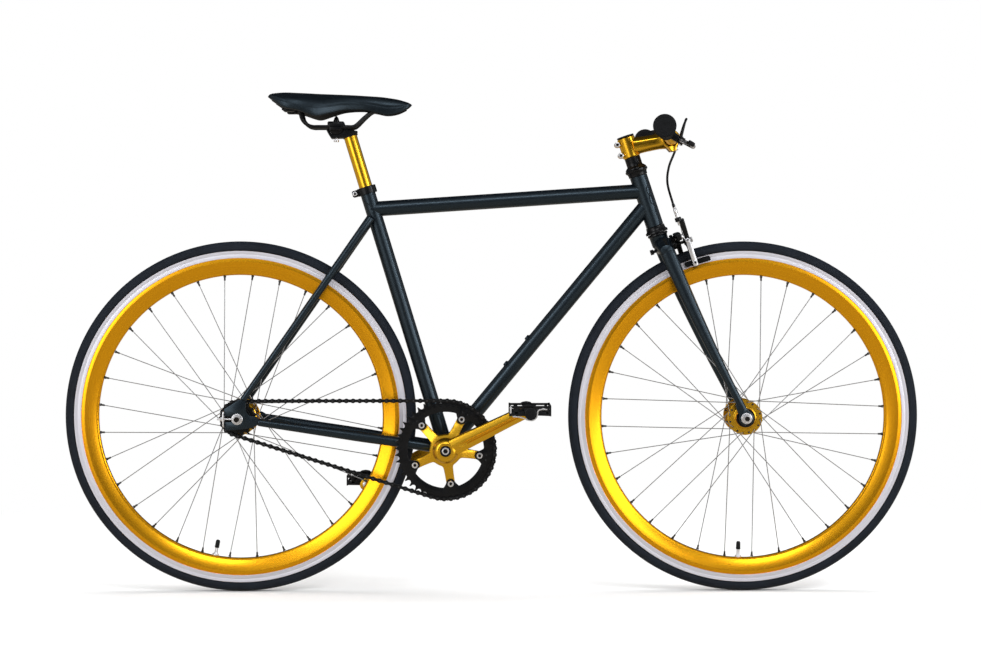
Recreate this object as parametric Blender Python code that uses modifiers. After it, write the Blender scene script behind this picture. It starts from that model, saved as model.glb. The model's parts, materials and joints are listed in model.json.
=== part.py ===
"""Single-speed road bicycle with a fixed rear cog, as an assembly of separate named pieces.

Units are metres. +X points to the front wheel, +Y to the rider's left, +Z up.
The origin lies on the ground, midway between the two wheels, in the middle plane.
Each moving group hangs on an empty that lies on its joint axis.
"""
import bpy
import bmesh
from math import acos, atan2, ceil, cos, degrees, pi, radians, sin
from mathutils import Matrix, Vector

# General layout of the frame and wheels
WHEELBASE = 0.958
BEAD_SEAT_RADIUS = 0.311
TYRE_SECTION = 0.023
BB_DROP = 0.060
SEAT_ANGLE = radians(73.0)
HEAD_ANGLE = radians(71.5)
FORK_RAKE = 0.045
TYRE_TO_CROWN_RACE = 0.050
TYRE_TO_SEAT_TUBE = 0.059
GAP = 0.0003

# Frame tubes
SEAT_TUBE_LENGTH = 0.518
SEAT_TUBE_DIAMETER = 0.0286
SEAT_TUBE_BORE_DEPTH = 0.330
SEAT_CLUSTER_HEIGHT = SEAT_TUBE_LENGTH - 0.042
TOP_TUBE_DIAMETER = 0.0286
DOWN_TUBE_DIAMETER = 0.0286
HEAD_TUBE_LENGTH = 0.100
HEAD_TUBE_DIAMETER = 0.0335
HEAD_TUBE_BORE = 0.0302
TOP_TUBE_BELOW_HEAD_TOP = 0.030
DOWN_TUBE_ABOVE_HEAD_BASE = 0.0445
SHELL_WIDTH = 0.068
SHELL_DIAMETER = 0.0390
SHELL_BORE = 0.0340
CHAIN_STAY_DIAMETER = 0.0200
CHAIN_STAY_END_DIAMETER = 0.0140
SEAT_STAY_DIAMETER = 0.0160
SEAT_STAY_END_DIAMETER = 0.0120
BRIDGE_DIAMETER = 0.0127
BOSS_SPACING = 0.064
BOSS_FROM_SHELL = 0.197
BOSS_DIAMETER = 0.0100
BOSS_HEIGHT = 0.0030
BOSS_THREAD_RADIUS = 0.0025
SEAT_CLAMP_WALL = 0.0038
SEAT_CLAMP_HEIGHT = 0.0140
SEAT_CLAMP_EAR = 0.0125
SEAT_STAY_HALF_SPREAD = 0.0175

# Track ends and rear axle
REAR_SPACING = 0.120
TRACK_END_THICKNESS = 0.0060
REAR_AXLE_DIAMETER = 0.0100
SLOT_WIDTH = 0.0104
TRACK_END_REAR = 0.0240
WASHER_RADIUS = 0.0103
AXLE_NUT_FLATS = 0.0150
AXLE_NUT_HEIGHT = 0.0090
AXLE_BEYOND_NUT = 0.0145

# Fork, headset and stem, measured along the steering axis
STEERER_DIAMETER = 0.0254
FRONT_SPACING = 0.100
FRONT_AXLE_DIAMETER = 0.0090
FORK_TIP_THICKNESS = 0.0060
CUP_HEIGHT = 0.0135
CUP_DIAMETER = 0.0430
SPACER_DIAMETER = 0.0300
SPACER_HEIGHT = 0.0240
STEM_CLAMP_HEIGHT = 0.0390
STEM_LENGTH = 0.080
STEM_WALL = 0.0040
BAR_CLAMP_WALL = 0.0050
BAR_CLAMP_HALF = 0.0200
STEM_RISE = radians(-8.0)
TOP_CAP_HEIGHT = 0.0050
BAR_DIAMETER = 0.0254
GRIP_BAR_DIAMETER = 0.0222
BAR_WIDTH = 0.410
BAR_SWEEP = 0.030
BAR_RISE = 0.012
BAR_BEND_END = 0.056
GRIP_LENGTH = 0.125
GRIP_DIAMETER = 0.0310
GRIP_FLANGE_DIAMETER = 0.0425
BLADE_HALF_SPREAD = 0.0335
CROWN_HALF_WIDTH = 0.0435
FORK_TIP_RADIUS = 0.0140

# Wheels
RIM_WIDTH = 0.0240
RIM_DEPTH = 0.0460
RIM_FLANGE_HEIGHT = 0.0050
RIM_CHANNEL_DEPTH = 0.0090
BRAKE_TRACK_HEIGHT = 0.0140
SPOKES = 32
SPOKE_CROSSINGS = 3
SPOKE_RADIUS = 0.0011
FLANGE_RADIUS = 0.0330
SPOKE_CIRCLE_RADIUS = 0.0290
FLANGE_SPACING = 0.066
FLANGE_THICKNESS = 0.0032
HUB_BARREL_RADIUS = 0.0160
BEARING_BORE = 0.0180
CONE_GAP = 0.0004
WHEEL_STEPS = 40

# Drive train
CHAIN_PITCH = 0.0127
RING_TEETH = 46
COG_TEETH = 16
CHAIN_LINE = 0.0440
COG_SEAT_DIAMETER = 0.0340
TOOTH_WIDTH = 0.0020
LOBE_RADIUS = 0.0043
TOOTH_HEIGHT = 0.0034
TOOTH_SEAT_WIDTH = 0.0042
CHAIN_INNER_WIDTH = 0.0034
PLATE_THICKNESS = 0.0011
BOLT_CIRCLE_RADIUS = 0.065
CRANK_LENGTH = 0.175
CRANK_ANGLE = radians(26.4)
CRANK_BOSS_RADIUS = 0.0175
CRANK_BOSS_FOOT = 0.0225
CRANK_BOSS_THICKNESS = 0.0180
CRANK_INSIDE = 0.0560
CRANK_WIDTH = 0.0290
CRANK_THICKNESS = 0.0135
CRANK_FLARE = 0.0080
CRANK_GROOVE = 0.0022
SPIDER_ARMS = 5
SPIDER_THICKNESS = 0.0035
SPIDER_WEB_RADIUS = 0.0320
SPIDER_WEB_THICKNESS = 0.0060
RING_WINDOW_RADIUS = 0.0720
CRANK_RECESS_RADIUS = 0.0113
CRANK_RECESS_DEPTH = 0.0040
SPIDER_INSIDE = 0.0455
SPINDLE_DIAMETER = 0.0170
SPINDLE_SQUARE = 0.0117
PEDAL_LENGTH = 0.074
PEDAL_WIDTH = 0.088
PEDAL_HEIGHT = 0.020
PEDAL_SPINDLE_DIAMETER = 0.0120
PEDAL_BARREL_RADIUS = 0.0118
PEDAL_RAIL_WIDTH = 0.0090
PEDAL_CAGE_RISE = 0.0060

# Saddle and seatpost
SEATPOST_DIAMETER = 0.0254
SEATPOST_ABOVE_TUBE = 0.102
SEATPOST_LENGTH = 0.300
SADDLE_LENGTH = 0.272
SADDLE_WIDTH = 0.142
SADDLE_NOSE_WIDTH = 0.034
RAIL_DIAMETER = 0.0070
RAIL_SPACING = 0.044
CRADLE_RADIUS = 0.0145
HEAD_THICKNESS = 0.0300
YOKE_LENGTH = 0.0300
SADDLE_SETBACK = 0.0265
SADDLE_BASE_GAP = 0.0012
SADDLE_CLAMP_RISE = 0.0170

# Brake
CALIPER_BELOW_RACE = 0.032
PAD_TRAVEL = 0.0020
PAD_LENGTH = 0.050
BRAKE_BOLT_DIAMETER = 0.0060
HOUSING_DIAMETER = 0.0050
CABLE_DIAMETER = 0.0016
CABLE_AHEAD = 0.0430
CABLE_OFFSET = 0.0300
BARREL_TOP = 0.0660
LEVER_THICKNESS = 0.0068
LEVER_PIN_RADIUS = 0.0025
SIDE_PIVOT_OUT = 0.0230
SIDE_PIVOT_UP = 0.0135
PAD_HOLDER_WIDTH = 0.0090
PAD_HEIGHT = 0.0100
RIGHT_ARM_AHEAD = 0.0480
LEFT_ARM_AHEAD = 0.0340
RIGHT_ARM_THICKNESS = 0.0100
LEFT_ARM_THICKNESS = 0.0090

# Loop of the brake housing: distances ahead and left of the steering axis, and above the stem's top
HOUSING_ROUTE = (
    (0.1130, -0.0250, -0.0095), (0.1203, -0.0040, -0.0035), (0.1143, 0.0140, -0.0121),
    (0.1019, 0.0235, -0.0301), (0.0832, 0.0230, -0.0544), (0.0623, 0.0160, -0.0791),
    (0.0487, 0.0020, -0.1072),
)

# Sizes that follow from the ones above
TYRE_RADIUS = BEAD_SEAT_RADIUS + TYRE_SECTION
RIM_OUTER_RADIUS = BEAD_SEAT_RADIUS + RIM_FLANGE_HEIGHT
RIM_INNER_RADIUS = RIM_OUTER_RADIUS - RIM_DEPTH
RING_PITCH_RADIUS = CHAIN_PITCH / (2 * sin(pi / RING_TEETH))
COG_PITCH_RADIUS = CHAIN_PITCH / (2 * sin(pi / COG_TEETH))

PARTS = "bicycle"
CUTTERS = "cutters"
Y_AXIS = Vector((0, 1, 0))
Z_AXIS = Vector((0, 0, 1))


def chain_angle(centres):
    """Angle by which each straight run leans from the line of centres."""
    return acos((RING_PITCH_RADIUS - COG_PITCH_RADIUS) / centres)


def links_at(centres):
    """Number of pitches that close around both sprockets at this distance."""
    lean = chain_angle(centres)
    straight = 2 * centres * sin(lean) / CHAIN_PITCH
    return straight + RING_TEETH * (1 - lean / pi) + COG_TEETH * lean / pi


def chainstay_for(links):
    """Distance of the sprocket centres at which the chain has this many links."""
    low, high = RING_PITCH_RADIUS, 4 * links * CHAIN_PITCH
    for _ in range(80):
        middle = (low + high) / 2
        if links_at(middle) < links:
            low = middle
        else:
            high = middle
    return low


CHAIN_LINKS = 2 * ceil(links_at(TYRE_RADIUS + TYRE_TO_SEAT_TUBE) / 2)
CHAINSTAY = chainstay_for(CHAIN_LINKS)

REAR_CENTRE = Vector((-WHEELBASE / 2, 0, TYRE_RADIUS))
FRONT_CENTRE = Vector((WHEELBASE / 2, 0, TYRE_RADIUS))
BB_CENTRE = REAR_CENTRE + Vector(((CHAINSTAY ** 2 - BB_DROP ** 2) ** 0.5, 0, -BB_DROP))
SEAT_UP = Vector((-cos(SEAT_ANGLE), 0, sin(SEAT_ANGLE)))
STEER_UP = Vector((-cos(HEAD_ANGLE), 0, sin(HEAD_ANGLE)))
STEER_AHEAD = Vector((sin(HEAD_ANGLE), 0, cos(HEAD_ANGLE)))
STEER_FOOT = FRONT_CENTRE - STEER_AHEAD * FORK_RAKE

# Centre of the saddle clamp, on the rails' axes, and the saddle's tail behind it
POST_TOP = BB_CENTRE + SEAT_UP * (SEAT_TUBE_LENGTH + SEATPOST_ABOVE_TUBE)
SADDLE_CLAMP = POST_TOP + Vector((-SADDLE_SETBACK, 0, SADDLE_CLAMP_RISE))
SADDLE_TAIL = -0.1285

# Heights along the steering axis, from the foot of the front axle
CROWN_RACE = TYRE_RADIUS + TYRE_TO_CROWN_RACE
HEAD_BASE = CROWN_RACE + CUP_HEIGHT + GAP
HEAD_TOP = HEAD_BASE + HEAD_TUBE_LENGTH
SPACER_BASE = HEAD_TOP + CUP_HEIGHT + 2 * GAP
STEM_BASE = SPACER_BASE + SPACER_HEIGHT + GAP
STEM_TOP = STEM_BASE + STEM_CLAMP_HEIGHT
BRAKE_HEIGHT = CROWN_RACE - CALIPER_BELOW_RACE


def clear_scene():
    for item in list(bpy.data.objects):
        bpy.data.objects.remove(item, do_unlink=True)


def new_collection(name):
    made = bpy.data.collections.new(name)
    bpy.context.scene.collection.children.link(made)
    return made


def make_material(name, color, roughness, metallic):
    made = bpy.data.materials.new(name)
    made.use_nodes = True
    shader = made.node_tree.nodes["Principled BSDF"]
    shader.inputs["Base Color"].default_value = (*color, 1.0)
    shader.inputs["Roughness"].default_value = roughness
    shader.inputs["Metallic"].default_value = metallic
    return made


def make_materials():
    return {
        "paint": make_material("charcoal_paint", (0.020, 0.026, 0.036), 0.42, 0.0),
        "gold": make_material("gold_anodised", (0.85, 0.50, 0.06), 0.25, 1.0),
        "rim_gold": make_material("gold_rim", (0.88, 0.56, 0.05), 0.45, 0.8),
        "steel": make_material("bright_steel", (0.72, 0.72, 0.74), 0.25, 1.0),
        "black": make_material("black_alloy", (0.012, 0.012, 0.014), 0.30, 0.4),
        "rubber": make_material("tyre_rubber", (0.015, 0.017, 0.022), 0.75, 0.0),
        "grip": make_material("grip_rubber", (0.020, 0.020, 0.024), 0.80, 0.0),
        "cover": make_material("saddle_cover", (0.018, 0.020, 0.026), 0.45, 0.0),
        "plastic": make_material("black_plastic", (0.015, 0.015, 0.017), 0.50, 0.0),
        "chain": make_material("chain_steel", (0.030, 0.030, 0.032), 0.40, 0.8),
    }


def add_object(name, mesh, finish, parent=None):
    """Link a mesh as a part, or as a hidden tool when it has no finish."""
    made = bpy.data.objects.new(name, mesh)
    if finish is None:
        bpy.data.collections[CUTTERS].objects.link(made)
        made.hide_render = True
        made.display_type = "WIRE"
    else:
        bpy.data.collections[PARTS].objects.link(made)
        mesh.materials.append(MATERIALS[finish])
    made.parent = parent
    return made


def add_empty(name, location, up=Z_AXIS, ahead=None, parent=None):
    """Empty at a joint, its Z along up and its X along ahead."""
    made = bpy.data.objects.new(name, None)
    made.empty_display_size = 0.05
    bpy.data.collections[PARTS].objects.link(made)
    made.parent = parent
    if ahead is not None:
        side = up.cross(ahead)
        made.matrix_local = Matrix.Translation(location) @ Matrix((ahead, side, up)).transposed().to_4x4()
    else:
        made.location = location
        made.rotation_euler = Z_AXIS.rotation_difference(up).to_euler()
    return made


def shade_round(mesh):
    mesh.shade_smooth()
    mesh.set_sharp_from_angle(angle=radians(35))


def rod(name, start, end, radius, finish, parent=None, end_radius=None, sides=12):
    """Round bar or cone between two points, both ends capped."""
    start, end = Vector(start), Vector(end)
    along = end - start
    tool = bmesh.new()
    bmesh.ops.create_cone(
        tool,
        cap_ends=True,
        segments=sides,
        radius1=radius,
        radius2=radius if end_radius is None else end_radius,
        depth=along.length,
    )
    mesh = bpy.data.meshes.new(name)
    tool.to_mesh(mesh)
    tool.free()
    shade_round(mesh)
    made = add_object(name, mesh, finish, parent)
    made.location = (start + end) / 2
    made.rotation_euler = Z_AXIS.rotation_difference(along).to_euler()
    return made


def block(name, centre, size, finish, parent=None, rotation=(0, 0, 0), bevel=0.0):
    """Rectangular block of full side lengths, with its long edges broken."""
    tool = bmesh.new()
    bmesh.ops.create_cube(tool, size=1.0, matrix=Matrix.Diagonal((*size, 1)))
    mesh = bpy.data.meshes.new(name)
    tool.to_mesh(mesh)
    tool.free()
    made = add_object(name, mesh, finish, parent)
    made.location = centre
    made.rotation_euler = rotation
    if bevel:
        edge = made.modifiers.new("edges", "BEVEL")
        edge.width = bevel
        edge.segments = 1
    return made


def turned(name, profile, finish, parent=None, axis=Z_AXIS, location=(0, 0, 0), steps=24, ring=False):
    """Solid of revolution: (radius, height) points from top to bottom down the outer side."""
    mesh = bpy.data.meshes.new(name)
    points = [(radius, 0, height) for radius, height in profile]
    edges = [(i, i + 1) for i in range(len(points) - 1)]
    if ring:
        edges.append((len(points) - 1, 0))
    mesh.from_pydata(points, edges, [])
    made = add_object(name, mesh, finish, parent)
    made.location = location
    made.rotation_euler = Z_AXIS.rotation_difference(axis).to_euler()
    spin = made.modifiers.new("turn", "SCREW")
    spin.steps = steps
    spin.render_steps = steps
    spin.use_merge_vertices = True
    spin.merge_threshold = 0.00001
    spin.use_smooth_shade = True
    return made


def bar_curve(name, points, radius, finish, parent=None, resolution=2, taper=None, convert=False):
    """Round bar bent along points; taper gives each point's share of the radius."""
    data = bpy.data.curves.new(name, "CURVE")
    data.dimensions = "3D"
    data.bevel_depth = radius
    data.bevel_resolution = resolution
    data.use_fill_caps = True
    spline = data.splines.new("POLY")
    spline.points.add(len(points) - 1)
    for index, (point, place) in enumerate(zip(spline.points, points)):
        point.co = (*place, 1)
        point.radius = 1.0 if taper is None else taper[index]
    if not convert:
        return add_object(name, data, finish, parent)
    return curve_to_mesh(name, data, finish, parent)


def curve_to_mesh(name, data, finish, parent):
    """Turn a curve into a mesh object whose caps are welded on."""
    holder = bpy.data.objects.new(name + "_curve", data)
    bpy.context.scene.collection.objects.link(holder)
    bpy.context.view_layer.update()
    evaluated = holder.evaluated_get(bpy.context.evaluated_depsgraph_get())
    mesh = bpy.data.meshes.new_from_object(evaluated)
    tool = bmesh.new()
    tool.from_mesh(mesh)
    bmesh.ops.remove_doubles(tool, verts=tool.verts, dist=0.00002)
    tool.to_mesh(mesh)
    tool.free()
    mesh.materials.clear()
    bpy.data.objects.remove(holder, do_unlink=True)
    return add_object(name, mesh, finish, parent)


def plate(name, loops, thickness, finish, parent=None, location=(0, 0, 0), rotation=(0, 0, 0)):
    """Flat plate from closed outlines; inner outlines are holes. It is centred on its plane."""
    data = bpy.data.curves.new(name, "CURVE")
    data.dimensions = "2D"
    data.fill_mode = "BOTH"
    data.extrude = thickness / 2
    for loop in loops:
        spline = data.splines.new("POLY")
        spline.points.add(len(loop) - 1)
        for point, place in zip(spline.points, loop):
            point.co = (*place, 0, 1)
        spline.use_cyclic_u = True
    made = curve_to_mesh(name, data, finish, parent)
    made.location = location
    made.rotation_euler = rotation
    return made


def loft(name, sections, finish, parent=None, smooth=True):
    """Skin over rings of equally many points, closed by a face at each end."""
    tool = bmesh.new()
    rings = [[tool.verts.new(point) for point in section] for section in sections]
    count = len(rings[0])
    for near, far in zip(rings, rings[1:]):
        for i in range(count):
            j = (i + 1) % count
            tool.faces.new((near[i], near[j], far[j], far[i]))
    tool.faces.new(rings[0])
    tool.faces.new(rings[-1])
    bmesh.ops.recalc_face_normals(tool, faces=tool.faces)
    mesh = bpy.data.meshes.new(name)
    tool.to_mesh(mesh)
    tool.free()
    if smooth:
        shade_round(mesh)
    return add_object(name, mesh, finish, parent)


def ellipse(centre, wide, tall, count=12, power=1.0):
    """Ring of points on an ellipse with half axes wide and tall; a power below 1 squares it."""
    centre, wide, tall = Vector(centre), Vector(wide), Vector(tall)
    ring = []
    for i in range(count):
        angle = 2 * pi * (i + 0.5) / count
        across, up = cos(angle), sin(angle)
        across = abs(across) ** power * (1 if across > 0 else -1)
        up = abs(up) ** power * (1 if up > 0 else -1)
        ring.append(centre + wide * across + tall * up)
    return ring


def arc(centre, radius, start, end, count):
    """Points on an arc from one angle to another, in degrees, both ends included."""
    points = []
    for i in range(count):
        angle = radians(start + (end - start) * i / (count - 1))
        points.append((centre[0] + radius * cos(angle), centre[1] + radius * sin(angle)))
    return points


def circle(centre, radius, count):
    """Closed ring of points without its last, doubled one."""
    return arc(centre, radius, 0, 360, count + 1)[:-1]


def smooth_path(points, spacing):
    """Catmull-Rom curve through the points, read at about equal steps."""
    points = [Vector(point) for point in points]
    ends = [2 * points[0] - points[1]] + points + [2 * points[-1] - points[-2]]
    path = []
    for before, start, end, after in zip(ends, ends[1:], ends[2:], ends[3:]):
        steps = max(1, round((end - start).length / spacing))
        for i in range(steps):
            t = i / steps
            path.append(
                0.5
                * (
                    2 * start
                    + (end - before) * t
                    + (2 * before - 5 * start + 4 * end - after) * t ** 2
                    + (3 * start - before - 3 * end + after) * t ** 3
                )
            )
    return path + [points[-1]]


def cut(target, *tools):
    """Take the tools' shapes away from the target."""
    for tool in tools:
        step = target.modifiers.new("cut_" + tool.name, "BOOLEAN")
        step.operation = "DIFFERENCE"
        step.solver = "EXACT"
        step.object = tool


def join(target, *tools):
    """Weld the tools' shapes to the target."""
    for tool in tools:
        step = target.modifiers.new("join_" + tool.name, "BOOLEAN")
        step.operation = "UNION"
        step.solver = "EXACT"
        step.object = tool


# Frame


def head_point(height, ahead=0.0, side=0.0):
    """World point at a height along the steering axis and a distance ahead of it."""
    return STEER_FOOT + STEER_UP * height + STEER_AHEAD * ahead + Y_AXIS * side


def seat_point(height, ahead=0.0, side=0.0):
    """World point at a height up the seat tube and a distance ahead of its axis."""
    return BB_CENTRE + SEAT_UP * height + SEAT_UP.cross(-Y_AXIS) * -ahead + Y_AXIS * side


def make_head_tube():
    tube = rod(
        "head_tube", head_point(HEAD_BASE), head_point(HEAD_TOP), HEAD_TUBE_DIAMETER / 2, "paint", sides=16
    )
    bore = rod(
        "head_bore", head_point(HEAD_BASE - 0.01), head_point(HEAD_TOP + 0.01), HEAD_TUBE_BORE / 2, None,
        sides=16,
    )
    cut(tube, bore)


def make_main_tubes():
    head_cutter = rod(
        "head_cutter", head_point(HEAD_BASE - 0.05), head_point(HEAD_TOP + 0.05),
        HEAD_TUBE_DIAMETER / 2 + GAP, None, sides=16,
    )
    seat_cutter = rod(
        "seat_cutter", seat_point(0.05), seat_point(SEAT_TUBE_LENGTH + 0.1),
        SEAT_TUBE_DIAMETER / 2 + GAP, None, sides=16,
    )
    shell_cutter = rod(
        "shell_cutter", BB_CENTRE + Y_AXIS * -0.06, BB_CENTRE + Y_AXIS * 0.06,
        SHELL_DIAMETER / 2 + GAP, None, sides=20,
    )

    top_rear = seat_point(SEAT_CLUSTER_HEIGHT)
    top_front = head_point(HEAD_TOP - TOP_TUBE_BELOW_HEAD_TOP)
    top = rod("top_tube", top_rear, top_front, TOP_TUBE_DIAMETER / 2, "paint", sides=16)
    cut(top, head_cutter, seat_cutter)

    down_front = head_point(HEAD_BASE + DOWN_TUBE_ABOVE_HEAD_BASE)
    down = rod("down_tube", BB_CENTRE, down_front, DOWN_TUBE_DIAMETER / 2, "paint", sides=16)
    along = (down_front - BB_CENTRE).normalized()
    upward = Y_AXIS.cross(along) * -1
    cut(down, head_cutter, shell_cutter)
    for number in range(2):
        base = BB_CENTRE + along * (BOSS_FROM_SHELL + number * BOSS_SPACING)
        face = base + upward * (DOWN_TUBE_DIAMETER / 2 + BOSS_HEIGHT)
        boss = rod(f"boss_{number}", base, face, BOSS_DIAMETER / 2, None, sides=10)
        hole = rod(f"boss_hole_{number}", base, face + upward * 0.01, BOSS_THREAD_RADIUS, None, sides=6)
        join(down, boss)
        cut(down, hole)

    seat = rod(
        "seat_tube", BB_CENTRE, seat_point(SEAT_TUBE_LENGTH), SEAT_TUBE_DIAMETER / 2, "paint", sides=16
    )
    bore = rod(
        "seat_bore", seat_point(SEAT_TUBE_LENGTH - SEAT_TUBE_BORE_DEPTH), seat_point(SEAT_TUBE_LENGTH + 0.01),
        SEATPOST_DIAMETER / 2 + GAP, None, sides=16,
    )
    down_cutter = rod(
        "down_cutter", BB_CENTRE - along * 0.02, down_front, DOWN_TUBE_DIAMETER / 2 + GAP, None, sides=16
    )
    cut(seat, shell_cutter, down_cutter, bore)

    shell = rod(
        "bottom_bracket_shell", BB_CENTRE - Y_AXIS * SHELL_WIDTH / 2, BB_CENTRE + Y_AXIS * SHELL_WIDTH / 2,
        SHELL_DIAMETER / 2, "paint", sides=20,
    )
    shell_bore = rod(
        "shell_bore", BB_CENTRE + Y_AXIS * -0.06, BB_CENTRE + Y_AXIS * 0.06, SHELL_BORE / 2, None, sides=20
    )
    cut(shell, shell_bore)
    return seat_cutter, shell_cutter


def track_end_outline():
    """Side view of a track end about the axle, with the slot open to the rear."""
    slot = SLOT_WIDTH / 2
    return (
        [(-TRACK_END_REAR, -slot), (-TRACK_END_REAR, -0.013)]
        + arc((0.008 - TRACK_END_REAR, -0.013), 0.008, 180, 270, 4)
        + [(0.012, -0.019), (0.036, -0.0125), (0.040, 0.0010)]
        + arc((0.0300, 0.0190), 0.0140, 280, 170, 6)
        + [(0.0155, 0.0400), (0.0030, 0.0360), (-TRACK_END_REAR, 0.0190), (-TRACK_END_REAR, slot)]
        + arc((0.0055, 0.0), slot, 90, -90, 7)
    )


def make_rear_triangle(seat_cutter, shell_cutter):
    end_middle = REAR_SPACING / 2 + TRACK_END_THICKNESS / 2
    brake_reach = TYRE_RADIUS + 0.012
    for side, label in ((-1, "right"), (1, "left")):
        track_end = plate(
            f"track_end_{label}", [track_end_outline()], TRACK_END_THICKNESS, None,
            location=REAR_CENTRE + Y_AXIS * side * end_middle, rotation=(pi / 2, 0, 0),
        )
        path = smooth_path(
            [
                BB_CENTRE + Vector((-0.006, side * 0.0235, 0.0010)),
                BB_CENTRE.lerp(REAR_CENTRE, 0.10) + Vector((0, side * 0.0250, 0)),
                BB_CENTRE.lerp(REAR_CENTRE, 0.26) + Vector((0, side * 0.0285, 0)),
                BB_CENTRE.lerp(REAR_CENTRE, 0.50) + Vector((0, side * 0.0420, 0)),
                BB_CENTRE.lerp(REAR_CENTRE, 1 - 0.033 / CHAINSTAY) + Vector((0, side * end_middle, 0)),
            ],
            0.060,
        )
        count = len(path) - 1
        small = CHAIN_STAY_END_DIAMETER / CHAIN_STAY_DIAMETER
        taper = [1 + (small - 1) * max(0.0, (i / count - 0.45) / 0.55) for i in range(count + 1)]
        stay = bar_curve(
            f"chain_stay_{label}", path, CHAIN_STAY_DIAMETER / 2, "paint", resolution=3, taper=taper,
            convert=True,
        )
        cut(stay, shell_cutter)
        join(stay, track_end)

        stay_top = seat_point(SEAT_CLUSTER_HEIGHT - 0.014, -0.006, side * SEAT_STAY_HALF_SPREAD)
        stay_foot = REAR_CENTRE + Vector((0.0135, side * end_middle, 0.0400))
        upper = rod(
            f"seat_stay_{label}", stay_foot, stay_top, SEAT_STAY_END_DIAMETER / 2, "paint",
            end_radius=SEAT_STAY_DIAMETER / 2,
        )
        end_cutter = plate(
            f"track_end_cutter_{label}", [track_end_outline()], TRACK_END_THICKNESS + 2 * GAP, None,
            location=REAR_CENTRE + Y_AXIS * side * end_middle, rotation=(pi / 2, 0, 0),
        )
        end_cutter.scale = (1.01, 1.01, 1)
        cut(upper, seat_cutter, end_cutter)

    stay_length = (stay_top - stay_foot).length
    share = (brake_reach - 0.040) / stay_length
    bridge_at = stay_foot.lerp(stay_top, share)
    half = bridge_at.y
    bridge = rod(
        "seat_stay_bridge", (bridge_at.x, -half, bridge_at.z), (bridge_at.x, half, bridge_at.z),
        BRIDGE_DIAMETER / 2, "paint", sides=12,
    )
    for side in (-1, 1):
        foot = Vector((stay_foot.x, side * stay_foot.y, stay_foot.z))
        top = Vector((stay_top.x, side * stay_top.y, stay_top.z))
        cut(bridge, rod(
            f"stay_cutter_{side}", foot, top, SEAT_STAY_END_DIAMETER / 2 + GAP, None,
            end_radius=SEAT_STAY_DIAMETER / 2 + GAP,
        ))


def make_seat_clamp():
    """Split collar around the top of the seat tube, with two ears behind."""
    inner = SEAT_TUBE_DIAMETER / 2 + GAP
    outer = inner + SEAT_CLAMP_WALL
    base = SEAT_TUBE_LENGTH - 0.0120
    top = base + SEAT_CLAMP_HEIGHT
    lean = (0, SEAT_ANGLE - pi / 2, 0)
    behind = seat_point((base + top) / 2, -(outer + 0.0040))
    collar = rod("seat_clamp", seat_point(base), seat_point(top), outer, "black", sides=18)
    ears = block(
        "clamp_ears", behind, (SEAT_CLAMP_EAR, 0.0170, SEAT_CLAMP_HEIGHT - 0.0020), None, rotation=lean
    )
    slit = block(
        "clamp_slit", behind, (SEAT_CLAMP_EAR + 0.0095, 0.0020, SEAT_CLAMP_HEIGHT + 0.0020), None,
        rotation=lean,
    )
    bore = rod(
        "clamp_bore", seat_point(base - 0.01), seat_point(SEAT_TUBE_LENGTH + GAP), inner, None, sides=18
    )
    lip = rod(
        "clamp_lip_bore", seat_point(base), seat_point(top + 0.01), SEATPOST_DIAMETER / 2 + GAP, None,
        sides=18,
    )
    join(collar, ears)
    cut(collar, bore, lip, slit)


def make_headset():
    """Cups at both ends of the head tube, turned rings with a running gap to the steerer."""
    inner = STEERER_DIAMETER / 2 + 2 * GAP
    outer = CUP_DIAMETER / 2
    plug = HEAD_TUBE_BORE / 2 - GAP
    profile = [
        (inner, 0), (outer, 0), (outer, -0.0045), (HEAD_TUBE_DIAMETER / 2 + 0.0010, -CUP_HEIGHT),
        (plug, -CUP_HEIGHT), (plug, -CUP_HEIGHT - 0.010), (inner, -CUP_HEIGHT - 0.010),
    ]
    turned(
        "headset_upper_cup", profile, "black", axis=STEER_UP,
        location=head_point(HEAD_TOP + CUP_HEIGHT + GAP), steps=16, ring=True,
    )
    turned(
        "headset_lower_cup", profile, "black", axis=-STEER_UP,
        location=head_point(HEAD_BASE - CUP_HEIGHT - GAP), steps=16, ring=True,
    )


def make_bottom_bracket():
    """Cartridge with a lockring lip at each face of the shell."""
    half = SHELL_WIDTH / 2
    bore = SPINDLE_DIAMETER / 2 + 2 * GAP
    body = SHELL_BORE / 2 - GAP
    lip = SHELL_DIAMETER / 2 + 0.0010
    profile = [
        (bore, half + 0.0035), (lip, half + 0.0035), (lip, half + GAP), (body, half + GAP),
        (body, -half - GAP), (lip, -half - GAP), (lip, -half - 0.0035), (bore, -half - 0.0035),
    ]
    turned(
        "bottom_bracket_cartridge", profile, "steel", axis=Y_AXIS, location=BB_CENTRE, steps=16, ring=True
    )


def hexagon(across_flats):
    return circle((0, 0), across_flats / 3 ** 0.5, 6)


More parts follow.
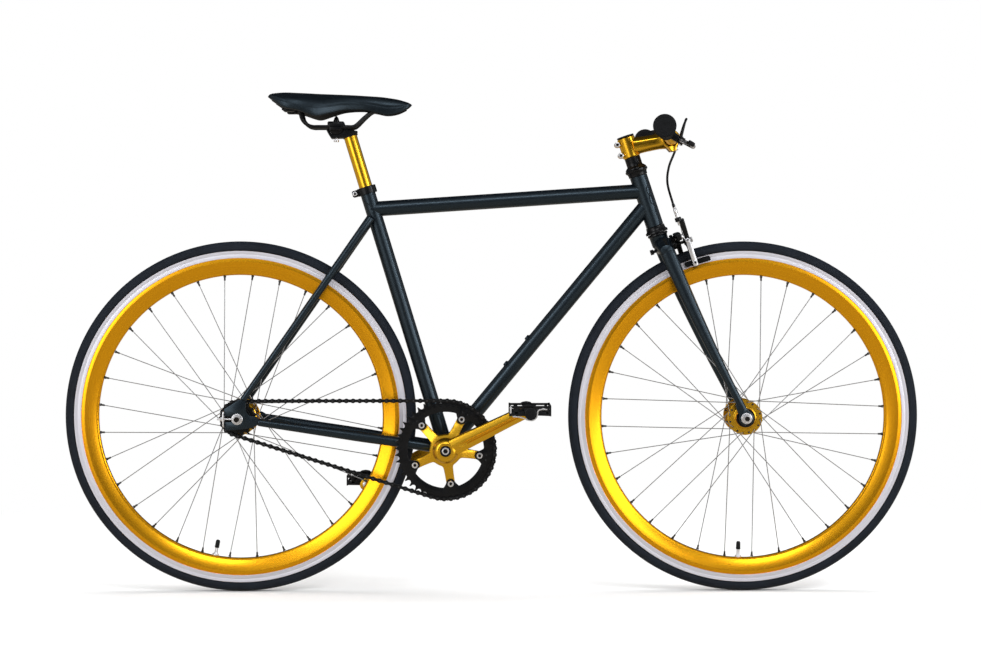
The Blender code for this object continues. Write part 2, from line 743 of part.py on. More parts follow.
def make_axle(name, centre, diameter, spacing, end_thickness, parent):
    """Axle with its cones inside the fork ends and a flanged hexagon nut outside each."""
    half = spacing / 2
    inside = half - GAP
    radius = diameter / 2
    axle_end = half + end_thickness + AXLE_BEYOND_NUT
    cone = BEARING_BORE / 2 - CONE_GAP
    profile = [
        (0, axle_end), (radius, axle_end), (radius, inside), (cone, inside), (cone, inside - 0.0120),
        (radius, inside - 0.0150),
    ]
    profile += [(r, -y) for r, y in reversed(profile)]
    axle = turned(name, profile, "steel", parent=parent, axis=Y_AXIS, location=centre, steps=10)
    for side in (-1, 1):
        face = half + end_thickness + GAP
        washer = rod(
            f"{name}_washer_{side}", (0, side * face, 0), (0, side * (face + 0.0020), 0), WASHER_RADIUS, None,
            parent=parent, sides=12,
        )
        nut = plate(
            f"{name}_nut_{side}", [hexagon(AXLE_NUT_FLATS)], AXLE_NUT_HEIGHT, None, parent=parent,
            location=(0, side * (face + 0.0010 + AXLE_NUT_HEIGHT / 2), 0), rotation=(pi / 2, 0, 0),
        )
        join(axle, washer, nut)


def make_tensioners(parent):
    """Chain tensioner: a plate over the slot's mouth, and the screw and nut that pull the axle."""
    across = REAR_SPACING / 2 + TRACK_END_THICKNESS / 2
    x = -TRACK_END_REAR - GAP - 0.0015
    tip = -REAR_AXLE_DIAMETER / 2 - 0.0020
    for side, label in ((-1, "right"), (1, "left")):
        y = side * across
        cap = block(
            f"chain_tensioner_{label}", (x, y, 0), (0.0030, 0.0150, 0.0300), "steel", parent=parent,
            bevel=0.0006,
        )
        screw = rod(
            f"tensioner_screw_{label}", (x - 0.0120, y, 0), (tip, y, 0), 0.0022, None, parent=parent, sides=8
        )
        nut = rod(
            f"tensioner_nut_{label}", (x - 0.0055, y, 0), (x, y, 0), 0.0045, None, parent=parent, sides=6
        )
        join(cap, screw, nut)


# Wheels


def make_rim(name, parent):
    half = RIM_WIDTH / 2
    outer = RIM_OUTER_RADIUS
    track = outer - BRAKE_TRACK_HEIGHT
    channel = outer - RIM_CHANNEL_DEPTH
    section = [
        (outer, half), (channel, half - 0.0036), (channel, -half + 0.0036), (outer, -half),
        (track, -half), (RIM_INNER_RADIUS, -0.0040), (RIM_INNER_RADIUS, 0.0040), (track, half),
    ]
    return turned(name, section, "rim_gold", parent=parent, axis=Y_AXIS, steps=WHEEL_STEPS, ring=True)


def make_tyre(name, parent):
    bead = RIM_OUTER_RADIUS - RIM_CHANNEL_DEPTH + GAP
    bead_half = RIM_WIDTH / 2 - 0.0044
    widest = TYRE_SECTION / 2 + 0.0003
    section = [
        (TYRE_RADIUS, 0.0), (TYRE_RADIUS - 0.0030, -0.0068), (TYRE_RADIUS - 0.0110, -widest),
        (bead, -bead_half), (bead, bead_half), (TYRE_RADIUS - 0.0110, widest), (TYRE_RADIUS - 0.0030, 0.0068),
    ]
    return turned(name, section, "rubber", parent=parent, axis=Y_AXIS, steps=WHEEL_STEPS, ring=True)


def spoke_ends(index, first_hole, flange_offset):
    """Hub end, rim end of one spoke: holes alternate sides, pairs alternate direction."""
    rim_angle = first_hole + index * 2 * pi / SPOKES
    side = 1 if index % 2 == 0 else -1
    leading = 1 if (index // 2) % 2 == 0 else -1
    hub_angle = rim_angle + leading * SPOKE_CROSSINGS * 4 * pi / SPOKES
    face = FLANGE_THICKNESS / 2 - 0.0002
    hub_end = Vector((
        SPOKE_CIRCLE_RADIUS * cos(hub_angle),
        side * (flange_offset + leading * face),
        SPOKE_CIRCLE_RADIUS * sin(hub_angle),
    ))
    reach = RIM_INNER_RADIUS * cos(pi / WHEEL_STEPS) - GAP
    rim_end = Vector((reach * cos(rim_angle), side * 0.0015, reach * sin(rim_angle)))
    return hub_end, rim_end


def make_hub(name, parent, first_hole, neck_right, neck_left, neck_radius):
    """High flange hub shell, bored for its axle, with its laced spokes welded on."""
    flange = FLANGE_SPACING / 2
    thick = FLANGE_THICKNESS / 2
    bore = BEARING_BORE / 2
    profile = [
        (bore, neck_left), (neck_radius, neck_left), (neck_radius, flange + thick + 0.002),
        (FLANGE_RADIUS, flange + thick), (FLANGE_RADIUS, flange - thick),
        (HUB_BARREL_RADIUS, flange - thick - 0.004),
        (HUB_BARREL_RADIUS, -flange + thick + 0.004), (FLANGE_RADIUS, -flange + thick),
        (FLANGE_RADIUS, -flange - thick), (neck_radius, -flange - thick - 0.002), (neck_radius, -neck_right),
        (bore, -neck_right),
    ]
    hub = turned(name, profile, "gold", parent=parent, axis=Y_AXIS, steps=16, ring=True)
    for group in range(4):
        spokes = bmesh.new()
        for index in range(group, SPOKES, 4):
            start, end = spoke_ends(index, first_hole, flange)
            along = end - start
            turn = Z_AXIS.rotation_difference(along).to_matrix().to_4x4()
            place = Matrix.Translation((start + end) / 2) @ turn
            bmesh.ops.create_cone(
                spokes, cap_ends=True, segments=3, radius1=SPOKE_RADIUS, radius2=SPOKE_RADIUS,
                depth=along.length, matrix=place,
            )
        mesh = bpy.data.meshes.new(f"{name}_spokes_{group}")
        spokes.to_mesh(mesh)
        spokes.free()
        join(hub, add_object(f"{name}_spokes_{group}", mesh, None, parent))


def make_wheels(front_axis, rear_axis):
    for name, axis in (("front", front_axis), ("rear", rear_axis)):
        make_rim(f"{name}_rim", axis)
        make_tyre(f"{name}_tyre", axis)
    neck = FRONT_SPACING / 2 - 0.0055
    make_hub("front_hub", front_axis, radians(274.0), neck, neck, 0.0180)
    rear_neck = REAR_SPACING / 2 - 0.0055
    make_hub("rear_hub", rear_axis, radians(85.1), rear_neck, rear_neck, COG_SEAT_DIAMETER / 2)


# Drive train


def run_geometry():
    """Direction of the line of centres, and the lean of the straight runs from it."""
    line = REAR_CENTRE - BB_CENTRE
    direction = atan2(line.z, line.x)
    lean = chain_angle(CHAINSTAY)
    return direction, lean


def pin_at(number):
    """Centre of a chain pin: it goes over the ring's front, then back over the cog."""
    direction, lean = run_geometry()
    straight = CHAINSTAY * sin(lean) / CHAIN_PITCH
    ring_share = RING_TEETH * (1 - lean / pi)
    cog_share = COG_TEETH * lean / pi
    ring = Vector((BB_CENTRE.x, BB_CENTRE.z))
    cog = Vector((REAR_CENTRE.x, REAR_CENTRE.z))
    upper = direction - lean
    lower = direction + lean
    unit_upper = Vector((cos(upper), sin(upper)))
    unit_lower = Vector((cos(lower), sin(lower)))
    if number < ring_share:
        angle = lower + number * 2 * pi / RING_TEETH
        return ring + Vector((cos(angle), sin(angle))) * RING_PITCH_RADIUS
    number -= ring_share
    if number < straight:
        start = ring + unit_upper * RING_PITCH_RADIUS
        return start.lerp(cog + unit_upper * COG_PITCH_RADIUS, number / straight)
    number -= straight
    if number < cog_share:
        angle = upper + number * 2 * pi / COG_TEETH
        return cog + Vector((cos(angle), sin(angle))) * COG_PITCH_RADIUS
    number -= cog_share
    start = cog + unit_lower * COG_PITCH_RADIUS
    return start.lerp(ring + unit_lower * RING_PITCH_RADIUS, number / straight)


def cog_pin_angle():
    """Angle of the first pin that lies on the cog, where a tooth gap must be."""
    direction, lean = run_geometry()
    straight = CHAINSTAY * sin(lean) / CHAIN_PITCH
    before = RING_TEETH * (1 - lean / pi) + straight
    return direction - lean + (ceil(before) - before) * 2 * pi / COG_TEETH


def ring_pin_angle():
    direction, lean = run_geometry()
    return direction + lean


def make_chain():
    """Roller chain: inner and outer links share a four-sided lobe at each pin.

    Each side of the chain has two layers of plates. A plate spans two pins and ends in half of
    each pin's lobe, so neighbours meet in the lobe's whole outline and the chain is one body.
    """
    inner = CHAIN_INNER_WIDTH / 2
    levels = (inner, inner + PLATE_THICKNESS, inner + 2 * PLATE_THICKNESS)
    pins = [pin_at(i) for i in range(CHAIN_LINKS)]
    tool = bmesh.new()
    lobes = []
    for i, pin in enumerate(pins):
        ahead = pins[(i + 1) % CHAIN_LINKS] - pins[i - 1]
        turn = atan2(ahead.y, ahead.x)
        corners = [
            pin + Vector((cos(turn + k * pi / 2), sin(turn + k * pi / 2))) * LOBE_RADIUS for k in range(4)
        ]
        lobes.append([
            [
                [tool.verts.new((corner.x, -CHAIN_LINE + side * level, corner.y)) for corner in corners]
                for level in levels
            ]
            for side in (-1, 1)
        ])
    for i in range(CHAIN_LINKS):
        here, after = lobes[i], lobes[(i + 1) % CHAIN_LINKS]
        is_outer = i % 2 == 1
        low = 1 if is_outer else 0
        for side in (0, 1):
            outlines = [
                (near[1], near[2], near[3], far[3], far[0], far[1])
                for near, far in zip(here[side], after[side])
            ]
            waists = [
                (near[1], near[0], near[3], far[3], far[2], far[1])
                for near, far in zip(here[side], after[side])
            ]
            for k in range(6):
                j = (k + 1) % 6
                near_edge, far_edge = outlines[low], outlines[low + 1]
                tool.faces.new((near_edge[k], near_edge[j], far_edge[j], far_edge[k]))
            tool.faces.new(waists[1])
            tool.faces.new(outlines[2] if is_outer else waists[0])
        right, left = here[0][0], here[1][0]
        for k in range(4):
            j = (k + 1) % 4
            tool.faces.new((right[k], right[j], left[j], left[k]))
    bmesh.ops.recalc_face_normals(tool, faces=tool.faces)
    mesh = bpy.data.meshes.new("chain")
    tool.to_mesh(mesh)
    tool.free()
    add_object("chain", mesh, "chain")


def tooth_outline(teeth, pin_angle):
    """Sprocket outline: a seat for a roller at each gap and a pointed tooth between two gaps."""
    pitch = CHAIN_PITCH / (2 * sin(pi / teeth))
    outline = []
    for i in range(teeth):
        gap_angle = pin_angle + i * 2 * pi / teeth
        tooth_angle = gap_angle + pi / teeth
        outline += [
            seat_corner(pitch, gap_angle, -TOOTH_SEAT_WIDTH / 2),
            seat_corner(pitch, gap_angle, TOOTH_SEAT_WIDTH / 2),
            ((pitch + TOOTH_HEIGHT) * cos(tooth_angle), (pitch + TOOTH_HEIGHT) * sin(tooth_angle)),
        ]
    return outline


def seat_corner(pitch, angle, across):
    """Point on the floor of a tooth gap, a distance to one side of the pin's radius."""
    radius = pitch - LOBE_RADIUS - GAP
    return (radius * cos(angle) - across * sin(angle), radius * sin(angle) + across * cos(angle))


def crank_sections(side):
    """Rings along a crank arm: flared outwards and narrower towards the pedal eye."""
    rings = []
    for share, wide, deep in (
        (0.04, 1.034, 1.11), (0.16, 1.069, 1.11), (0.45, 1.000, 1.04), (0.75, 0.931, 0.96),
        (0.93, 0.914, 0.96), (1.03, 0.741, 0.93), (1.065, 0.414, 0.85),
    ):
        flare = CRANK_FLARE * min(1.0, max(0.0, (share - 0.05) / 0.80))
        middle = CRANK_INSIDE + CRANK_BOSS_THICKNESS / 2 + flare
        half_w, half_t = wide * CRANK_WIDTH / 2, deep * CRANK_THICKNESS / 2
        groove = CRANK_GROOVE if 0.1 < share < 0.9 else 0.0
        outer = side * (middle + half_t)
        inner = side * (middle - half_t)
        chamfer = half_t * 0.55
        x = share * CRANK_LENGTH
        rings.append([
            Vector((x, outer, -half_w + chamfer)), Vector((x, outer, -half_w * 0.42)),
            Vector((x, outer - side * groove, -half_w * 0.10)),
            Vector((x, outer - side * groove, half_w * 0.10)),
            Vector((x, outer, half_w * 0.42)), Vector((x, outer, half_w - chamfer)),
            Vector((x, outer - side * chamfer, half_w)), Vector((x, inner, half_w - 0.001)),
            Vector((x, inner, -half_w + 0.001)), Vector((x, outer - side * chamfer, -half_w)),
        ])
    return rings


def spider_arm(name, angle, axis):
    """One spider arm: wide and proud at the boss, thin behind the chainring's tab."""
    out = Vector((cos(angle), 0, sin(angle)))
    across = Vector((-sin(angle), 0, cos(angle)))
    tip_outside = CHAIN_LINE - TOOTH_WIDTH / 2 - GAP
    rings = []
    for radius, half, inside, outside in (
        (0.010, 0.0090, SPIDER_INSIDE, 0.0560), (0.040, 0.0072, tip_outside - 0.0040, 0.0475),
        (0.055, 0.0066, tip_outside - SPIDER_THICKNESS, tip_outside),
        (BOLT_CIRCLE_RADIUS + 0.0065, 0.0060, tip_outside - SPIDER_THICKNESS, tip_outside),
    ):
        rings.append([
            out * radius + across * half - Y_AXIS * inside,
            out * radius - across * half - Y_AXIS * inside,
            out * radius - across * half * 0.8 - Y_AXIS * outside,
            out * radius + across * half * 0.8 - Y_AXIS * outside,
        ])
    return loft(name, rings, None, parent=axis, smooth=False)


def make_cranks(right_axis, left_axis):
    """Both crank arms, the right one with its five-armed spider."""
    boss_high = CRANK_INSIDE + CRANK_BOSS_THICKNESS
    eye_middle = CRANK_INSIDE + CRANK_BOSS_THICKNESS / 2 + CRANK_FLARE
    for side, label, axis in ((-1, "right", right_axis), (1, "left", left_axis)):
        boss_low = CRANK_INSIDE if side > 0 else SPIDER_INSIDE
        arm = loft(f"crank_{label}", crank_sections(side), "gold", parent=axis)
        boss = rod(
            f"crank_boss_{label}", (0, side * boss_low, 0), (0, side * boss_high, 0),
            CRANK_BOSS_FOOT, None, parent=axis, sides=16, end_radius=CRANK_BOSS_RADIUS,
        )
        bolt_recess = rod(
            f"crank_recess_{label}", (0, side * (boss_high - CRANK_RECESS_DEPTH), 0),
            (0, side * (boss_high + 0.01), 0), CRANK_RECESS_RADIUS, None, parent=axis, sides=14,
        )
        square_hole = block(
            f"crank_square_{label}", (0, side * CRANK_INSIDE, 0),
            (SPINDLE_SQUARE + 2 * GAP, 0.060, SPINDLE_SQUARE + 2 * GAP), None, parent=axis,
        )
        eye = rod(
            f"pedal_eye_{label}", (CRANK_LENGTH, side * (eye_middle - 0.02), 0),
            (CRANK_LENGTH, side * (eye_middle + 0.02), 0), PEDAL_SPINDLE_DIAMETER / 2 + GAP, None,
            parent=axis, sides=12,
        )
        join(arm, boss)
        if side < 0:
            web = rod(
                "spider_web", (0, -SPIDER_INSIDE, 0), (0, -SPIDER_INSIDE - SPIDER_WEB_THICKNESS, 0),
                SPIDER_WEB_RADIUS, None, parent=axis, sides=30,
            )
            join(arm, web)
            for bolt in range(SPIDER_ARMS):
                join(arm, spider_arm(f"spider_arm_{bolt}", bolt_angle(bolt), axis))
        cut(arm, bolt_recess, square_hole, eye)


def bolt_angle(number):
    """Angle of a chainring bolt from the crank arm, which lies midway between two bolts."""
    return (number + 0.5) * 2 * pi / SPIDER_ARMS


def make_chainring(axis):
    """Toothed ring outside the spider, with a bored boss at each of its inward tabs."""
    window = []
    for bolt in range(SPIDER_ARMS):
        middle = degrees(bolt_angle(bolt))
        window += arc((0, 0), RING_WINDOW_RADIUS, middle - 60, middle - 12, 6)
        spot = (BOLT_CIRCLE_RADIUS * cos(radians(middle)), BOLT_CIRCLE_RADIUS * sin(radians(middle)))
        window += arc(spot, 0.0085, middle - 110, middle - 250, 5)
    teeth = tooth_outline(RING_TEETH, ring_pin_angle() - CRANK_ANGLE)
    plate(
        "chainring", [teeth, window], TOOTH_WIDTH, "black", parent=axis, location=(0, -CHAIN_LINE, 0),
        rotation=(pi / 2, 0, 0),
    )


def make_spindle(axis):
    """Square-ended spindle that carries both cranks."""
    reach = CRANK_INSIDE + CRANK_BOSS_THICKNESS - CRANK_RECESS_DEPTH + 0.0005
    spindle = rod(
        "crank_spindle", (0, -SPIDER_INSIDE + 2 * GAP, 0), (0, CRANK_INSIDE - 0.004, 0),
        SPINDLE_DIAMETER / 2, "steel", parent=axis, sides=16,
    )
    square = block(
        "spindle_square", (0, 0, 0), (SPINDLE_SQUARE, 2 * reach, SPINDLE_SQUARE), None, parent=axis
    )
    join(spindle, square)
    for side in (-1, 1):
        head = rod(
            f"crank_bolt_{side}", (0, side * (reach - 0.0002), 0), (0, side * (reach + 0.0032), 0),
            0.0075, None, parent=axis, sides=12,
        )
        join(spindle, head)


def make_cog(rear_axis):
    """Fixed cog on its carrier, with the lockring outside it."""
    seat = COG_SEAT_DIAMETER / 2 + GAP
    body = seat + 0.0062
    cog = plate(
        "rear_cog", [tooth_outline(COG_TEETH, cog_pin_angle()), circle((0, 0), body - 0.003, 16)],
        TOOTH_WIDTH, "chain", parent=rear_axis, location=(0, -CHAIN_LINE, 0), rotation=(pi / 2, 0, 0),
    )
    carrier = turned(
        "cog_carrier",
        [(seat, 0.0040), (body, 0.0040), (body, -0.0070), (seat, -0.0070)],
        None, parent=rear_axis, axis=Y_AXIS, location=(0, -CHAIN_LINE, 0), steps=16, ring=True,
    )
    join(cog, carrier)


def make_pedal(label, side, crank_axis, pedal_axis):
    """Cage pedal around a spindle that screws into the crank's eye."""
    eye_out = CRANK_INSIDE + CRANK_BOSS_THICKNESS / 2 + CRANK_FLARE + CRANK_THICKNESS / 2
    eye_in = eye_out - CRANK_THICKNESS
    thread = PEDAL_SPINDLE_DIAMETER / 2
    thin = thread * 0.75
    collar = thread * 1.5
    length = PEDAL_WIDTH + 0.006
    reach = eye_out + 0.0015
    turned(
        f"pedal_spindle_{label}",
        [(0, reach + length), (thin, reach + length), (thread, reach + 0.012), (thread, reach + 0.006),
         (collar, reach + 0.005), (collar, reach - 0.0010), (thread, reach - 0.0012),
         (thread, eye_in - 0.0010), (0, eye_in - 0.0010)],
        "steel", parent=crank_axis, axis=Y_AXIS * side, location=(CRANK_LENGTH, 0, 0), steps=12,
    )
    start = reach + 0.0065
    end = start + PEDAL_WIDTH
    middle = side * (start + end) / 2
    body = rod(
        f"pedal_{label}", (0, side * start, 0), (0, side * (end + 0.004), 0), PEDAL_BARREL_RADIUS,
        "plastic", parent=pedal_axis, sides=16,
    )
    half = PEDAL_LENGTH / 2
    for end_side in (-1, 1):
        rail = block(
            f"pedal_rail_{label}_{end_side}",
            (end_side * (half - PEDAL_RAIL_WIDTH / 2), middle, PEDAL_CAGE_RISE),
            (PEDAL_RAIL_WIDTH, PEDAL_WIDTH - 0.004, PEDAL_HEIGHT), None, parent=pedal_axis,
        )
        join(body, rail)
        for across in (-1, 1):
            web = block(
                f"pedal_web_{label}_{end_side}_{across}",
                (end_side * half / 2, middle + across * (PEDAL_WIDTH / 2 - 0.0070), PEDAL_CAGE_RISE / 2),
                (half - 0.0050, 0.0090, PEDAL_HEIGHT * 0.55), None, parent=pedal_axis,
            )
            join(body, web)
    bump = rod(
        f"pedal_bump_{label}", (-0.002, side * (start + 0.004), 0.0085),
        (-0.002, side * (end - 0.004), 0.0085), 0.0085, None, parent=pedal_axis, sides=10,
    )
    bore = turned(
        f"pedal_bore_{label}",
        [(0, reach + length + 0.0010), (thin + GAP, reach + length + 0.0010),
         (thread + GAP, reach + 0.012), (thread + GAP, reach), (0, reach)],
        None, parent=pedal_axis, axis=Y_AXIS * side, steps=12,
    )
    join(body, bump)
    cut(body, bore)


# Fork, headset parts and cockpit, in the steering frame (X ahead, Z up the steerer)


def blade_sections(side):
    """Oval rings down a fork blade, from the crown to the round tip."""
    crown = BRAKE_HEIGHT - 0.004
    foot = 0.016
    spread_top, spread_foot = BLADE_HALF_SPREAD, FRONT_SPACING / 2 + FORK_TIP_THICKNESS / 2
    rings = []
    for share, deep, wide in (
        (0.0, 0.0145, 0.0092), (0.12, 0.0140, 0.0090), (0.35, 0.0120, 0.0082), (0.60, 0.0098, 0.0075),
        (0.82, 0.0078, 0.0068), (1.0, 0.0070, 0.0046),
    ):
        height = crown + (foot - crown) * share
        ahead = 0.0040 + (FORK_RAKE - 0.0040) * (0.62 * share + 0.38 * share ** 2)
        out = spread_top + (spread_foot - spread_top) * min(1.0, share / 0.97)
        rings.append(ellipse((ahead, side * out, height), (deep, 0, 0), (0, wide, 0), 10))
    return rings


def crown_shoulders(name, axis, margin):
    """Arched crown from blade to blade; a margin makes the cutter that trims the blades."""
    rings = [
        ellipse(
            (0.0030, y * CROWN_HALF_WIDTH, BRAKE_HEIGHT + lift), (deep + margin, 0, 0),
            (0, 0, tall + margin), 10,
        )
        for y, lift, deep, tall in (
            (-1, -0.004, 0.0125, 0.0105), (-0.45, 0.006, 0.0165, 0.0165), (0.45, 0.006, 0.0165, 0.0165),
            (1, -0.004, 0.0125, 0.0105),
        )
    ]
    rings[0] = [point - Y_AXIS * margin for point in rings[0]]
    rings[-1] = [point + Y_AXIS * margin for point in rings[-1]]
    return loft(name, rings, None, parent=axis)


def make_fork(axis):
    crown_top = CROWN_RACE - GAP
    steerer = rod(
        "fork_crown", (0, 0, BRAKE_HEIGHT - 0.006), (0, 0, STEM_TOP - 0.003), STEERER_DIAMETER / 2, "paint",
        parent=axis, sides=16,
    )
    race = turned(
        "crown_seat",
        [(0, crown_top), (0.0190, crown_top), (0.0195, crown_top - 0.0040), (0.0170, crown_top - 0.0060),
         (0.0160, BRAKE_HEIGHT + 0.006), (0, BRAKE_HEIGHT + 0.006)],
        None, parent=axis, steps=16,
    )
    shoulder = crown_shoulders("crown_shoulders", axis, 0)
    bolt_hole = rod(
        "brake_hole", (-0.03, 0, BRAKE_HEIGHT), (0.04, 0, BRAKE_HEIGHT), BRAKE_BOLT_DIAMETER / 2 + GAP, None,
        parent=axis, sides=10,
    )
    join(steerer, race, shoulder)
    cut(steerer, bolt_hole)
    for side, label in ((-1, "right"), (1, "left")):
        blade = loft(f"fork_blade_{label}", blade_sections(side), "paint", parent=axis)
        tip = rod(
            f"fork_tip_{label}", (FORK_RAKE, side * FRONT_SPACING / 2, 0),
            (FORK_RAKE, side * (FRONT_SPACING / 2 + FORK_TIP_THICKNESS), 0), FORK_TIP_RADIUS, None,
            parent=axis, sides=16,
        )
        neck = block(
            f"fork_neck_{label}",
            (FORK_RAKE - 0.0035, side * (FRONT_SPACING / 2 + FORK_TIP_THICKNESS / 2), 0.0150),
            (0.0150, FORK_TIP_THICKNESS, 0.0300), None, parent=axis, rotation=(0, radians(-10), 0),
        )
        slot_half = FRONT_AXLE_DIAMETER / 2 + GAP
        slot = plate(
            f"fork_slot_{label}",
            [arc((0, 0), slot_half, 0, 180, 7) + [(-slot_half, -0.03), (slot_half, -0.03)]],
            0.02, None, parent=axis, location=(FORK_RAKE, side * (FRONT_SPACING + FORK_TIP_THICKNESS) / 2, 0),
            rotation=(pi / 2, 0, 0),
        )
        crown_cutter = crown_shoulders(f"crown_cutter_{label}", axis, GAP)
        join(blade, tip, neck)
        cut(blade, crown_cutter, slot)


def make_stem(axis):
    """Threadless stem: steerer clamp, faceted extension and bar clamp with a split faceplate."""
    clamp_outer = STEERER_DIAMETER / 2 + STEM_WALL
    middle = (STEM_BASE + STEM_TOP) / 2
    reach = Vector((STEM_LENGTH * cos(STEM_RISE), 0, STEM_LENGTH * sin(STEM_RISE)))
    base = Vector((0, 0, middle + 0.0005))
    bar_centre = base + reach
    stem = rod("stem", (0, 0, STEM_BASE), (0, 0, STEM_TOP), clamp_outer, "gold", parent=axis, sides=16)
    ears = block(
        "stem_ears", (-clamp_outer - 0.0030, 0, middle), (0.0130, 0.0210, STEM_CLAMP_HEIGHT - 0.0020), None,
        parent=axis, bevel=0.0025,
    )
    up = Vector((-sin(STEM_RISE), 0, cos(STEM_RISE)))
    extension = loft(
        "stem_extension",
        [
            ellipse(base + reach * share, (0, wide, 0), up * tall, 8, 0.9)
            for share, wide, tall in ((0.06, 0.0160, 0.0165), (0.30, 0.0150, 0.0150), (0.72, 0.0155, 0.0145),
                                      (0.92, 0.0190, 0.0165))
        ],
        None, parent=axis, smooth=False,
    )
    bar_outer = BAR_DIAMETER / 2 + BAR_CLAMP_WALL
    clamp_half = BAR_CLAMP_HALF
    clamp = rod(
        "bar_clamp", bar_centre - Y_AXIS * clamp_half, bar_centre + Y_AXIS * clamp_half, bar_outer, None,
        parent=axis, sides=16,
    )
    ahead = reach.normalized()
    split = block(
        "faceplate_split", bar_centre + ahead * 0.0305, (0.0600, 0.0600, 0.0600), None, parent=axis,
        rotation=(0, -STEM_RISE, 0),
    )
    steerer_bore = rod(
        "steerer_bore", (0, 0, STEM_BASE - 0.01), (0, 0, STEM_TOP + 0.01), STEERER_DIAMETER / 2 + GAP, None,
        parent=axis, sides=16,
    )
    rear_slit = block(
        "stem_slit", (-clamp_outer - 0.0030, 0, middle), (0.0300, 0.0022, STEM_CLAMP_HEIGHT + 0.002), None,
        parent=axis,
    )
    bar_bore = rod(
        "bar_bore", bar_centre - Y_AXIS * 0.05, bar_centre + Y_AXIS * 0.05, BAR_DIAMETER / 2 + GAP, None,
        parent=axis, sides=16,
    )
    join(stem, ears, extension, clamp)
    cut(stem, split, steerer_bore, rear_slit, bar_bore)

    face = rod(
        "stem_faceplate", bar_centre - Y_AXIS * clamp_half, bar_centre + Y_AXIS * clamp_half, bar_outer,
        "gold", parent=axis, sides=16,
    )
    lugs = block(
        "faceplate_lugs", bar_centre + ahead * 0.0035,
        (0.0060, 2 * clamp_half - 0.006, 2 * bar_outer + 0.012), None, parent=axis,
        rotation=(0, -STEM_RISE, 0), bevel=0.0015,
    )
    back = block(
        "faceplate_back", bar_centre - ahead * 0.0292, (0.0600, 0.0600, 0.0600), None, parent=axis,
        rotation=(0, -STEM_RISE, 0),
    )
    join(face, lugs)
    cut(face, back, bar_bore)

    spacer_bore, spacer_top = STEERER_DIAMETER / 2 + GAP, SPACER_BASE + SPACER_HEIGHT
    turned(
        "headset_spacer",
        [(spacer_bore, spacer_top), (SPACER_DIAMETER / 2, spacer_top),
         (SPACER_DIAMETER / 2, SPACER_BASE + 0.0070), (CUP_DIAMETER / 2 - 0.0010, SPACER_BASE),
         (spacer_bore, SPACER_BASE)],
        "black", parent=axis, steps=16, ring=True,
    )
    turned(
        "stem_top_cap",
        [(0, STEM_TOP + TOP_CAP_HEIGHT), (0.0140, STEM_TOP + TOP_CAP_HEIGHT), (0.0165, STEM_TOP + 0.0020),
         (0.0165, STEM_TOP + GAP), (0.0, STEM_TOP + GAP)],
        "black", parent=axis, steps=16,
    )
    return bar_centre


def bar_path(bar_centre):
    """Centre line of the low riser bar: flat middle, short rise, swept-back ends."""
    to_world = Matrix((STEER_AHEAD, Y_AXIS, STEER_UP)).transposed()
    world_up = to_world.inverted() @ Vector((0, 0, 1))
    world_ahead = to_world.inverted() @ Vector((1, 0, 0))
    half = BAR_WIDTH / 2
    stations = (
        (0.0, 0.0, 0.0), (0.026, 0.0, 0.0), (0.034, -0.0015, 0.0015), (0.042, -0.0060, 0.0055),
        (0.049, -0.0095, 0.0083), (BAR_BEND_END, -0.0116, 0.0094), (half, -BAR_SWEEP, BAR_RISE),
    )
    left = [bar_centre + Y_AXIS * y + world_ahead * ahead + world_up * rise for y, ahead, rise in stations]
    points = [point - Y_AXIS * 2 * point.y for point in reversed(left)] + left[1:]
    return points


def make_handlebar(axis, bar_centre):
    points = bar_path(bar_centre)
    slim = GRIP_BAR_DIAMETER / BAR_DIAMETER
    taper = [slim if abs(point.y) > BAR_BEND_END - 0.004 else 1.0 for point in points]
    bar_curve(
        "handlebar", points, BAR_DIAMETER / 2, "gold", parent=axis, resolution=4, taper=taper, convert=True
    )
    for side, label in ((-1, "right"), (1, "left")):
        end = points[0] if side < 0 else points[-1]
        near = points[1] if side < 0 else points[-2]
        along = (near - end).normalized()
        bore = GRIP_BAR_DIAMETER / 2 + GAP
        body = GRIP_DIAMETER / 2
        flange = GRIP_FLANGE_DIAMETER / 2
        turned(
            f"grip_{label}",
            [(bore, GRIP_LENGTH), (body + 0.001, GRIP_LENGTH), (body, GRIP_LENGTH - 0.010), (body, 0.006),
             (flange, 0.003), (flange - 0.001, -0.004), (0, -0.004), (0, -GAP), (bore, -GAP)],
            "grip", parent=axis, axis=along, location=end, steps=16, ring=True,
        )
    return points


def lever_frame(points):
    """Point on the bar beside the right grip, and the directions out, ahead and up of the lever."""
    end, near = points[0], points[1]
    outward = (end - near).normalized()
    start = end - outward * (GRIP_LENGTH + 0.0092)
    to_fork = Matrix((STEER_AHEAD, Y_AXIS, STEER_UP)).transposed().inverted()
    forward = to_fork @ Vector((cos(radians(32)), 0, -sin(radians(32))))
    forward = (forward - outward * forward.dot(outward)).normalized()
    return start, outward, forward, outward.cross(forward)


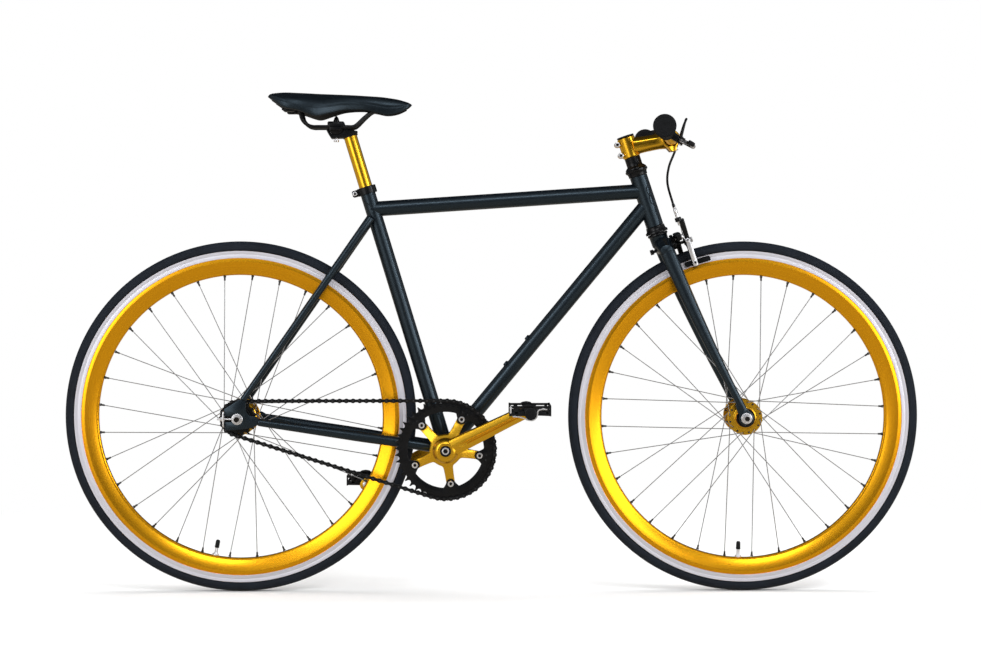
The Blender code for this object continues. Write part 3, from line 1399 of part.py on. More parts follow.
def make_brake_lever(axis, points):
    """Bracket clamped on the bar and the blade that turns in it."""
    start, outward, forward, pivot_axis = lever_frame(points)
    turn = Matrix((outward, forward, pivot_axis)).transposed().to_euler()
    frame = add_empty("lever_frame", start, parent=axis)
    frame.rotation_euler = turn
    pivot = Vector((0.0020, 0.0330, 0))
    bracket = rod(
        "brake_lever_bracket", (-0.0075, 0, 0), (0.0075, 0, 0), GRIP_BAR_DIAMETER / 2 + 0.0042, "black",
        parent=frame, sides=14,
    )
    body = block(
        "bracket_body", (-0.0035, 0.0225, 0), (0.0230, 0.0300, 2 * LEVER_THICKNESS + 0.0004), None,
        parent=frame, bevel=0.003,
    )
    fork_gap = block(
        "bracket_gap", (0.0070, 0.0400, 0), (0.0300, 0.0285, LEVER_THICKNESS + 2 * GAP), None, parent=frame
    )
    nose = rod(
        "bracket_nose", (-0.0280, 0.0290, 0), (-0.0100, 0.0290, 0), 0.0046, None, parent=frame, sides=12
    )
    bar_hole = rod(
        "bracket_bore", (-0.02, 0, 0), (0.02, 0, 0), GRIP_BAR_DIAMETER / 2 + GAP, None, parent=frame, sides=14
    )
    cable_way = rod(
        "bracket_cable_way", (-0.0400, 0.0290, 0), (0.0, 0.0290, 0), 0.0014, None, parent=frame, sides=8
    )
    pin = rod(
        "lever_pin", pivot - Z_AXIS * 0.0085, pivot + Z_AXIS * 0.0085, LEVER_PIN_RADIUS, None,
        parent=frame, sides=12,
    )
    join(bracket, body, nose)
    cut(bracket, bar_hole, fork_gap, cable_way)
    join(bracket, pin)

    lever_axis = add_empty("lever_axis", pivot, parent=frame)
    outline = (
        arc((0, 0), 0.0062, 90, 250, 6)
        + [(0.0040, -0.0050), (0.0140, 0.0030), (0.0260, 0.0160), (0.0440, 0.0212), (0.0680, 0.0200)]
        + arc((0.0945, 0.0225), 0.0060, -80, 90, 5)
        + [(0.0700, 0.0285), (0.0440, 0.0302), (0.0230, 0.0262), (0.0090, 0.0120)]
    )
    blade = plate("brake_lever", [outline], LEVER_THICKNESS, "black", parent=lever_axis)
    blade_hole = rod(
        "lever_hole", (0, 0, -0.02), (0, 0, 0.02), LEVER_PIN_RADIUS + GAP, None, parent=lever_axis, sides=12
    )
    cut(blade, blade_hole)
    return frame


def make_caliper(axis):
    """Dual-pivot side-pull brake on the front of the crown."""
    height = BRAKE_HEIGHT
    front = 0.0200
    pad_radius = RIM_OUTER_RADIUS - BRAKE_TRACK_HEIGHT / 2
    pad_ahead = FORK_RAKE + 0.0090
    pad_height = (pad_radius ** 2 - (pad_ahead - FORK_RAKE) ** 2) ** 0.5
    drop = height - pad_height
    side_pivot = Vector((0, SIDE_PIVOT_OUT, height + SIDE_PIVOT_UP))
    bolt = rod(
        "caliper_bolt", (-0.0230, 0, height), (0.0600, 0, height), BRAKE_BOLT_DIAMETER / 2, "steel",
        parent=axis, sides=12,
    )
    back_nut = rod(
        "caliper_back_nut", (-0.0240, 0, height), (-0.0175, 0, height), 0.0055, None, parent=axis, sides=6
    )
    seat = rod(
        "caliper_seat", (front + GAP, 0, height), (front + 0.0075, 0, height), 0.0085, None, parent=axis,
        sides=14,
    )
    bridge = loft(
        "caliper_bridge",
        [
            ellipse((front + 0.0045, 0, height), (0, 0.0060, -0.0060), (0.0030, 0, 0), 8),
            ellipse((front + 0.0045, side_pivot.y, side_pivot.z), (0, 0.0045, -0.0045), (0.0030, 0, 0), 8),
        ],
        None, parent=axis,
    )
    stud = rod(
        "caliper_stud", side_pivot + Vector((front + 0.0030, 0, 0)),
        side_pivot + Vector((front + 0.0240, 0, 0)), BRAKE_BOLT_DIAMETER / 2, None, parent=axis, sides=12,
    )
    nut = rod("caliper_nut", (0.0555, 0, height), (0.0600, 0, height), 0.0055, None, parent=axis, sides=6)
    join(bolt, back_nut, seat, bridge, stud, nut)

    clearance = PAD_TRAVEL + RIM_WIDTH / 2
    pad_out = clearance + PAD_HOLDER_WIDTH
    inside = pad_out + 0.0004
    sole = drop + 0.0080
    right_axis = add_empty("caliper_right_axis", (0, 0, height), parent=axis)
    left_axis = add_empty("caliper_left_axis", side_pivot, parent=axis)
    arm_bore = BRAKE_BOLT_DIAMETER / 2 + GAP / 2

    right_outline = (
        arc((0, 0), 0.0085, -60, 60, 5)
        + [(-0.0140, 0.0190), (-0.0240, 0.0350), (-0.0250, 0.0440), (-CABLE_OFFSET - 0.0050, 0.0440)]
        + [(-CABLE_OFFSET - 0.0050, 0.0340), (-0.0260, 0.0080), (-0.0300, -0.0100), (-0.0310, -sole)]
        + [(-inside, -sole), (-inside, -0.0250), (-0.0150, -0.0090)]
    )
    right_arm = plate(
        "caliper_arm_right", [right_outline], RIGHT_ARM_THICKNESS, "steel", parent=right_axis,
        location=(RIGHT_ARM_AHEAD, 0, 0), rotation=(pi / 2, 0, pi / 2),
    )
    right_hole = rod(
        "right_arm_hole", (0.02, 0, 0), (0.07, 0, 0), arm_bore, None, parent=right_axis, sides=12
    )
    cable_line = Vector((CABLE_AHEAD, -CABLE_OFFSET, 0))
    barrel = rod(
        "cable_adjuster", cable_line + Z_AXIS * 0.0360, cable_line + Z_AXIS * BARREL_TOP, 0.0034, None,
        parent=right_axis, sides=10,
    )
    barrel_nut = rod(
        "adjuster_nut", cable_line + Z_AXIS * 0.0400, cable_line + Z_AXIS * 0.0480, 0.0062, None,
        parent=right_axis, sides=10,
    )
    barrel_bore = rod(
        "adjuster_bore", cable_line + Z_AXIS * 0.0100, cable_line + Z_AXIS * (BARREL_TOP + 0.01), 0.0018,
        None, parent=right_axis, sides=8,
    )
    join(right_arm, barrel, barrel_nut)
    cut(right_arm, right_hole, barrel_bore)

    across = inside - SIDE_PIVOT_OUT
    left_sole = SIDE_PIVOT_UP + sole
    left_outline = (
        [(-0.0600, -0.0040), (-0.0520, -0.0090), (-0.0320, -0.0040), (-0.0100, -0.0060), (-0.0060, -0.0180)]
        + [(across, -0.0330), (across, -left_sole), (0.0090, -left_sole), (0.0090, -0.0200), (0.0085, 0.0030)]
        + arc((0, 0), 0.0078, 40, 120, 4)
        + [(-0.0280, 0.0080), (-0.0500, 0.0070), (-0.0590, 0.0050)]
    )
    left_arm = plate(
        "caliper_arm_left", [left_outline], LEFT_ARM_THICKNESS, "steel", parent=left_axis,
        location=(LEFT_ARM_AHEAD, 0, 0), rotation=(pi / 2, 0, pi / 2),
    )
    left_foot = block(
        "left_arm_foot", (0.0410, (across + 0.0092) / 2, -SIDE_PIVOT_UP - drop + 0.0020),
        (0.0240, 0.0090 - across, 0.0200), None, parent=left_axis,
    )
    anchor_line = -SIDE_PIVOT_OUT - CABLE_OFFSET
    anchor = rod(
        "cable_anchor", (0.0300, anchor_line, -0.0020),
        (CABLE_AHEAD - CABLE_DIAMETER / 2 - GAP, anchor_line, -0.0020), 0.0045, None, parent=left_axis,
        sides=8,
    )
    left_hole = rod("left_arm_hole", (0.02, 0, 0), (0.05, 0, 0), arm_bore, None, parent=left_axis, sides=12)
    join(left_arm, left_foot, anchor)
    cut(left_arm, left_hole)

    tilt = atan2(pad_ahead - FORK_RAKE, pad_height)
    to_side_pivot = Vector((0, SIDE_PIVOT_OUT, SIDE_PIVOT_UP))
    for side, label, pad_axis, shift in (
        (-1, "right", right_axis, Vector((0, 0, 0))), (1, "left", left_axis, to_side_pivot),
    ):
        middle = side * (clearance + PAD_HOLDER_WIDTH / 2)
        block(
            f"brake_pad_{label}", Vector((pad_ahead, middle, -drop)) - shift,
            (PAD_LENGTH, PAD_HOLDER_WIDTH, PAD_HEIGHT), "rubber", parent=pad_axis, rotation=(0, tilt, 0),
            bevel=0.0012,
        )


def make_cable(axis, lever):
    """Outer housing from the lever's nose to the adjuster, and the bare wire below it."""
    bpy.context.view_layer.update()
    nose = lever.matrix_world @ Vector((-0.0280 - GAP, 0.0290, 0))
    out_way = (lever.matrix_world.to_3x3() @ Vector((-1, 0, 0))).normalized()
    barrel_top = head_point(BRAKE_HEIGHT + BARREL_TOP + GAP, CABLE_AHEAD, -CABLE_OFFSET)
    route = (
        [nose, nose + out_way * 0.010]
        + [head_point(STEM_TOP + rise, ahead, side) for ahead, side, rise in HOUSING_ROUTE]
        + [barrel_top + STEER_UP * 0.012, barrel_top]
    )
    bar_curve(
        "brake_cable_housing", smooth_path(route, HOUSING_DIAMETER * 3), HOUSING_DIAMETER / 2, "plastic",
        resolution=2,
    )
    cable_line = Vector((CABLE_AHEAD, -CABLE_OFFSET, BRAKE_HEIGHT))
    rod(
        "brake_inner_cable", cable_line + Z_AXIS * 0.0020, cable_line + Z_AXIS * 0.0520, CABLE_DIAMETER / 2,
        "steel", parent=axis, sides=6,
    )


# Saddle and seatpost


def make_seatpost():
    """Post in the seat tube, with the clamp head on its square-cut end."""
    top = SEAT_TUBE_LENGTH + SEATPOST_ABOVE_TUBE
    rod(
        "seatpost", seat_point(top - SEATPOST_LENGTH), seat_point(top), SEATPOST_DIAMETER / 2, "gold",
        sides=16,
    )
    rise = Vector((sin(SEAT_ANGLE), 0, cos(SEAT_ANGLE))) * (SEATPOST_DIAMETER / 2 + GAP)
    foot = seat_point(top + GAP)
    rear, fore = foot - rise, foot + rise
    x, z = SADDLE_CLAMP.x, SADDLE_CLAMP.z
    outline = [(rear.x, rear.z), (fore.x, fore.z), (fore.x + 0.0005, fore.z + 0.0030)]
    outline += [(x + 0.0210, z - 0.0010), (x + 0.0165, z)]
    outline += arc((x, z), CRADLE_RADIUS, -8, -172, 9)
    outline += [(x - 0.0170, z - 0.0010), (x - 0.0180, z - 0.0060), (x - 0.0090, z - 0.0215)]
    head = plate("seatpost_head", [outline], HEAD_THICKNESS, "black", rotation=(pi / 2, 0, 0))
    slot = block("head_bolt_slot", (x, 0, z - 0.018), (0.0170, 0.0080, 0.0300), None)
    cut(head, slot)


def make_saddle_clamp(parent):
    """Rail cradle that rocks in the head, and the yoke that the bolt pulls down on it."""
    width = RAIL_SPACING + 0.0120
    cradle = plate(
        "saddle_clamp_cradle", [arc((0, 0), CRADLE_RADIUS - GAP, -12, -168, 9)], HEAD_THICKNESS - 0.0020,
        "black", parent=parent, rotation=(pi / 2, 0, 0),
    )
    wings = block(
        "cradle_wings", (0, 0, -0.0052), (1.6 * CRADLE_RADIUS, width, 0.0040), None, parent=parent
    )
    bolt_hole = rod("cradle_hole", (0, 0, -0.02), (0, 0, 0.01), 0.0036, None, parent=parent, sides=10)
    join(cradle, wings)
    yoke = block(
        "saddle_clamp_top", (0, 0, 0.0075), (YOKE_LENGTH, width, 0.0130), "black", parent=parent,
        bevel=0.0015,
    )
    bolt = rod("clamp_bolt_shank", (0, 0, -0.0265), (0, 0, 0.0040), 0.0030, None, parent=parent, sides=10)
    bolt_head = rod(
        "clamp_bolt_head", (0, 0, -0.0275), (0, 0, -0.0240), 0.0050, None, parent=parent, sides=10
    )
    nut = rod(
        "clamp_bolt_nut", (0, 0, 0.0130), (0, 0, 0.0220), 0.0055, None, parent=parent, sides=10,
        end_radius=0.0015,
    )
    cut(cradle, bolt_hole)
    for side in (-1, 1):
        y = side * RAIL_SPACING / 2
        rail_groove = rod(
            f"rail_groove_{side}", (-0.03, y, 0), (0.03, y, 0), RAIL_DIAMETER / 2 + GAP, None,
            parent=parent, sides=12,
        )
        cut(cradle, rail_groove)
        cut(yoke, rail_groove)
    join(yoke, bolt, bolt_head, nut)


def saddle_stations():
    """Stations from tail to nose: distance ahead of the tail, half width, crown height, edge height.

    Heights are from the rails.
    """
    return (
        (0.000, 0.0200, 0.0600, 0.0560), (0.010, 0.0500, 0.0625, 0.0500), (0.034, 0.0680, 0.0645, 0.0350),
        (0.060, 0.0710, 0.0637, 0.0300), (0.084, 0.0665, 0.0630, 0.0220), (0.098, 0.0600, 0.0625, 0.0200),
        (0.120, 0.0470, 0.0620, 0.0255), (0.146, 0.0345, 0.0615, 0.0320), (0.180, 0.0245, 0.0605, 0.0333),
        (0.205, 0.0205, 0.0588, 0.0290), (0.225, 0.0190, 0.0562, 0.0252), (0.245, 0.0178, 0.0530, 0.0280),
        (0.262, 0.0145, 0.0483, 0.0355), (0.272, 0.0070, 0.0440, 0.0415),
    )


def saddle_ring(station, profile, lift):
    """Points of one cross-section; profile gives shares of the half width and of the height."""
    ahead, half, crown, edge = station
    x = SADDLE_TAIL + ahead * SADDLE_LENGTH / 0.272
    half *= SADDLE_WIDTH / 0.142
    return [Vector((x, half * across, edge + (crown - edge) * up + lift)) for across, up in profile]


def make_saddle(parent):
    """Padded top over a moulded base, on two rails that meet under the nose."""
    outer = [(0.0, 1.0), (0.42, 0.98), (0.78, 0.82), (0.98, 0.42), (0.97, 0.0)]
    under = [(0.84, 0.04), (0.74, 0.30), (0.45, 0.50), (0.0, 0.56)]
    stations = saddle_stations()
    pad_profile = outer + under + [(-across, up) for across, up in reversed((outer + under)[1:-1])]
    loft("saddle_pad", [saddle_ring(station, pad_profile, 0) for station in stations], "cover", parent=parent)

    top = [(0.0, 0.56), (0.45, 0.50), (0.74, 0.30)]
    base_rings = []
    for station in stations[1:-1]:
        upper = saddle_ring(station, top, -SADDLE_BASE_GAP)
        lower = saddle_ring(
            station, [(across * 0.96, up) for across, up in reversed(top)], -SADDLE_BASE_GAP - 0.0028
        )
        half_ring = upper + lower
        base_rings.append(half_ring + [Vector((p.x, -p.y, p.z)) for p in reversed(half_ring[1:-1])])
    base = loft("saddle_base", base_rings, "plastic", parent=parent)
    end = Vector((SADDLE_TAIL + 0.0540, 0.0320, 0.0335))
    for side in (-1, 1):
        socket = block(
            f"rail_socket_{side}", (end.x - 0.0118, side * end.y, end.z + 0.0020),
            (0.0200, 0.0140, 0.0160), None, parent=parent, bevel=0.002,
        )
        join(base, socket)

    out = RAIL_SPACING / 2
    half_way = [
        (end.x, end.y, end.z), (end.x + 0.0065, end.y - 0.0006, end.z - 0.0018), (-0.0620, 0.0285, 0.0130),
        (-0.0520, 0.0245, 0.0030), (-0.0420, out, 0.0), (-0.0320, out, 0.0), (0.0160, out, 0.0),
        (0.0320, out, 0.0), (0.0400, 0.0210, 0.0040), (0.0550, 0.0158, 0.0185), (0.0690, 0.0110, 0.0290),
        (0.0850, 0.0080, 0.0314), (0.0980, 0.0045, 0.0322),
    ]
    nose = Vector((0.1010, 0, 0.0324))
    pocket = block(
        "nose_pocket", nose + Vector((RAIL_DIAMETER / 2 + GAP + 0.0040, 0, 0.0010)), (0.0080, 0.0160, 0.0130),
        None, parent=parent, bevel=0.002,
    )
    join(base, pocket)
    right = [Vector((x, -y, z)) for x, y, z in half_way]
    left = [Vector(point) for point in reversed(half_way)]
    bar_curve(
        "saddle_rails", smooth_path(right + [nose] + left, 0.016), RAIL_DIAMETER / 2, "black", parent=parent,
        resolution=1,
    )


def main():
    clear_scene()
    new_collection(PARTS)
    new_collection(CUTTERS)
    MATERIALS.update(make_materials())

    steering = add_empty("steering_axis", STEER_FOOT, STEER_UP, STEER_AHEAD)
    front_axis = add_empty("front_wheel_axis", FRONT_CENTRE)
    rear_axis = add_empty("rear_wheel_axis", REAR_CENTRE)
    crank_axis = add_empty("crank_axis", BB_CENTRE)
    crank_axis.rotation_euler = (0, -CRANK_ANGLE, 0)
    left_crank = add_empty("left_crank_axis", (0, 0, 0), parent=crank_axis)
    left_crank.rotation_euler = (0, pi, 0)

    make_head_tube()
    seat_cutter, shell_cutter = make_main_tubes()
    make_rear_triangle(seat_cutter, shell_cutter)
    make_seat_clamp()
    make_seatpost()
    saddle_axis = add_empty("saddle_clamp_axis", SADDLE_CLAMP)
    make_saddle_clamp(saddle_axis)
    make_saddle(saddle_axis)
    make_headset()
    make_bottom_bracket()
    make_axle("rear_axle", (0, 0, 0), REAR_AXLE_DIAMETER, REAR_SPACING, TRACK_END_THICKNESS, rear_axis)
    make_axle("front_axle", (0, 0, 0), FRONT_AXLE_DIAMETER, FRONT_SPACING, FORK_TIP_THICKNESS, front_axis)
    make_tensioners(rear_axis)
    make_wheels(front_axis, rear_axis)
    make_chain()
    make_cog(rear_axis)
    make_cranks(crank_axis, left_crank)
    make_chainring(crank_axis)
    make_spindle(crank_axis)
    for label, side, crank in (("right", -1, crank_axis), ("left", 1, left_crank)):
        turn = add_empty(f"pedal_axis_{label}", (CRANK_LENGTH, 0, 0), parent=crank)
        turn.rotation_euler = (0, CRANK_ANGLE if side < 0 else CRANK_ANGLE - pi, 0)
        make_pedal(label, side, crank, turn)
    make_fork(steering)
    bar_centre = make_stem(steering)
    points = make_handlebar(steering, bar_centre)
    lever = make_brake_lever(steering, points)
    make_caliper(steering)
    make_cable(steering, lever)


MATERIALS = {}

if __name__ == "__main__":
    main()
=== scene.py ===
"""Looks of a single-speed bicycle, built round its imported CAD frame.

Every new piece is a surface worked out with numpy, in metres: +X points ahead, +Y to the rider's
left and +Z up. A piece is made where it belongs, so each object stays at the origin.
"""
import json

import bpy
import numpy as np
from bpy.props import FloatProperty, FloatVectorProperty, PointerProperty
from mathutils import Matrix, Vector


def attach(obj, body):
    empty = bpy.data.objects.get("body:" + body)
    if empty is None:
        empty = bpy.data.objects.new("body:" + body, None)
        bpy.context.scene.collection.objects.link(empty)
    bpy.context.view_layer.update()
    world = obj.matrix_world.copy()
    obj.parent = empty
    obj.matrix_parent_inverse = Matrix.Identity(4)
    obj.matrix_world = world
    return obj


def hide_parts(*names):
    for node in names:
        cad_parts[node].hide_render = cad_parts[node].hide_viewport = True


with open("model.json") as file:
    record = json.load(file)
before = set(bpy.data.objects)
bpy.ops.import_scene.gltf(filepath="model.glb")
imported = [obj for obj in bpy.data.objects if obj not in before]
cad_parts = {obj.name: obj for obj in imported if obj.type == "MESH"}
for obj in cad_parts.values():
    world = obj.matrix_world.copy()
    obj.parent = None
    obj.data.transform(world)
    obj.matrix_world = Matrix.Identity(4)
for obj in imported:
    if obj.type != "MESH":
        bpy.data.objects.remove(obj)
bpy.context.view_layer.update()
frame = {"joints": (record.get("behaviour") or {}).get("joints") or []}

bl_info = {
    "name": "Single-speed bicycle",
    "version": (1, 0, 0),
    "blender": (4, 5, 0),
    "location": "3D View > Sidebar > Bicycle",
    "description": "Builds the visible pieces and finishes of a single-speed bicycle",
    "category": "Add Mesh",
}

TAU = 2 * np.pi
AHEAD, LEFT, UP = np.eye(3)

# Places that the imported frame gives, in metres
JOINTS = {joint["name"]: joint for joint in frame["joints"]}
BOTTOM_BRACKET = np.array(JOINTS["crank_spin"]["pos_m"])
REAR_HUB = np.array(JOINTS["rear_wheel_spin"]["pos_m"])
FRONT_HUB = np.array(JOINTS["front_wheel_spin"]["pos_m"])
STEER_FOOT = np.array(JOINTS["steering"]["pos_m"])
STEER_UP = np.array(JOINTS["steering"]["axis"]) / np.linalg.norm(JOINTS["steering"]["axis"])
STEER_AHEAD = np.array([STEER_UP[2], 0.0, -STEER_UP[0]])
SEAT_UP = np.array(JOINTS["seatpost_slide"]["axis"]) / np.linalg.norm(JOINTS["seatpost_slide"]["axis"])
SEAT_AHEAD = np.array([SEAT_UP[2], 0.0, -SEAT_UP[0]])
SADDLE_CLAMP = np.array(JOINTS["saddle_tilt"]["pos_m"])
RIGHT_PEDAL = np.array(JOINTS["pedal_right_spin"]["pos_m"]) * [1, 0, 1]
LEFT_PEDAL = np.array(JOINTS["pedal_left_spin"]["pos_m"]) * [1, 0, 1]

# Heights along the steering axis, from its foot
CROWN_RACE, HEAD_BASE, HEAD_TOP = 0.384, 0.3978, 0.4978
SPACER_BASE, STEM_BASE, STEM_TOP = 0.5119, 0.5362, 0.5752
BRAKE_HEIGHT, FORK_RAKE = 0.352, 0.045
SEAT_TUBE_TOP, SEATPOST_TOP, STAY_CLUSTER = 0.518, 0.62, 0.476

# Half widths of the bottom bracket shell, the track ends, the fork's tips and the saddle rails
SHELL_HALF, TRACK_END, FORK_TIP, RAIL_HALF = 0.034, 0.063, 0.053, 0.022

# The bare brake cable's line, ahead and left of the steering axis
CABLE_AHEAD, CABLE_LEFT = 0.043, -0.03

# Wheels and drive
TYRE_RADIUS, RIM_RADIUS = 0.334, 0.316
CHAIN_PITCH, CHAIN_LINE, RING_TEETH, COG_TEETH, CHAIN_LINKS = 0.0127, 0.044, 46, 16, 94
CRANK_LENGTH, CRANK_ANGLE, BOLT_RADIUS = 0.175, np.radians(26.4), 0.065
FLANGE, SPOKE_CIRCLE, SPOKES = 0.033, 0.029, 32


def unit(vector):
    """The vector divided by its length."""
    vector = np.asarray(vector, float)
    return vector / np.linalg.norm(vector, axis=-1, keepdims=True)


def mm(*rows):
    """Points given in millimetres, as a list in metres."""
    return [tuple(value / 1000 for value in row) for row in rows]


def smooth(t):
    """Rises from 0 to 1 with level ends: 3 t squared less 2 t cubed."""
    t = np.clip(t, 0, 1)
    return t * t * (3 - 2 * t)


class Place:
    """A local frame. A point (a, b, c) is origin + a * x + b * y + c * z."""

    def __init__(self, origin, x, y, z):
        self.origin = np.asarray(origin, float)
        self.axes = np.array([x, y, z], float)

    def __call__(self, points):
        return self.origin + np.asarray(points, float) @ self.axes

    def way(self, vector):
        """A direction given on the local axes."""
        return np.asarray(vector, float) @ self.axes


STEER = Place(STEER_FOOT, STEER_AHEAD, LEFT, STEER_UP)
SEAT = Place(BOTTOM_BRACKET, SEAT_AHEAD, LEFT, SEAT_UP)
SIDES = ((-1, "right"), (1, "left"))


def square_axes(axis):
    """Two unit vectors square to the axis and to each other."""
    axis = unit(axis)
    other = LEFT if abs(axis[1]) < 0.9 else UP
    first = unit(np.cross(other, axis))
    return first, np.cross(axis, first)


def way_at(angle):
    """Cosine and sine of angles."""
    return np.stack([np.cos(angle), np.sin(angle)], -1)


def circle(count):
    """Unit circle: cosine and sine of equal angles."""
    return way_at(np.arange(count) * TAU / count)


def ring_about(axis, count):
    """Unit circle square to an axis."""
    return circle(count) @ np.array(square_axes(axis))


def arc(centre, radius, start, end, count):
    """Arc: centre + radius * (cosine, sine) from one angle to another, in degrees."""
    angle = np.radians(np.linspace(start, end, count))
    return np.asarray(centre, float) + radius * way_at(angle)


def soften(points, cut, steps, closed=True):
    """Rounds corners: each gives way to a parabola from a cut before it to a cut after it."""
    p = np.asarray(points, float)
    back, on = np.roll(p, 1, 0) - p, np.roll(p, -1, 0) - p
    back_length = np.linalg.norm(back, axis=1) + 1e-12
    on_length = np.linalg.norm(on, axis=1) + 1e-12
    reach = np.minimum(cut, 0.45 * np.minimum(back_length, on_length))[:, None]
    start = p + back * reach / back_length[:, None]
    end = p + on * reach / on_length[:, None]
    t = np.linspace(0, 1, steps)[None, :, None]
    bent = (1 - t) ** 2 * start[:, None] + 2 * t * (1 - t) * p[:, None] + t ** 2 * end[:, None]
    if closed:
        return bent.reshape(-1, p.shape[1])
    return np.concatenate([p[:1], bent[1:-1].reshape(-1, p.shape[1]), p[-1:]])


def spline(points, count):
    """Smooth curve through points: Catmull-Rom cubics, read at equal steps of length."""
    p = np.asarray(points, float)
    p = np.concatenate([[2 * p[0] - p[1]], p, [2 * p[-1] - p[-2]]])
    before, start, end, after = (p[k:len(p) - 3 + k, None] for k in range(4))
    t = np.linspace(0, 1, 33)[None, :-1, None]
    cubic = (
        2 * start + (end - before) * t + (2 * before - 5 * start + 4 * end - after) * t ** 2
        + (3 * start - before - 3 * end + after) * t ** 3
    ) / 2
    return even(np.concatenate([cubic.reshape(-1, p.shape[1]), p[-2:-1]]), count)


def even(path, count):
    """The path read again at equal steps of its length."""
    path = np.asarray(path, float)
    length = np.concatenate([[0], np.cumsum(np.linalg.norm(np.diff(path, axis=0), axis=1))])
    at = np.linspace(0, length[-1], count)
    return np.stack([np.interp(at, length, column) for column in path.T], -1)


def turned(profile, centre, axis, count):
    """Solid of revolution: centre + height * axis + radius * (cosine, sine) square to it."""
    radius, height = np.asarray(profile, float).T[:2, :, None, None]
    return np.asarray(centre) + height * unit(axis) + radius * ring_about(axis, count)


def wavy_rings(rows, centre, axis, wave):
    """Rings about an axis. A row gives a radius, a height, and the share of the wave added to the radius."""
    ring, basis = circle(len(wave)), np.array(square_axes(axis))
    return np.array([centre + axis * h + ring * (r + share * wave)[:, None] @ basis for r, h, share in rows])


def sleeve(inner, outer, base, top, edge):
    """Section of a sleeve by radius and height, its outer rims cut off by an edge."""
    return [
        (inner, base), (outer - edge, base), (outer, base + edge), (outer, top - edge), (outer - edge, top),
        (inner, top),
    ]


def mirrored(half):
    """Section by radius and height, followed by its own mirror image below height zero."""
    half = np.array(half)
    return np.concatenate([half, half[-2::-1] * [1, -1]])


def tube(path, radius, count, across):
    """Circle carried along a path, square to it. It starts on the side that the way across points to."""
    path = np.asarray(path, float)
    tangent = unit(np.gradient(path, axis=0))
    over = unit(np.cross(tangent, across))
    side = np.cross(over, tangent)
    radius = np.broadcast_to(radius, len(path))[:, None, None]
    c, s = circle(count).T
    return path[:, None] + radius * (c[None, :, None] * side[:, None] + s[None, :, None] * over[:, None])


def rounded_ends(path, radius, reach, steps):
    """Path and radii with a dome at each end: the radius falls as a quarter circle."""
    path = np.asarray(path, float)
    radius = np.broadcast_to(radius, len(path)).astype(float)
    t = np.sin(np.linspace(0, np.pi / 2 * 0.96, steps))
    fall = np.sqrt(1 - t ** 2)
    start_way, end_way = unit(path[0] - path[1]), unit(path[-1] - path[-2])
    head = path[0] - start_way * radius[0] * reach
    tail = path[-1] - end_way * radius[-1] * reach
    start = head + start_way * (t[::-1, None] * radius[0] * reach)
    end = tail + end_way * (t[:, None] * radius[-1] * reach)
    inner = slice(1, -1)
    return (
        np.concatenate([start, path[inner], end]),
        np.concatenate([fall[::-1] * radius[0], radius[inner], fall * radius[-1]]),
    )


def inset(outline, amount):
    """Closed outline moved inwards along its own normals."""
    p = np.asarray(outline, float)
    along = unit(np.roll(p, -1, 0) - np.roll(p, 1, 0) + 1e-12)
    normal = np.stack([along[:, 1], -along[:, 0]], -1)
    area = np.sum(p[:, 0] * np.roll(p[:, 1], -1) - np.roll(p[:, 0], -1) * p[:, 1])
    return p - normal * amount * np.sign(area)


def swept(section, start, end, count):
    """Section by radius and height, turned about the local third axis from one angle to another."""
    angle = np.radians(np.linspace(start, end, count))[:, None]
    radius, height = np.asarray(section, float).T
    return np.stack(
        [radius * np.cos(angle), radius * np.sin(angle), np.broadcast_to(height, (count, len(height)))], -1,
    )


def level(place, ring, height):
    """Flat ring at a height of a local frame."""
    return place(np.column_stack([ring, np.full(len(ring), height)]))


def slab(outline, low, high, edge, place, steps=3):
    """Outline raised from low to high, its rims rounded: inset and height follow a quarter circle."""
    outline = np.asarray(outline, float)
    turn = np.linspace(0, np.pi / 2, steps)
    rows = [(edge * (1 - np.sin(t)), low + edge * (1 - np.cos(t))) for t in turn]
    rows += [(edge * (1 - np.cos(t)), high - edge * (1 - np.sin(t))) for t in turn]
    return np.array([level(place, inset(outline, amount), height) for amount, height in rows])


def hexagon(across, count):
    """Hexagon by angle: half the width over flats, over the cosine of the angle from the flat."""
    angle = np.arange(count) * TAU / count
    radius = across / 2 / np.cos(np.mod(angle, TAU / 6) - TAU / 12)
    return radius[:, None] * way_at(angle)


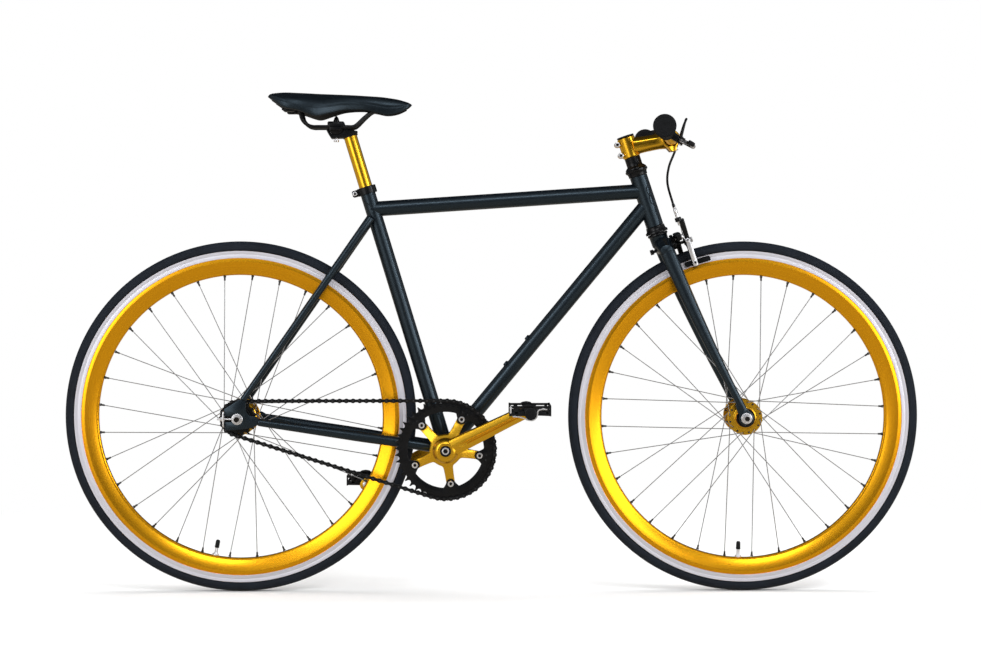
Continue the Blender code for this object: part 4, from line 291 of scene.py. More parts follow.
class Skin:
    """Closed surfaces gathered into one mesh. The sign of each one's volume says which way is out."""

    def __init__(self):
        self.points, self.corners, self.sizes, self.slots, self.maps = [], [], [], [], []
        self.count = 0

    def add(self, rings, slot=0, torus=False, across=None):
        """Grid of rings, closed round each ring, and capped at its ends or joined into a torus."""
        rings = np.asarray(rings, float)
        n, m, _ = rings.shape
        rows = n if torus else n - 1
        i, j = np.meshgrid(np.arange(rows), np.arange(m), indexing="ij")
        near, onward, beside = i * m, (i + 1) % n * m, (j + 1) % m
        quads = np.stack([near + j, near + beside, onward + beside, onward + j], -1).reshape(-1, 4)
        step = np.linalg.norm(np.roll(rings, -1, 0) - rings, axis=-1).mean(1)
        far = np.concatenate([[0], np.cumsum(step)]) if across is None else np.asarray(across, float)
        u0, v0, v1 = j.ravel() / m, far[i.ravel()], far[i.ravel() + 1]
        u1 = u0 + 1 / m
        maps = np.stack([np.stack(pair, -1) for pair in ((u0, v0), (u1, v0), (u1, v1), (u0, v1))], 1)
        flat = rings.reshape(-1, 3)
        q = (flat - flat.mean(0))[quads]
        volume = np.sum(np.cross(q[:, 0], q[:, 1]) * q[:, 2]) + np.sum(np.cross(q[:, 0], q[:, 2]) * q[:, 3])
        if not torus:
            for ring, sign in ((rings[0], -1), (rings[-1], 1)):
                r = ring - flat.mean(0)
                volume += sign * np.sum(np.cross(r, np.roll(r, -1, 0)) * r.mean(0))
        turn = slice(None, None, -1) if volume < 0 else slice(None)
        corners = [quads[:, turn].ravel()]
        sizes = [np.full(len(quads), 4)]
        slot = np.broadcast_to(slot, rows) if np.ndim(slot) == 0 else np.asarray(slot)[:rows]
        slots = [np.repeat(slot, m)]
        mapped = [maps[:, turn].reshape(-1, 2)]
        if not torus:
            first, last = np.arange(m)[::-1], (n - 1) * m + np.arange(m)
            corners += [first[turn], last[turn]]
            sizes.append([m, m])
            slots.append(slot[[0, -1]])
            mapped.append(np.zeros((2 * m, 2)))
        self.points.append(flat)
        self.corners.append(np.concatenate(corners) + self.count)
        self.sizes.append(np.concatenate(sizes))
        self.slots.append(np.concatenate(slots))
        self.maps.append(np.concatenate(mapped))
        self.count += len(flat)

    def build(self, name, body, materials, replaces=(), crease=38):
        """Puts the arrays into a mesh object that rides on a body."""
        name = name.replace(" ", "_")
        mesh = bpy.data.meshes.new(name)
        points, corners = np.concatenate(self.points), np.concatenate(self.corners)
        sizes, slots = np.concatenate(self.sizes), np.concatenate(self.slots)
        mesh.vertices.add(len(points))
        mesh.vertices.foreach_set("co", points.astype(np.float32).ravel())
        mesh.loops.add(len(corners))
        mesh.loops.foreach_set("vertex_index", corners.astype(np.int32))
        mesh.polygons.add(len(sizes))
        mesh.polygons.foreach_set("loop_start", np.concatenate([[0], np.cumsum(sizes)[:-1]]).astype(np.int32))
        mesh.polygons.foreach_set("material_index", slots.astype(np.int32))
        surface = mesh.uv_layers.new(name="surface")
        surface.data.foreach_set("uv", np.concatenate(self.maps).astype(np.float32).ravel())
        mesh.update(calc_edges=True)
        mesh.validate()
        mesh.shade_smooth()
        mesh.set_sharp_from_angle(angle=np.radians(crease))
        made = bpy.data.objects.new(name, mesh)
        bpy.context.scene.collection.objects.link(made)
        for material in materials:
            mesh.materials.append(FINISHES[material])
        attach(made, body)
        if replaces:
            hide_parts(*replaces)
        return made


def bolt(skin, centre, axis, radius, height, socket, slot, dark):
    """Bolt head: a turned drum with a rounded rim. A socket over zero is the width of a sunk hexagon; its
    lower walls and floor take the slot dark, which holds painted shade.
    """
    axis, count = unit(axis), 24
    basis = np.array(square_axes(axis))
    edge = radius * 0.16
    drum = [
        (radius, 0.0), (radius, height - edge), (radius - edge * 0.3, height - edge * 0.3),
        (radius - edge, height),
    ]
    rings = [centre + axis * h + circle(count) * r @ basis for r, h in drum]
    slots = [slot] * 3
    if socket:
        key = hexagon(socket, count)
        for size, h in ((1.04, height), (1.0, height - edge * 0.4), (1.0, height * 0.35)):
            rings.append(centre + axis * h + key * size @ basis)
        slots += [slot, slot, dark]
    else:
        rings.append(centre + axis * (height + edge * 0.3) + circle(count) * radius * 0.3 @ basis)
        slots.append(slot)
    skin.add(np.array(rings), slot=slots)


# Finishes


VECTOR_MATH = "ShaderNodeVectorMath"


def add_node(tree, kind, inputs=None, **settings):
    """Adds a shader node and fills its sockets with values or links."""
    made = tree.nodes.new(kind)
    for key, value in settings.items():
        setattr(made, key, value)
    for key, value in (inputs or {}).items():
        if isinstance(value, bpy.types.NodeSocket):
            tree.links.new(value, made.inputs[key])
        else:
            made.inputs[key].default_value = value
    return made


def new_group(name, inputs, outputs):
    """Node group with named sockets. Returns its tree, its input sockets and its output sockets."""
    tree = bpy.data.node_groups.new(name, "ShaderNodeTree")
    for label, kind, value in inputs:
        tree.interface.new_socket(name=label, in_out="INPUT", socket_type=kind).default_value = value
    for label, kind in outputs:
        tree.interface.new_socket(name=label, in_out="OUTPUT", socket_type=kind)
    start, end = tree.nodes.new("NodeGroupInput"), tree.nodes.new("NodeGroupOutput")
    return tree, start.outputs, end.inputs


SURFACE_INPUTS = [
    ("Vector", "NodeSocketVector", (0, 0, 0)), ("Scale", "NodeSocketFloat", 400.0),
    ("Color", "NodeSocketColor", (0.5, 0.5, 0.5, 1)), ("Shade", "NodeSocketColor", (0.4, 0.4, 0.4, 1)),
    ("Rough Low", "NodeSocketFloat", 0.3), ("Rough High", "NodeSocketFloat", 0.5),
]
SURFACE_OUTPUTS = [
    ("Color", "NodeSocketColor"), ("Roughness", "NodeSocketFloat"), ("Height", "NodeSocketFloat"),
]


def spread(tree, value, low, high, to_low, to_high):
    """Maps a value's range onto another, held at both ends."""
    return add_node(tree, "ShaderNodeMapRange", {
        "Value": value, "From Min": low, "From Max": high, "To Min": to_low, "To Max": to_high,
    }).outputs["Result"]


def mixed(tree, share, first, second):
    """Colour between two colours."""
    made = add_node(tree, "ShaderNodeMix", data_type="RGBA")
    tree.links.new(share, made.inputs[0])
    tree.links.new(first, made.inputs[6])
    tree.links.new(second, made.inputs[7])
    return made.outputs[2]


def worked(tree, operation, *values, kind="ShaderNodeMath"):
    """Result of a math node whose sockets are filled in order."""
    return add_node(tree, kind, dict(enumerate(values)), operation=operation).outputs[0]


def noise(tree, place, scale, detail, roughness=0.5):
    """Noise texture read at a place."""
    return add_node(tree, "ShaderNodeTexNoise", {
        "Vector": place, "Scale": scale, "Detail": detail, "Roughness": roughness,
    }).outputs


def close_group(tree, start, end, share, height):
    """Lets the share lead from the first colour and roughness to the second, and puts out the height."""
    tree.links.new(mixed(tree, share, start["Color"], start["Shade"]), end["Color"])
    tree.links.new(spread(tree, share, 0.0, 1.0, start["Rough Low"], start["Rough High"]), end["Roughness"])
    tree.links.new(height, end["Height"])
    return tree


def coat_group():
    """Sprayed or moulded surface: cloudy colour and fine pimples."""
    tree, start, end = new_group("Fine coat", SURFACE_INPUTS, SURFACE_OUTPUTS)
    fine = noise(tree, start["Vector"], start["Scale"], 3.0)
    wide = noise(tree, start["Vector"], worked(tree, "MULTIPLY", start["Scale"], 0.045), 5.0)
    return close_group(tree, start, end, spread(tree, wide["Fac"], 0.35, 0.65, 0.0, 1.0), fine["Fac"])


def brushed_group():
    """Metal with fine straight scratches: noise drawn out a hundredfold along one way."""
    tree, start, end = new_group("Brushed metal", SURFACE_INPUTS, SURFACE_OUTPUTS)
    scratch = noise(tree, start["Vector"], start["Scale"], 6.0, 0.65)
    share = spread(tree, scratch["Fac"], 0.3, 0.7, 0.0, 1.0)
    return close_group(tree, start, end, share, share)


def turned_group():
    """Lathe marks and grain: noise read by the distance from the Y axis lies in rings, and is mixed with
    even speckle."""
    tree, start, end = new_group("Turned metal", SURFACE_INPUTS, SURFACE_OUTPUTS)
    flat = worked(tree, "MULTIPLY", start["Vector"], (1, 0, 1), kind=VECTOR_MATH)
    away = add_node(tree, VECTOR_MATH, {0: flat}, operation="LENGTH").outputs["Value"]
    height = add_node(tree, "ShaderNodeSeparateXYZ", {0: start["Vector"]}).outputs["Y"]
    rings = add_node(tree, "ShaderNodeCombineXYZ", {"X": away, "Y": height}).outputs[0]
    lines = noise(tree, rings, start["Scale"], 4.0)
    grain = noise(tree, start["Vector"], start["Scale"], 2.0)
    share = spread(tree, worked(tree, "ADD", lines["Fac"], grain["Fac"]), 0.7, 1.3, 0.0, 1.0)
    return close_group(tree, start, end, share, share)


def leather_group():
    """Grained cover: the edges of small irregular cells stand low, and wear makes them smoother."""
    tree, start, end = new_group("Grained cover", SURFACE_INPUTS, SURFACE_OUTPUTS)
    bent = noise(tree, start["Vector"], 60.0, 2.0)
    shift = worked(tree, "MULTIPLY", bent["Color"], (0.004,) * 3, kind=VECTOR_MATH)
    moved = worked(tree, "ADD", start["Vector"], shift, kind=VECTOR_MATH)
    cells = add_node(
        tree, "ShaderNodeTexVoronoi", {"Vector": moved, "Scale": start["Scale"]}, feature="DISTANCE_TO_EDGE",
    )
    crease = spread(tree, cells.outputs["Distance"], 0.0, 0.14, 0.0, 1.0)
    wear = noise(tree, start["Vector"], 22.0, 4.0)
    return close_group(tree, start, end, spread(tree, wear["Fac"], 0.4, 0.6, 0.0, 1.0), crease)


def tread_group():
    """Tyre surface by its own map: fine slanted grooves on the crown, thread ribs on the sidewall."""
    inputs = [("Place", "NodeSocketVector", (0, 0, 0))] + SURFACE_INPUTS
    tree, start, end = new_group("Tyre tread", inputs, SURFACE_OUTPUTS)
    parts = add_node(tree, "ShaderNodeSeparateXYZ", {0: start["Vector"]})
    around, across = parts.outputs["X"], parts.outputs["Y"]
    off = worked(tree, "ABSOLUTE", worked(tree, "SUBTRACT", across, 0.5))
    slant = worked(tree, "MULTIPLY_ADD", off, 0.11, around)
    wave = worked(tree, "PINGPONG", worked(tree, "MULTIPLY", slant, start["Scale"]), 1.0)
    groove = spread(tree, wave, 0.7, 0.86, 1.0, 0.0)
    crown = spread(tree, off, 0.1, 0.16, 1.0, 0.0)
    cut = worked(tree, "MULTIPLY", worked(tree, "SUBTRACT", groove, 1.0), crown)
    ribs = worked(tree, "SINE", worked(tree, "MULTIPLY", off, 420.0))
    ribs = worked(tree, "MULTIPLY", ribs, spread(tree, off, 0.12, 0.2, 0.0, 0.16))
    dust = noise(tree, start["Place"], 26.0, 7.0)
    worn = spread(tree, dust["Fac"], 0.35, 0.65, 0.0, 1.0)
    return close_group(tree, start, end, worn, worked(tree, "ADD", cut, ribs))


FINISHES = {}
GROUPS = {}

# Cool cast of the highlights on paint
PAINT_GLINT = (0.62, 0.83, 1)


def make_finish(
    name, group, color, shade, rough, scale, relief, metallic=0.0, centre=(0, 0, 0), stretch=(1, 1, 1),
    turn=(0, 0, 0), specular=0.3, tint=(1, 1, 1),
):
    """Material whose Principled shader takes colour, roughness and relief from one of the groups.

    The relief is in micrometres. The tread is read on the tyre's own map, all other groups in space.
    """
    made = bpy.data.materials.new(name)
    made.use_nodes = True
    tree = made.node_tree
    shader = tree.nodes["Principled BSDF"]
    sources = add_node(tree, "ShaderNodeTexCoord").outputs
    surface = tree.nodes.new("ShaderNodeGroup")
    surface.node_tree = GROUPS[group]
    if group == "tread":
        where = sources["UV"]
        tree.links.new(sources["Object"], surface.inputs["Place"])
    else:
        placed = add_node(
            tree, "ShaderNodeMapping", {"Vector": sources["Object"], "Location": [-c for c in centre]},
        )
        swung = add_node(tree, "ShaderNodeMapping", {"Vector": placed.outputs[0], "Rotation": turn})
        where = worked(tree, "MULTIPLY", swung.outputs[0], stretch, kind=VECTOR_MATH)
    for label, value in (
        ("Scale", scale), ("Color", (*color, 1)), ("Shade", (*shade, 1)), ("Rough Low", rough[0]),
        ("Rough High", rough[1]),
    ):
        surface.inputs[label].default_value = value
    tree.links.new(where, surface.inputs["Vector"])
    bump = add_node(tree, "ShaderNodeBump", {
        "Height": surface.outputs["Height"], "Strength": 1.0, "Distance": relief / 1e6,
    })
    tree.links.new(surface.outputs["Color"], shader.inputs["Base Color"])
    tree.links.new(surface.outputs["Roughness"], shader.inputs["Roughness"])
    tree.links.new(bump.outputs["Normal"], shader.inputs["Normal"])
    shader.inputs["Metallic"].default_value = metallic
    shader.inputs["Specular IOR Level"].default_value = specular
    shader.inputs["Specular Tint"].default_value = (*tint, 1)
    FINISHES[name] = made


def darker(color, share):
    """The colour times a share; a share over 1 makes it lighter."""
    return tuple(c * share for c in color)


def make_finishes(colors):
    """Every finish of the bicycle, from the colours of the panel."""
    GROUPS.update({
        "coat": coat_group(), "brushed": brushed_group(), "turned": turned_group(), "cover": leather_group(),
        "tread": tread_group(),
    })
    paint, gold, rim = tuple(colors.paint), tuple(colors.gold), tuple(colors.rim)
    rubber, black, steel = tuple(colors.rubber), tuple(colors.black), tuple(colors.steel)
    seat_lean, stem_rise = np.arctan2(-SEAT_UP[0], SEAT_UP[2]), np.arctan2(*STEER.way(STEM_AHEAD)[[2, 0]])

    def paint_finish(name, group, color, shade, rough, scale, relief, specular):
        make_finish(
            name, group, darker(paint, color), darker(paint, shade), rough, scale, relief, specular=specular,
            tint=PAINT_GLINT,
        )

    paint_finish("frame_paint", "coat", 1, 0.82, (0.27, 0.33), 1500, 1.5, 0.52)
    paint_finish("weld_paint", "coat", 0.95, 0.7, (0.3, 0.36), 900, 30, 0.42)
    for name, turn, stretch in (
        ("gold_polished", (0, stem_rise, 0), (0.05, 1, 1)), ("gold_bar", (0, 0, 0), (1, 0.04, 1)),
        ("gold_post", (0, seat_lean, 0), (1, 1, 0.04)),
    ):
        make_finish(
            name, "brushed", gold, darker(gold, 0.93), (0.19, 0.22), 500, 0.2, 1.0, turn=turn,
            stretch=stretch,
        )
    make_finish(
        "gold_crank", "brushed", gold, darker(gold, 0.92), (0.26, 0.3), 420, 0.2, 1.0,
        centre=BOTTOM_BRACKET, turn=(0, CRANK_ANGLE, 0), stretch=(0.06, 1, 1),
    )
    for label, centre in (("front", FRONT_HUB), ("rear", REAR_HUB)):
        for name, color, shade, rough, scale, relief, metallic in (
            ("rim_gold", rim, darker(rim, 0.8), (0.21, 0.29), 900, 7, 0.95),
            ("brake_track", (0.62, 0.61, 0.66), (0.54, 0.53, 0.58), (0.4, 0.5), 2400, 0.8, 0.5),
            ("hub_gold", darker(gold, 0.9), darker(gold, 0.72), (0.2, 0.3), 1500, 3, 1.0),
        ):
            make_finish(f"{name}_{label}", "turned", color, shade, rough, scale, relief, metallic, centre)
    make_finish("tyre_rubber", "tread", rubber, darker(rubber, 1.4), (0.5, 0.62), 420, 400, specular=0.12)
    for name, color, shade, rough, scale, relief, specular in (
        ("soft_rubber", 1, 1.4, (0.58, 0.7), 2200, 30, 0.12),
        ("chain_black", 0.6, 1.2, (0.3, 0.42), 900, 10, 0.18),
        ("black_alloy", 1, 1.3, (0.18, 0.26), 1200, 4, 0.2),
        ("black_plastic", 1, 1.4, (0.38, 0.48), 1600, 20, 0.16),
    ):
        make_finish(
            name, "coat", darker(black, color), darker(black, shade), rough, scale, relief, specular=specular,
        )
    make_finish("bright_steel", "brushed", steel, darker(steel, 0.85), (0.26, 0.34), 500, 1, 0.85)
    make_finish("spoke_steel", "brushed", darker(steel, 0.42), darker(steel, 0.3), (0.35, 0.45), 300, 2, 0.7)
    # Near-black painted shade, put into bolt sockets, bores and spoke holes, on the hub's ends and seals, and
    # on the axles
    make_finish(
        "dark_hole", "coat", (0.006, 0.005, 0.004), (0.01, 0.008, 0.006), (0.5, 0.6), 900, 10, specular=0.1,
    )
    paint_finish("saddle_cover", "cover", 0.55, 0.8, (0.32, 0.4), 900, 3, 0.42)
    make_finish(
        "stitching", "coat", darker(paint, 1.2), darker(paint, 0.9), (0.6, 0.7), 2500, 40, specular=0.2,
    )
    make_finish("cable_wire", "brushed", darker(steel, 0.8), darker(steel, 0.5), (0.25, 0.4), 2500, 10, 1.0)
    make_finish("housing_black", "coat", black, darker(black, 1.4), (0.3, 0.42), 1800, 10, specular=0.18)
    make_finish("rail_black", "coat", black, darker(black, 1.4), (0.26, 0.36), 1500, 10, specular=0.2)
    make_finish(
        "nipple_dark", "brushed", (0.05, 0.048, 0.045), (0.03, 0.028, 0.025), (0.35, 0.45), 900, 4, 0.6,
    )
    make_finish("chain_pin", "brushed", (0.05, 0.05, 0.055), (0.03, 0.03, 0.03), (0.25, 0.38), 900, 4, 0.8)


# Frame


def joint_curve(start, end, radius, wall, wall_axis, wall_radius, count):
    """Where the straight lines of a tube meet a wall cylinder.

    A line p + s * d meets the wall where the part of it square to the wall's axis is as long as the
    wall's radius: a * s^2 + 2 * b * s + c = 0. The root nearer to the tube's far end is taken.
    """
    start, end, wall_axis = np.asarray(start, float), np.asarray(end, float), unit(wall_axis)
    along = unit(end - start)
    spots = ring_about(along, count)
    p = end + spots * radius - wall
    d = -along
    p_flat = p - (p @ wall_axis)[:, None] * wall_axis
    d_flat = d - (d @ wall_axis) * wall_axis
    a, b = d_flat @ d_flat, p_flat @ d_flat
    c = np.sum(p_flat ** 2, axis=1) - wall_radius ** 2
    share = np.maximum(b ** 2 - a * c, 0)
    s = (-b - np.sqrt(share)) / a
    return end + spots * radius + d * s[:, None]


def line_up(curve, point, axis):
    """The curve's points in the order of the circle about an axis through a point."""
    first, second = square_axes(axis)
    off = curve - point
    return curve[np.argsort(np.mod(np.arctan2(off @ second, off @ first) + 1e-6, TAU))]


def fillet(skin, curve, tube_axis, wall_point, wall_axis, size, slot):
    """Weld bead along a closed joint curve.

    Its section is a concave corner: (1 - cos t, 1 - sin t) from the wall to the tube, on the wall's
    outward normal and the tube's own way, with a slight ripple around the joint. The bead is lifted off
    the wall a little, and its back is sunk into wall and tube.
    """
    n, lift, sink = len(curve), 0.00016, 0.0015
    wall_axis = unit(wall_axis)
    off = curve - wall_point
    outward = unit(off - (off @ wall_axis)[:, None] * wall_axis)
    ring_way = unit(np.roll(curve, -1, 0) - np.roll(curve, 1, 0))
    middle = curve.mean(0)
    tube_out = np.cross(ring_way, unit(tube_axis))
    tube_out *= np.sign(np.sum(tube_out * (curve - middle), axis=1))[:, None]
    away = np.cross(ring_way, outward)
    away *= np.sign(np.sum(away * tube_out, axis=1) + 1e-9)[:, None]
    up = np.broadcast_to(unit(tube_axis), (n, 3))
    t = np.linspace(0, np.pi / 2, 7)
    wave = 1 + 0.035 * np.sin(np.arange(n) * TAU * 9 / n)[:, None, None]
    across = (1 - np.sin(t))[None, :, None] * size * wave
    rise = (1 - np.cos(t))[None, :, None] * size * wave
    bead = curve[:, None] + across * away[:, None] + rise * up[:, None] + lift * outward[:, None]
    sunk = curve - sink * outward - sink * tube_out
    skin.add(np.concatenate([bead, sunk[:, None]], axis=1), slot, torus=True)


def straight_tube(skin, start, end, radius, count, slot=0):
    """Straight round tube between two points."""
    start, end = np.asarray(start, float), np.asarray(end, float)
    profile = [(radius, 0), (radius, np.linalg.norm(end - start))]
    skin.add(turned(profile, start, end - start, count), slot)


def make_main_frame():
    """The three main tubes, head tube and shell, mitred on one another, with weld beads."""
    tube_radius, head_radius, shell_radius = 0.0143, 0.01675, 0.0195
    head_middle, start_gap, big_bead, small_bead = STEER([0, 0, HEAD_BASE]), 0.0001, 0.005, 0.0042
    count = 64

    skin = Skin()
    profile = sleeve(0.0152, head_radius, 0, HEAD_TOP - HEAD_BASE, 0.0004)
    skin.add(turned(profile, head_middle, STEER_UP, count), torus=True)
    skin.build("Head tube", "frame", ["frame_paint"], ["head_tube"])

    top_rear, top_front = SEAT([0, 0, STAY_CLUSTER]), STEER([0, 0, HEAD_TOP - 0.03])
    skin = Skin()
    along = unit(top_front - top_rear)
    front = joint_curve(top_rear, top_front, tube_radius, head_middle, STEER_UP, head_radius, count)
    rear = joint_curve(top_front, top_rear, tube_radius, BOTTOM_BRACKET, SEAT_UP, tube_radius, count)
    front, rear = line_up(front, top_front, along), line_up(rear, top_rear, along)
    spots = ring_about(along, count) * tube_radius
    rings = [rear] + [top_rear + along * s + spots for s in (0.05, 0.2, 0.35)]
    skin.add(np.array(rings + [front]))
    fillet(skin, front, -along, head_middle, STEER_UP, big_bead, 1)
    fillet(skin, rear, along, BOTTOM_BRACKET, SEAT_UP, small_bead, 1)
    skin.build("Top tube", "frame", ["frame_paint", "weld_paint"], ["top_tube"])

    down_front = STEER([0, 0, HEAD_BASE + 0.0445])
    skin = Skin()
    along = unit(down_front - BOTTOM_BRACKET)
    foot = BOTTOM_BRACKET + along * start_gap
    front = joint_curve(BOTTOM_BRACKET, down_front, tube_radius, head_middle, STEER_UP, head_radius, count)
    rear = joint_curve(down_front, foot, tube_radius, BOTTOM_BRACKET, LEFT, shell_radius, count)
    front, rear = line_up(front, down_front, along), line_up(rear, foot, along)
    spots = ring_about(along, count) * tube_radius
    rings = [rear] + [BOTTOM_BRACKET + along * s + spots for s in (0.06, 0.2, 0.34, 0.48)]
    skin.add(np.array(rings + [front]))
    fillet(skin, front, -along, head_middle, STEER_UP, big_bead, 1)
    fillet(skin, rear, along, BOTTOM_BRACKET, LEFT, small_bead, 1)
    upward = unit(np.cross(along, LEFT))
    upward *= np.sign(upward[2])
    first_boss, boss_spacing = 0.197, 0.064
    boss = mm(
        (8.5, -1.6), (6.6, 0.1), (5.4, 1), (5, 2), (4.8, 2.7), (4.5, 3), (2.9, 3), (2.5, 2.6), (2.5, -10),
    )
    # Two bottle bosses; the bore inside each is painted shade
    for number in range(2):
        base = BOTTOM_BRACKET + along * (first_boss + boss_spacing * number) + upward * tube_radius
        skin.add(turned(boss, base, upward, 32), [0] * 7 + [2, 2])
    skin.build("Down tube", "frame", ["frame_paint", "weld_paint", "dark_hole"], ["down_tube"])

    skin = Skin()
    foot = BOTTOM_BRACKET + SEAT_UP * start_gap
    rear = joint_curve(
        SEAT([0, 0, SEAT_TUBE_TOP]), foot, tube_radius, BOTTOM_BRACKET, LEFT, shell_radius, count,
    )
    rear = line_up(rear, foot, SEAT_UP)
    spots, edge, bore, bore_depth = ring_about(SEAT_UP, count), 0.0004, 0.0131, 0.03
    rings = [rear] + [BOTTOM_BRACKET + SEAT_UP * h + spots * radius for radius, h in (
        (tube_radius, 0.05), (tube_radius, 0.2), (tube_radius, 0.35), (tube_radius, SEAT_TUBE_TOP - edge),
        (tube_radius - edge, SEAT_TUBE_TOP), (bore, SEAT_TUBE_TOP), (bore, SEAT_TUBE_TOP - bore_depth),
    )]
    skin.add(np.array(rings))
    fillet(skin, rear, SEAT_UP, BOTTOM_BRACKET, LEFT, small_bead, 1)
    skin.build("Seat tube", "frame", ["frame_paint", "weld_paint"], ["seat_tube"])

    skin = Skin()
    shell = sleeve(0.0171, shell_radius, -SHELL_HALF, SHELL_HALF, 0.0005)
    skin.add(turned(shell, BOTTOM_BRACKET, LEFT, 64), torus=True)
    skin.build("Bottom bracket shell", "frame", ["frame_paint"], ["bottom_bracket_shell"])


def track_end_outline():
    """Side view of a track end about the axle: a rear foot, a cupped front and the slot."""
    slot = 0.0052
    return np.concatenate([
        [(-0.024, -slot), (-0.024, -0.013)], arc((-0.016, -0.013), 0.008, 180, 270, 8),
        mm((12, -19), (30, -15), (36, -12.5), (39.5, -6), (40, 1)), arc((0.03, 0.019), 0.014, 280, 170, 16),
        mm((16, 28), (15.5, 40), (3, 36), (-24, 19)), [(-0.024, slot)], arc((0.0055, 0.0), slot, 90, -90, 16),
    ])


def seat_stay_ends(side):
    """Upper and lower end of a seat stay's centre line."""
    return SEAT([-0.006, side * 0.0175, STAY_CLUSTER - 0.014]), REAR_HUB + [0.0135, side * TRACK_END, 0.04]


def make_rear_frame():
    """Chain stays with domed ends, seat stays, bridge, and the slotted track ends."""
    chainstay = REAR_HUB - BOTTOM_BRACKET
    stay_end = 1 - 0.037 / np.linalg.norm(chainstay)
    for side, label in SIDES:
        skin = Skin()
        stations = [
            BOTTOM_BRACKET + [-0.006, side * 0.0235, 0.001],
            BOTTOM_BRACKET + chainstay * 0.1 + LEFT * side * 0.025,
            BOTTOM_BRACKET + chainstay * 0.26 + LEFT * side * 0.0285,
            BOTTOM_BRACKET + chainstay * 0.5 + LEFT * side * 0.042,
            BOTTOM_BRACKET + chainstay * stay_end + LEFT * side * TRACK_END,
        ]
        path = spline(stations, 40)
        share = np.linspace(0, 1, 40)
        radius = 0.01 + (0.007 - 0.01) * np.clip((share - 0.45) / 0.55, 0, 1)
        path, radius = rounded_ends(path, radius, 0.7, 7)
        skin.add(tube(path, radius, 32, UP))
        place = Place(REAR_HUB + LEFT * side * TRACK_END, AHEAD, UP, LEFT)
        skin.add(slab(track_end_outline(), -0.003, 0.003, 0.0006, place))
        skin.build(f"Chain stay and track end {label}", "frame", ["frame_paint"], [f"chain_stay_{label}"])

        skin = Skin()
        top, foot = seat_stay_ends(side)
        along, length = unit(top - foot), np.linalg.norm(top - foot)
        path = np.concatenate([[foot - along * 0.006], foot + (top - foot) * np.linspace(0, 1, 12)[:, None]])
        radius = 0.006 + 0.002 * np.clip(np.linalg.norm(path - foot, axis=1) / length, 0, 1)
        path, radius = rounded_ends(path, radius, 0.45, 7)
        skin.add(tube(path, radius, 32, LEFT))
        skin.build(f"Seat stay {label}", "frame", ["frame_paint"], [f"seat_stay_{label}"])

    top, foot = seat_stay_ends(1)
    at = foot + (top - foot) * (TYRE_RADIUS + 0.012 - 0.04) / np.linalg.norm(top - foot)
    skin = Skin()
    straight_tube(skin, at * [1, -1, 1], at, 0.00635, 32)
    for side in (-1, 1):
        collar = at * [1, side, 1] - LEFT * side * 0.0068
        ring = mm((8.2, 0), (7, 1.4), (6.4, 3.4))
        skin.add(turned(ring, collar, LEFT * -side, 32), 1)
    skin.build("Seat stay bridge", "frame", ["frame_paint", "weld_paint"], ["seat_stay_bridge"])


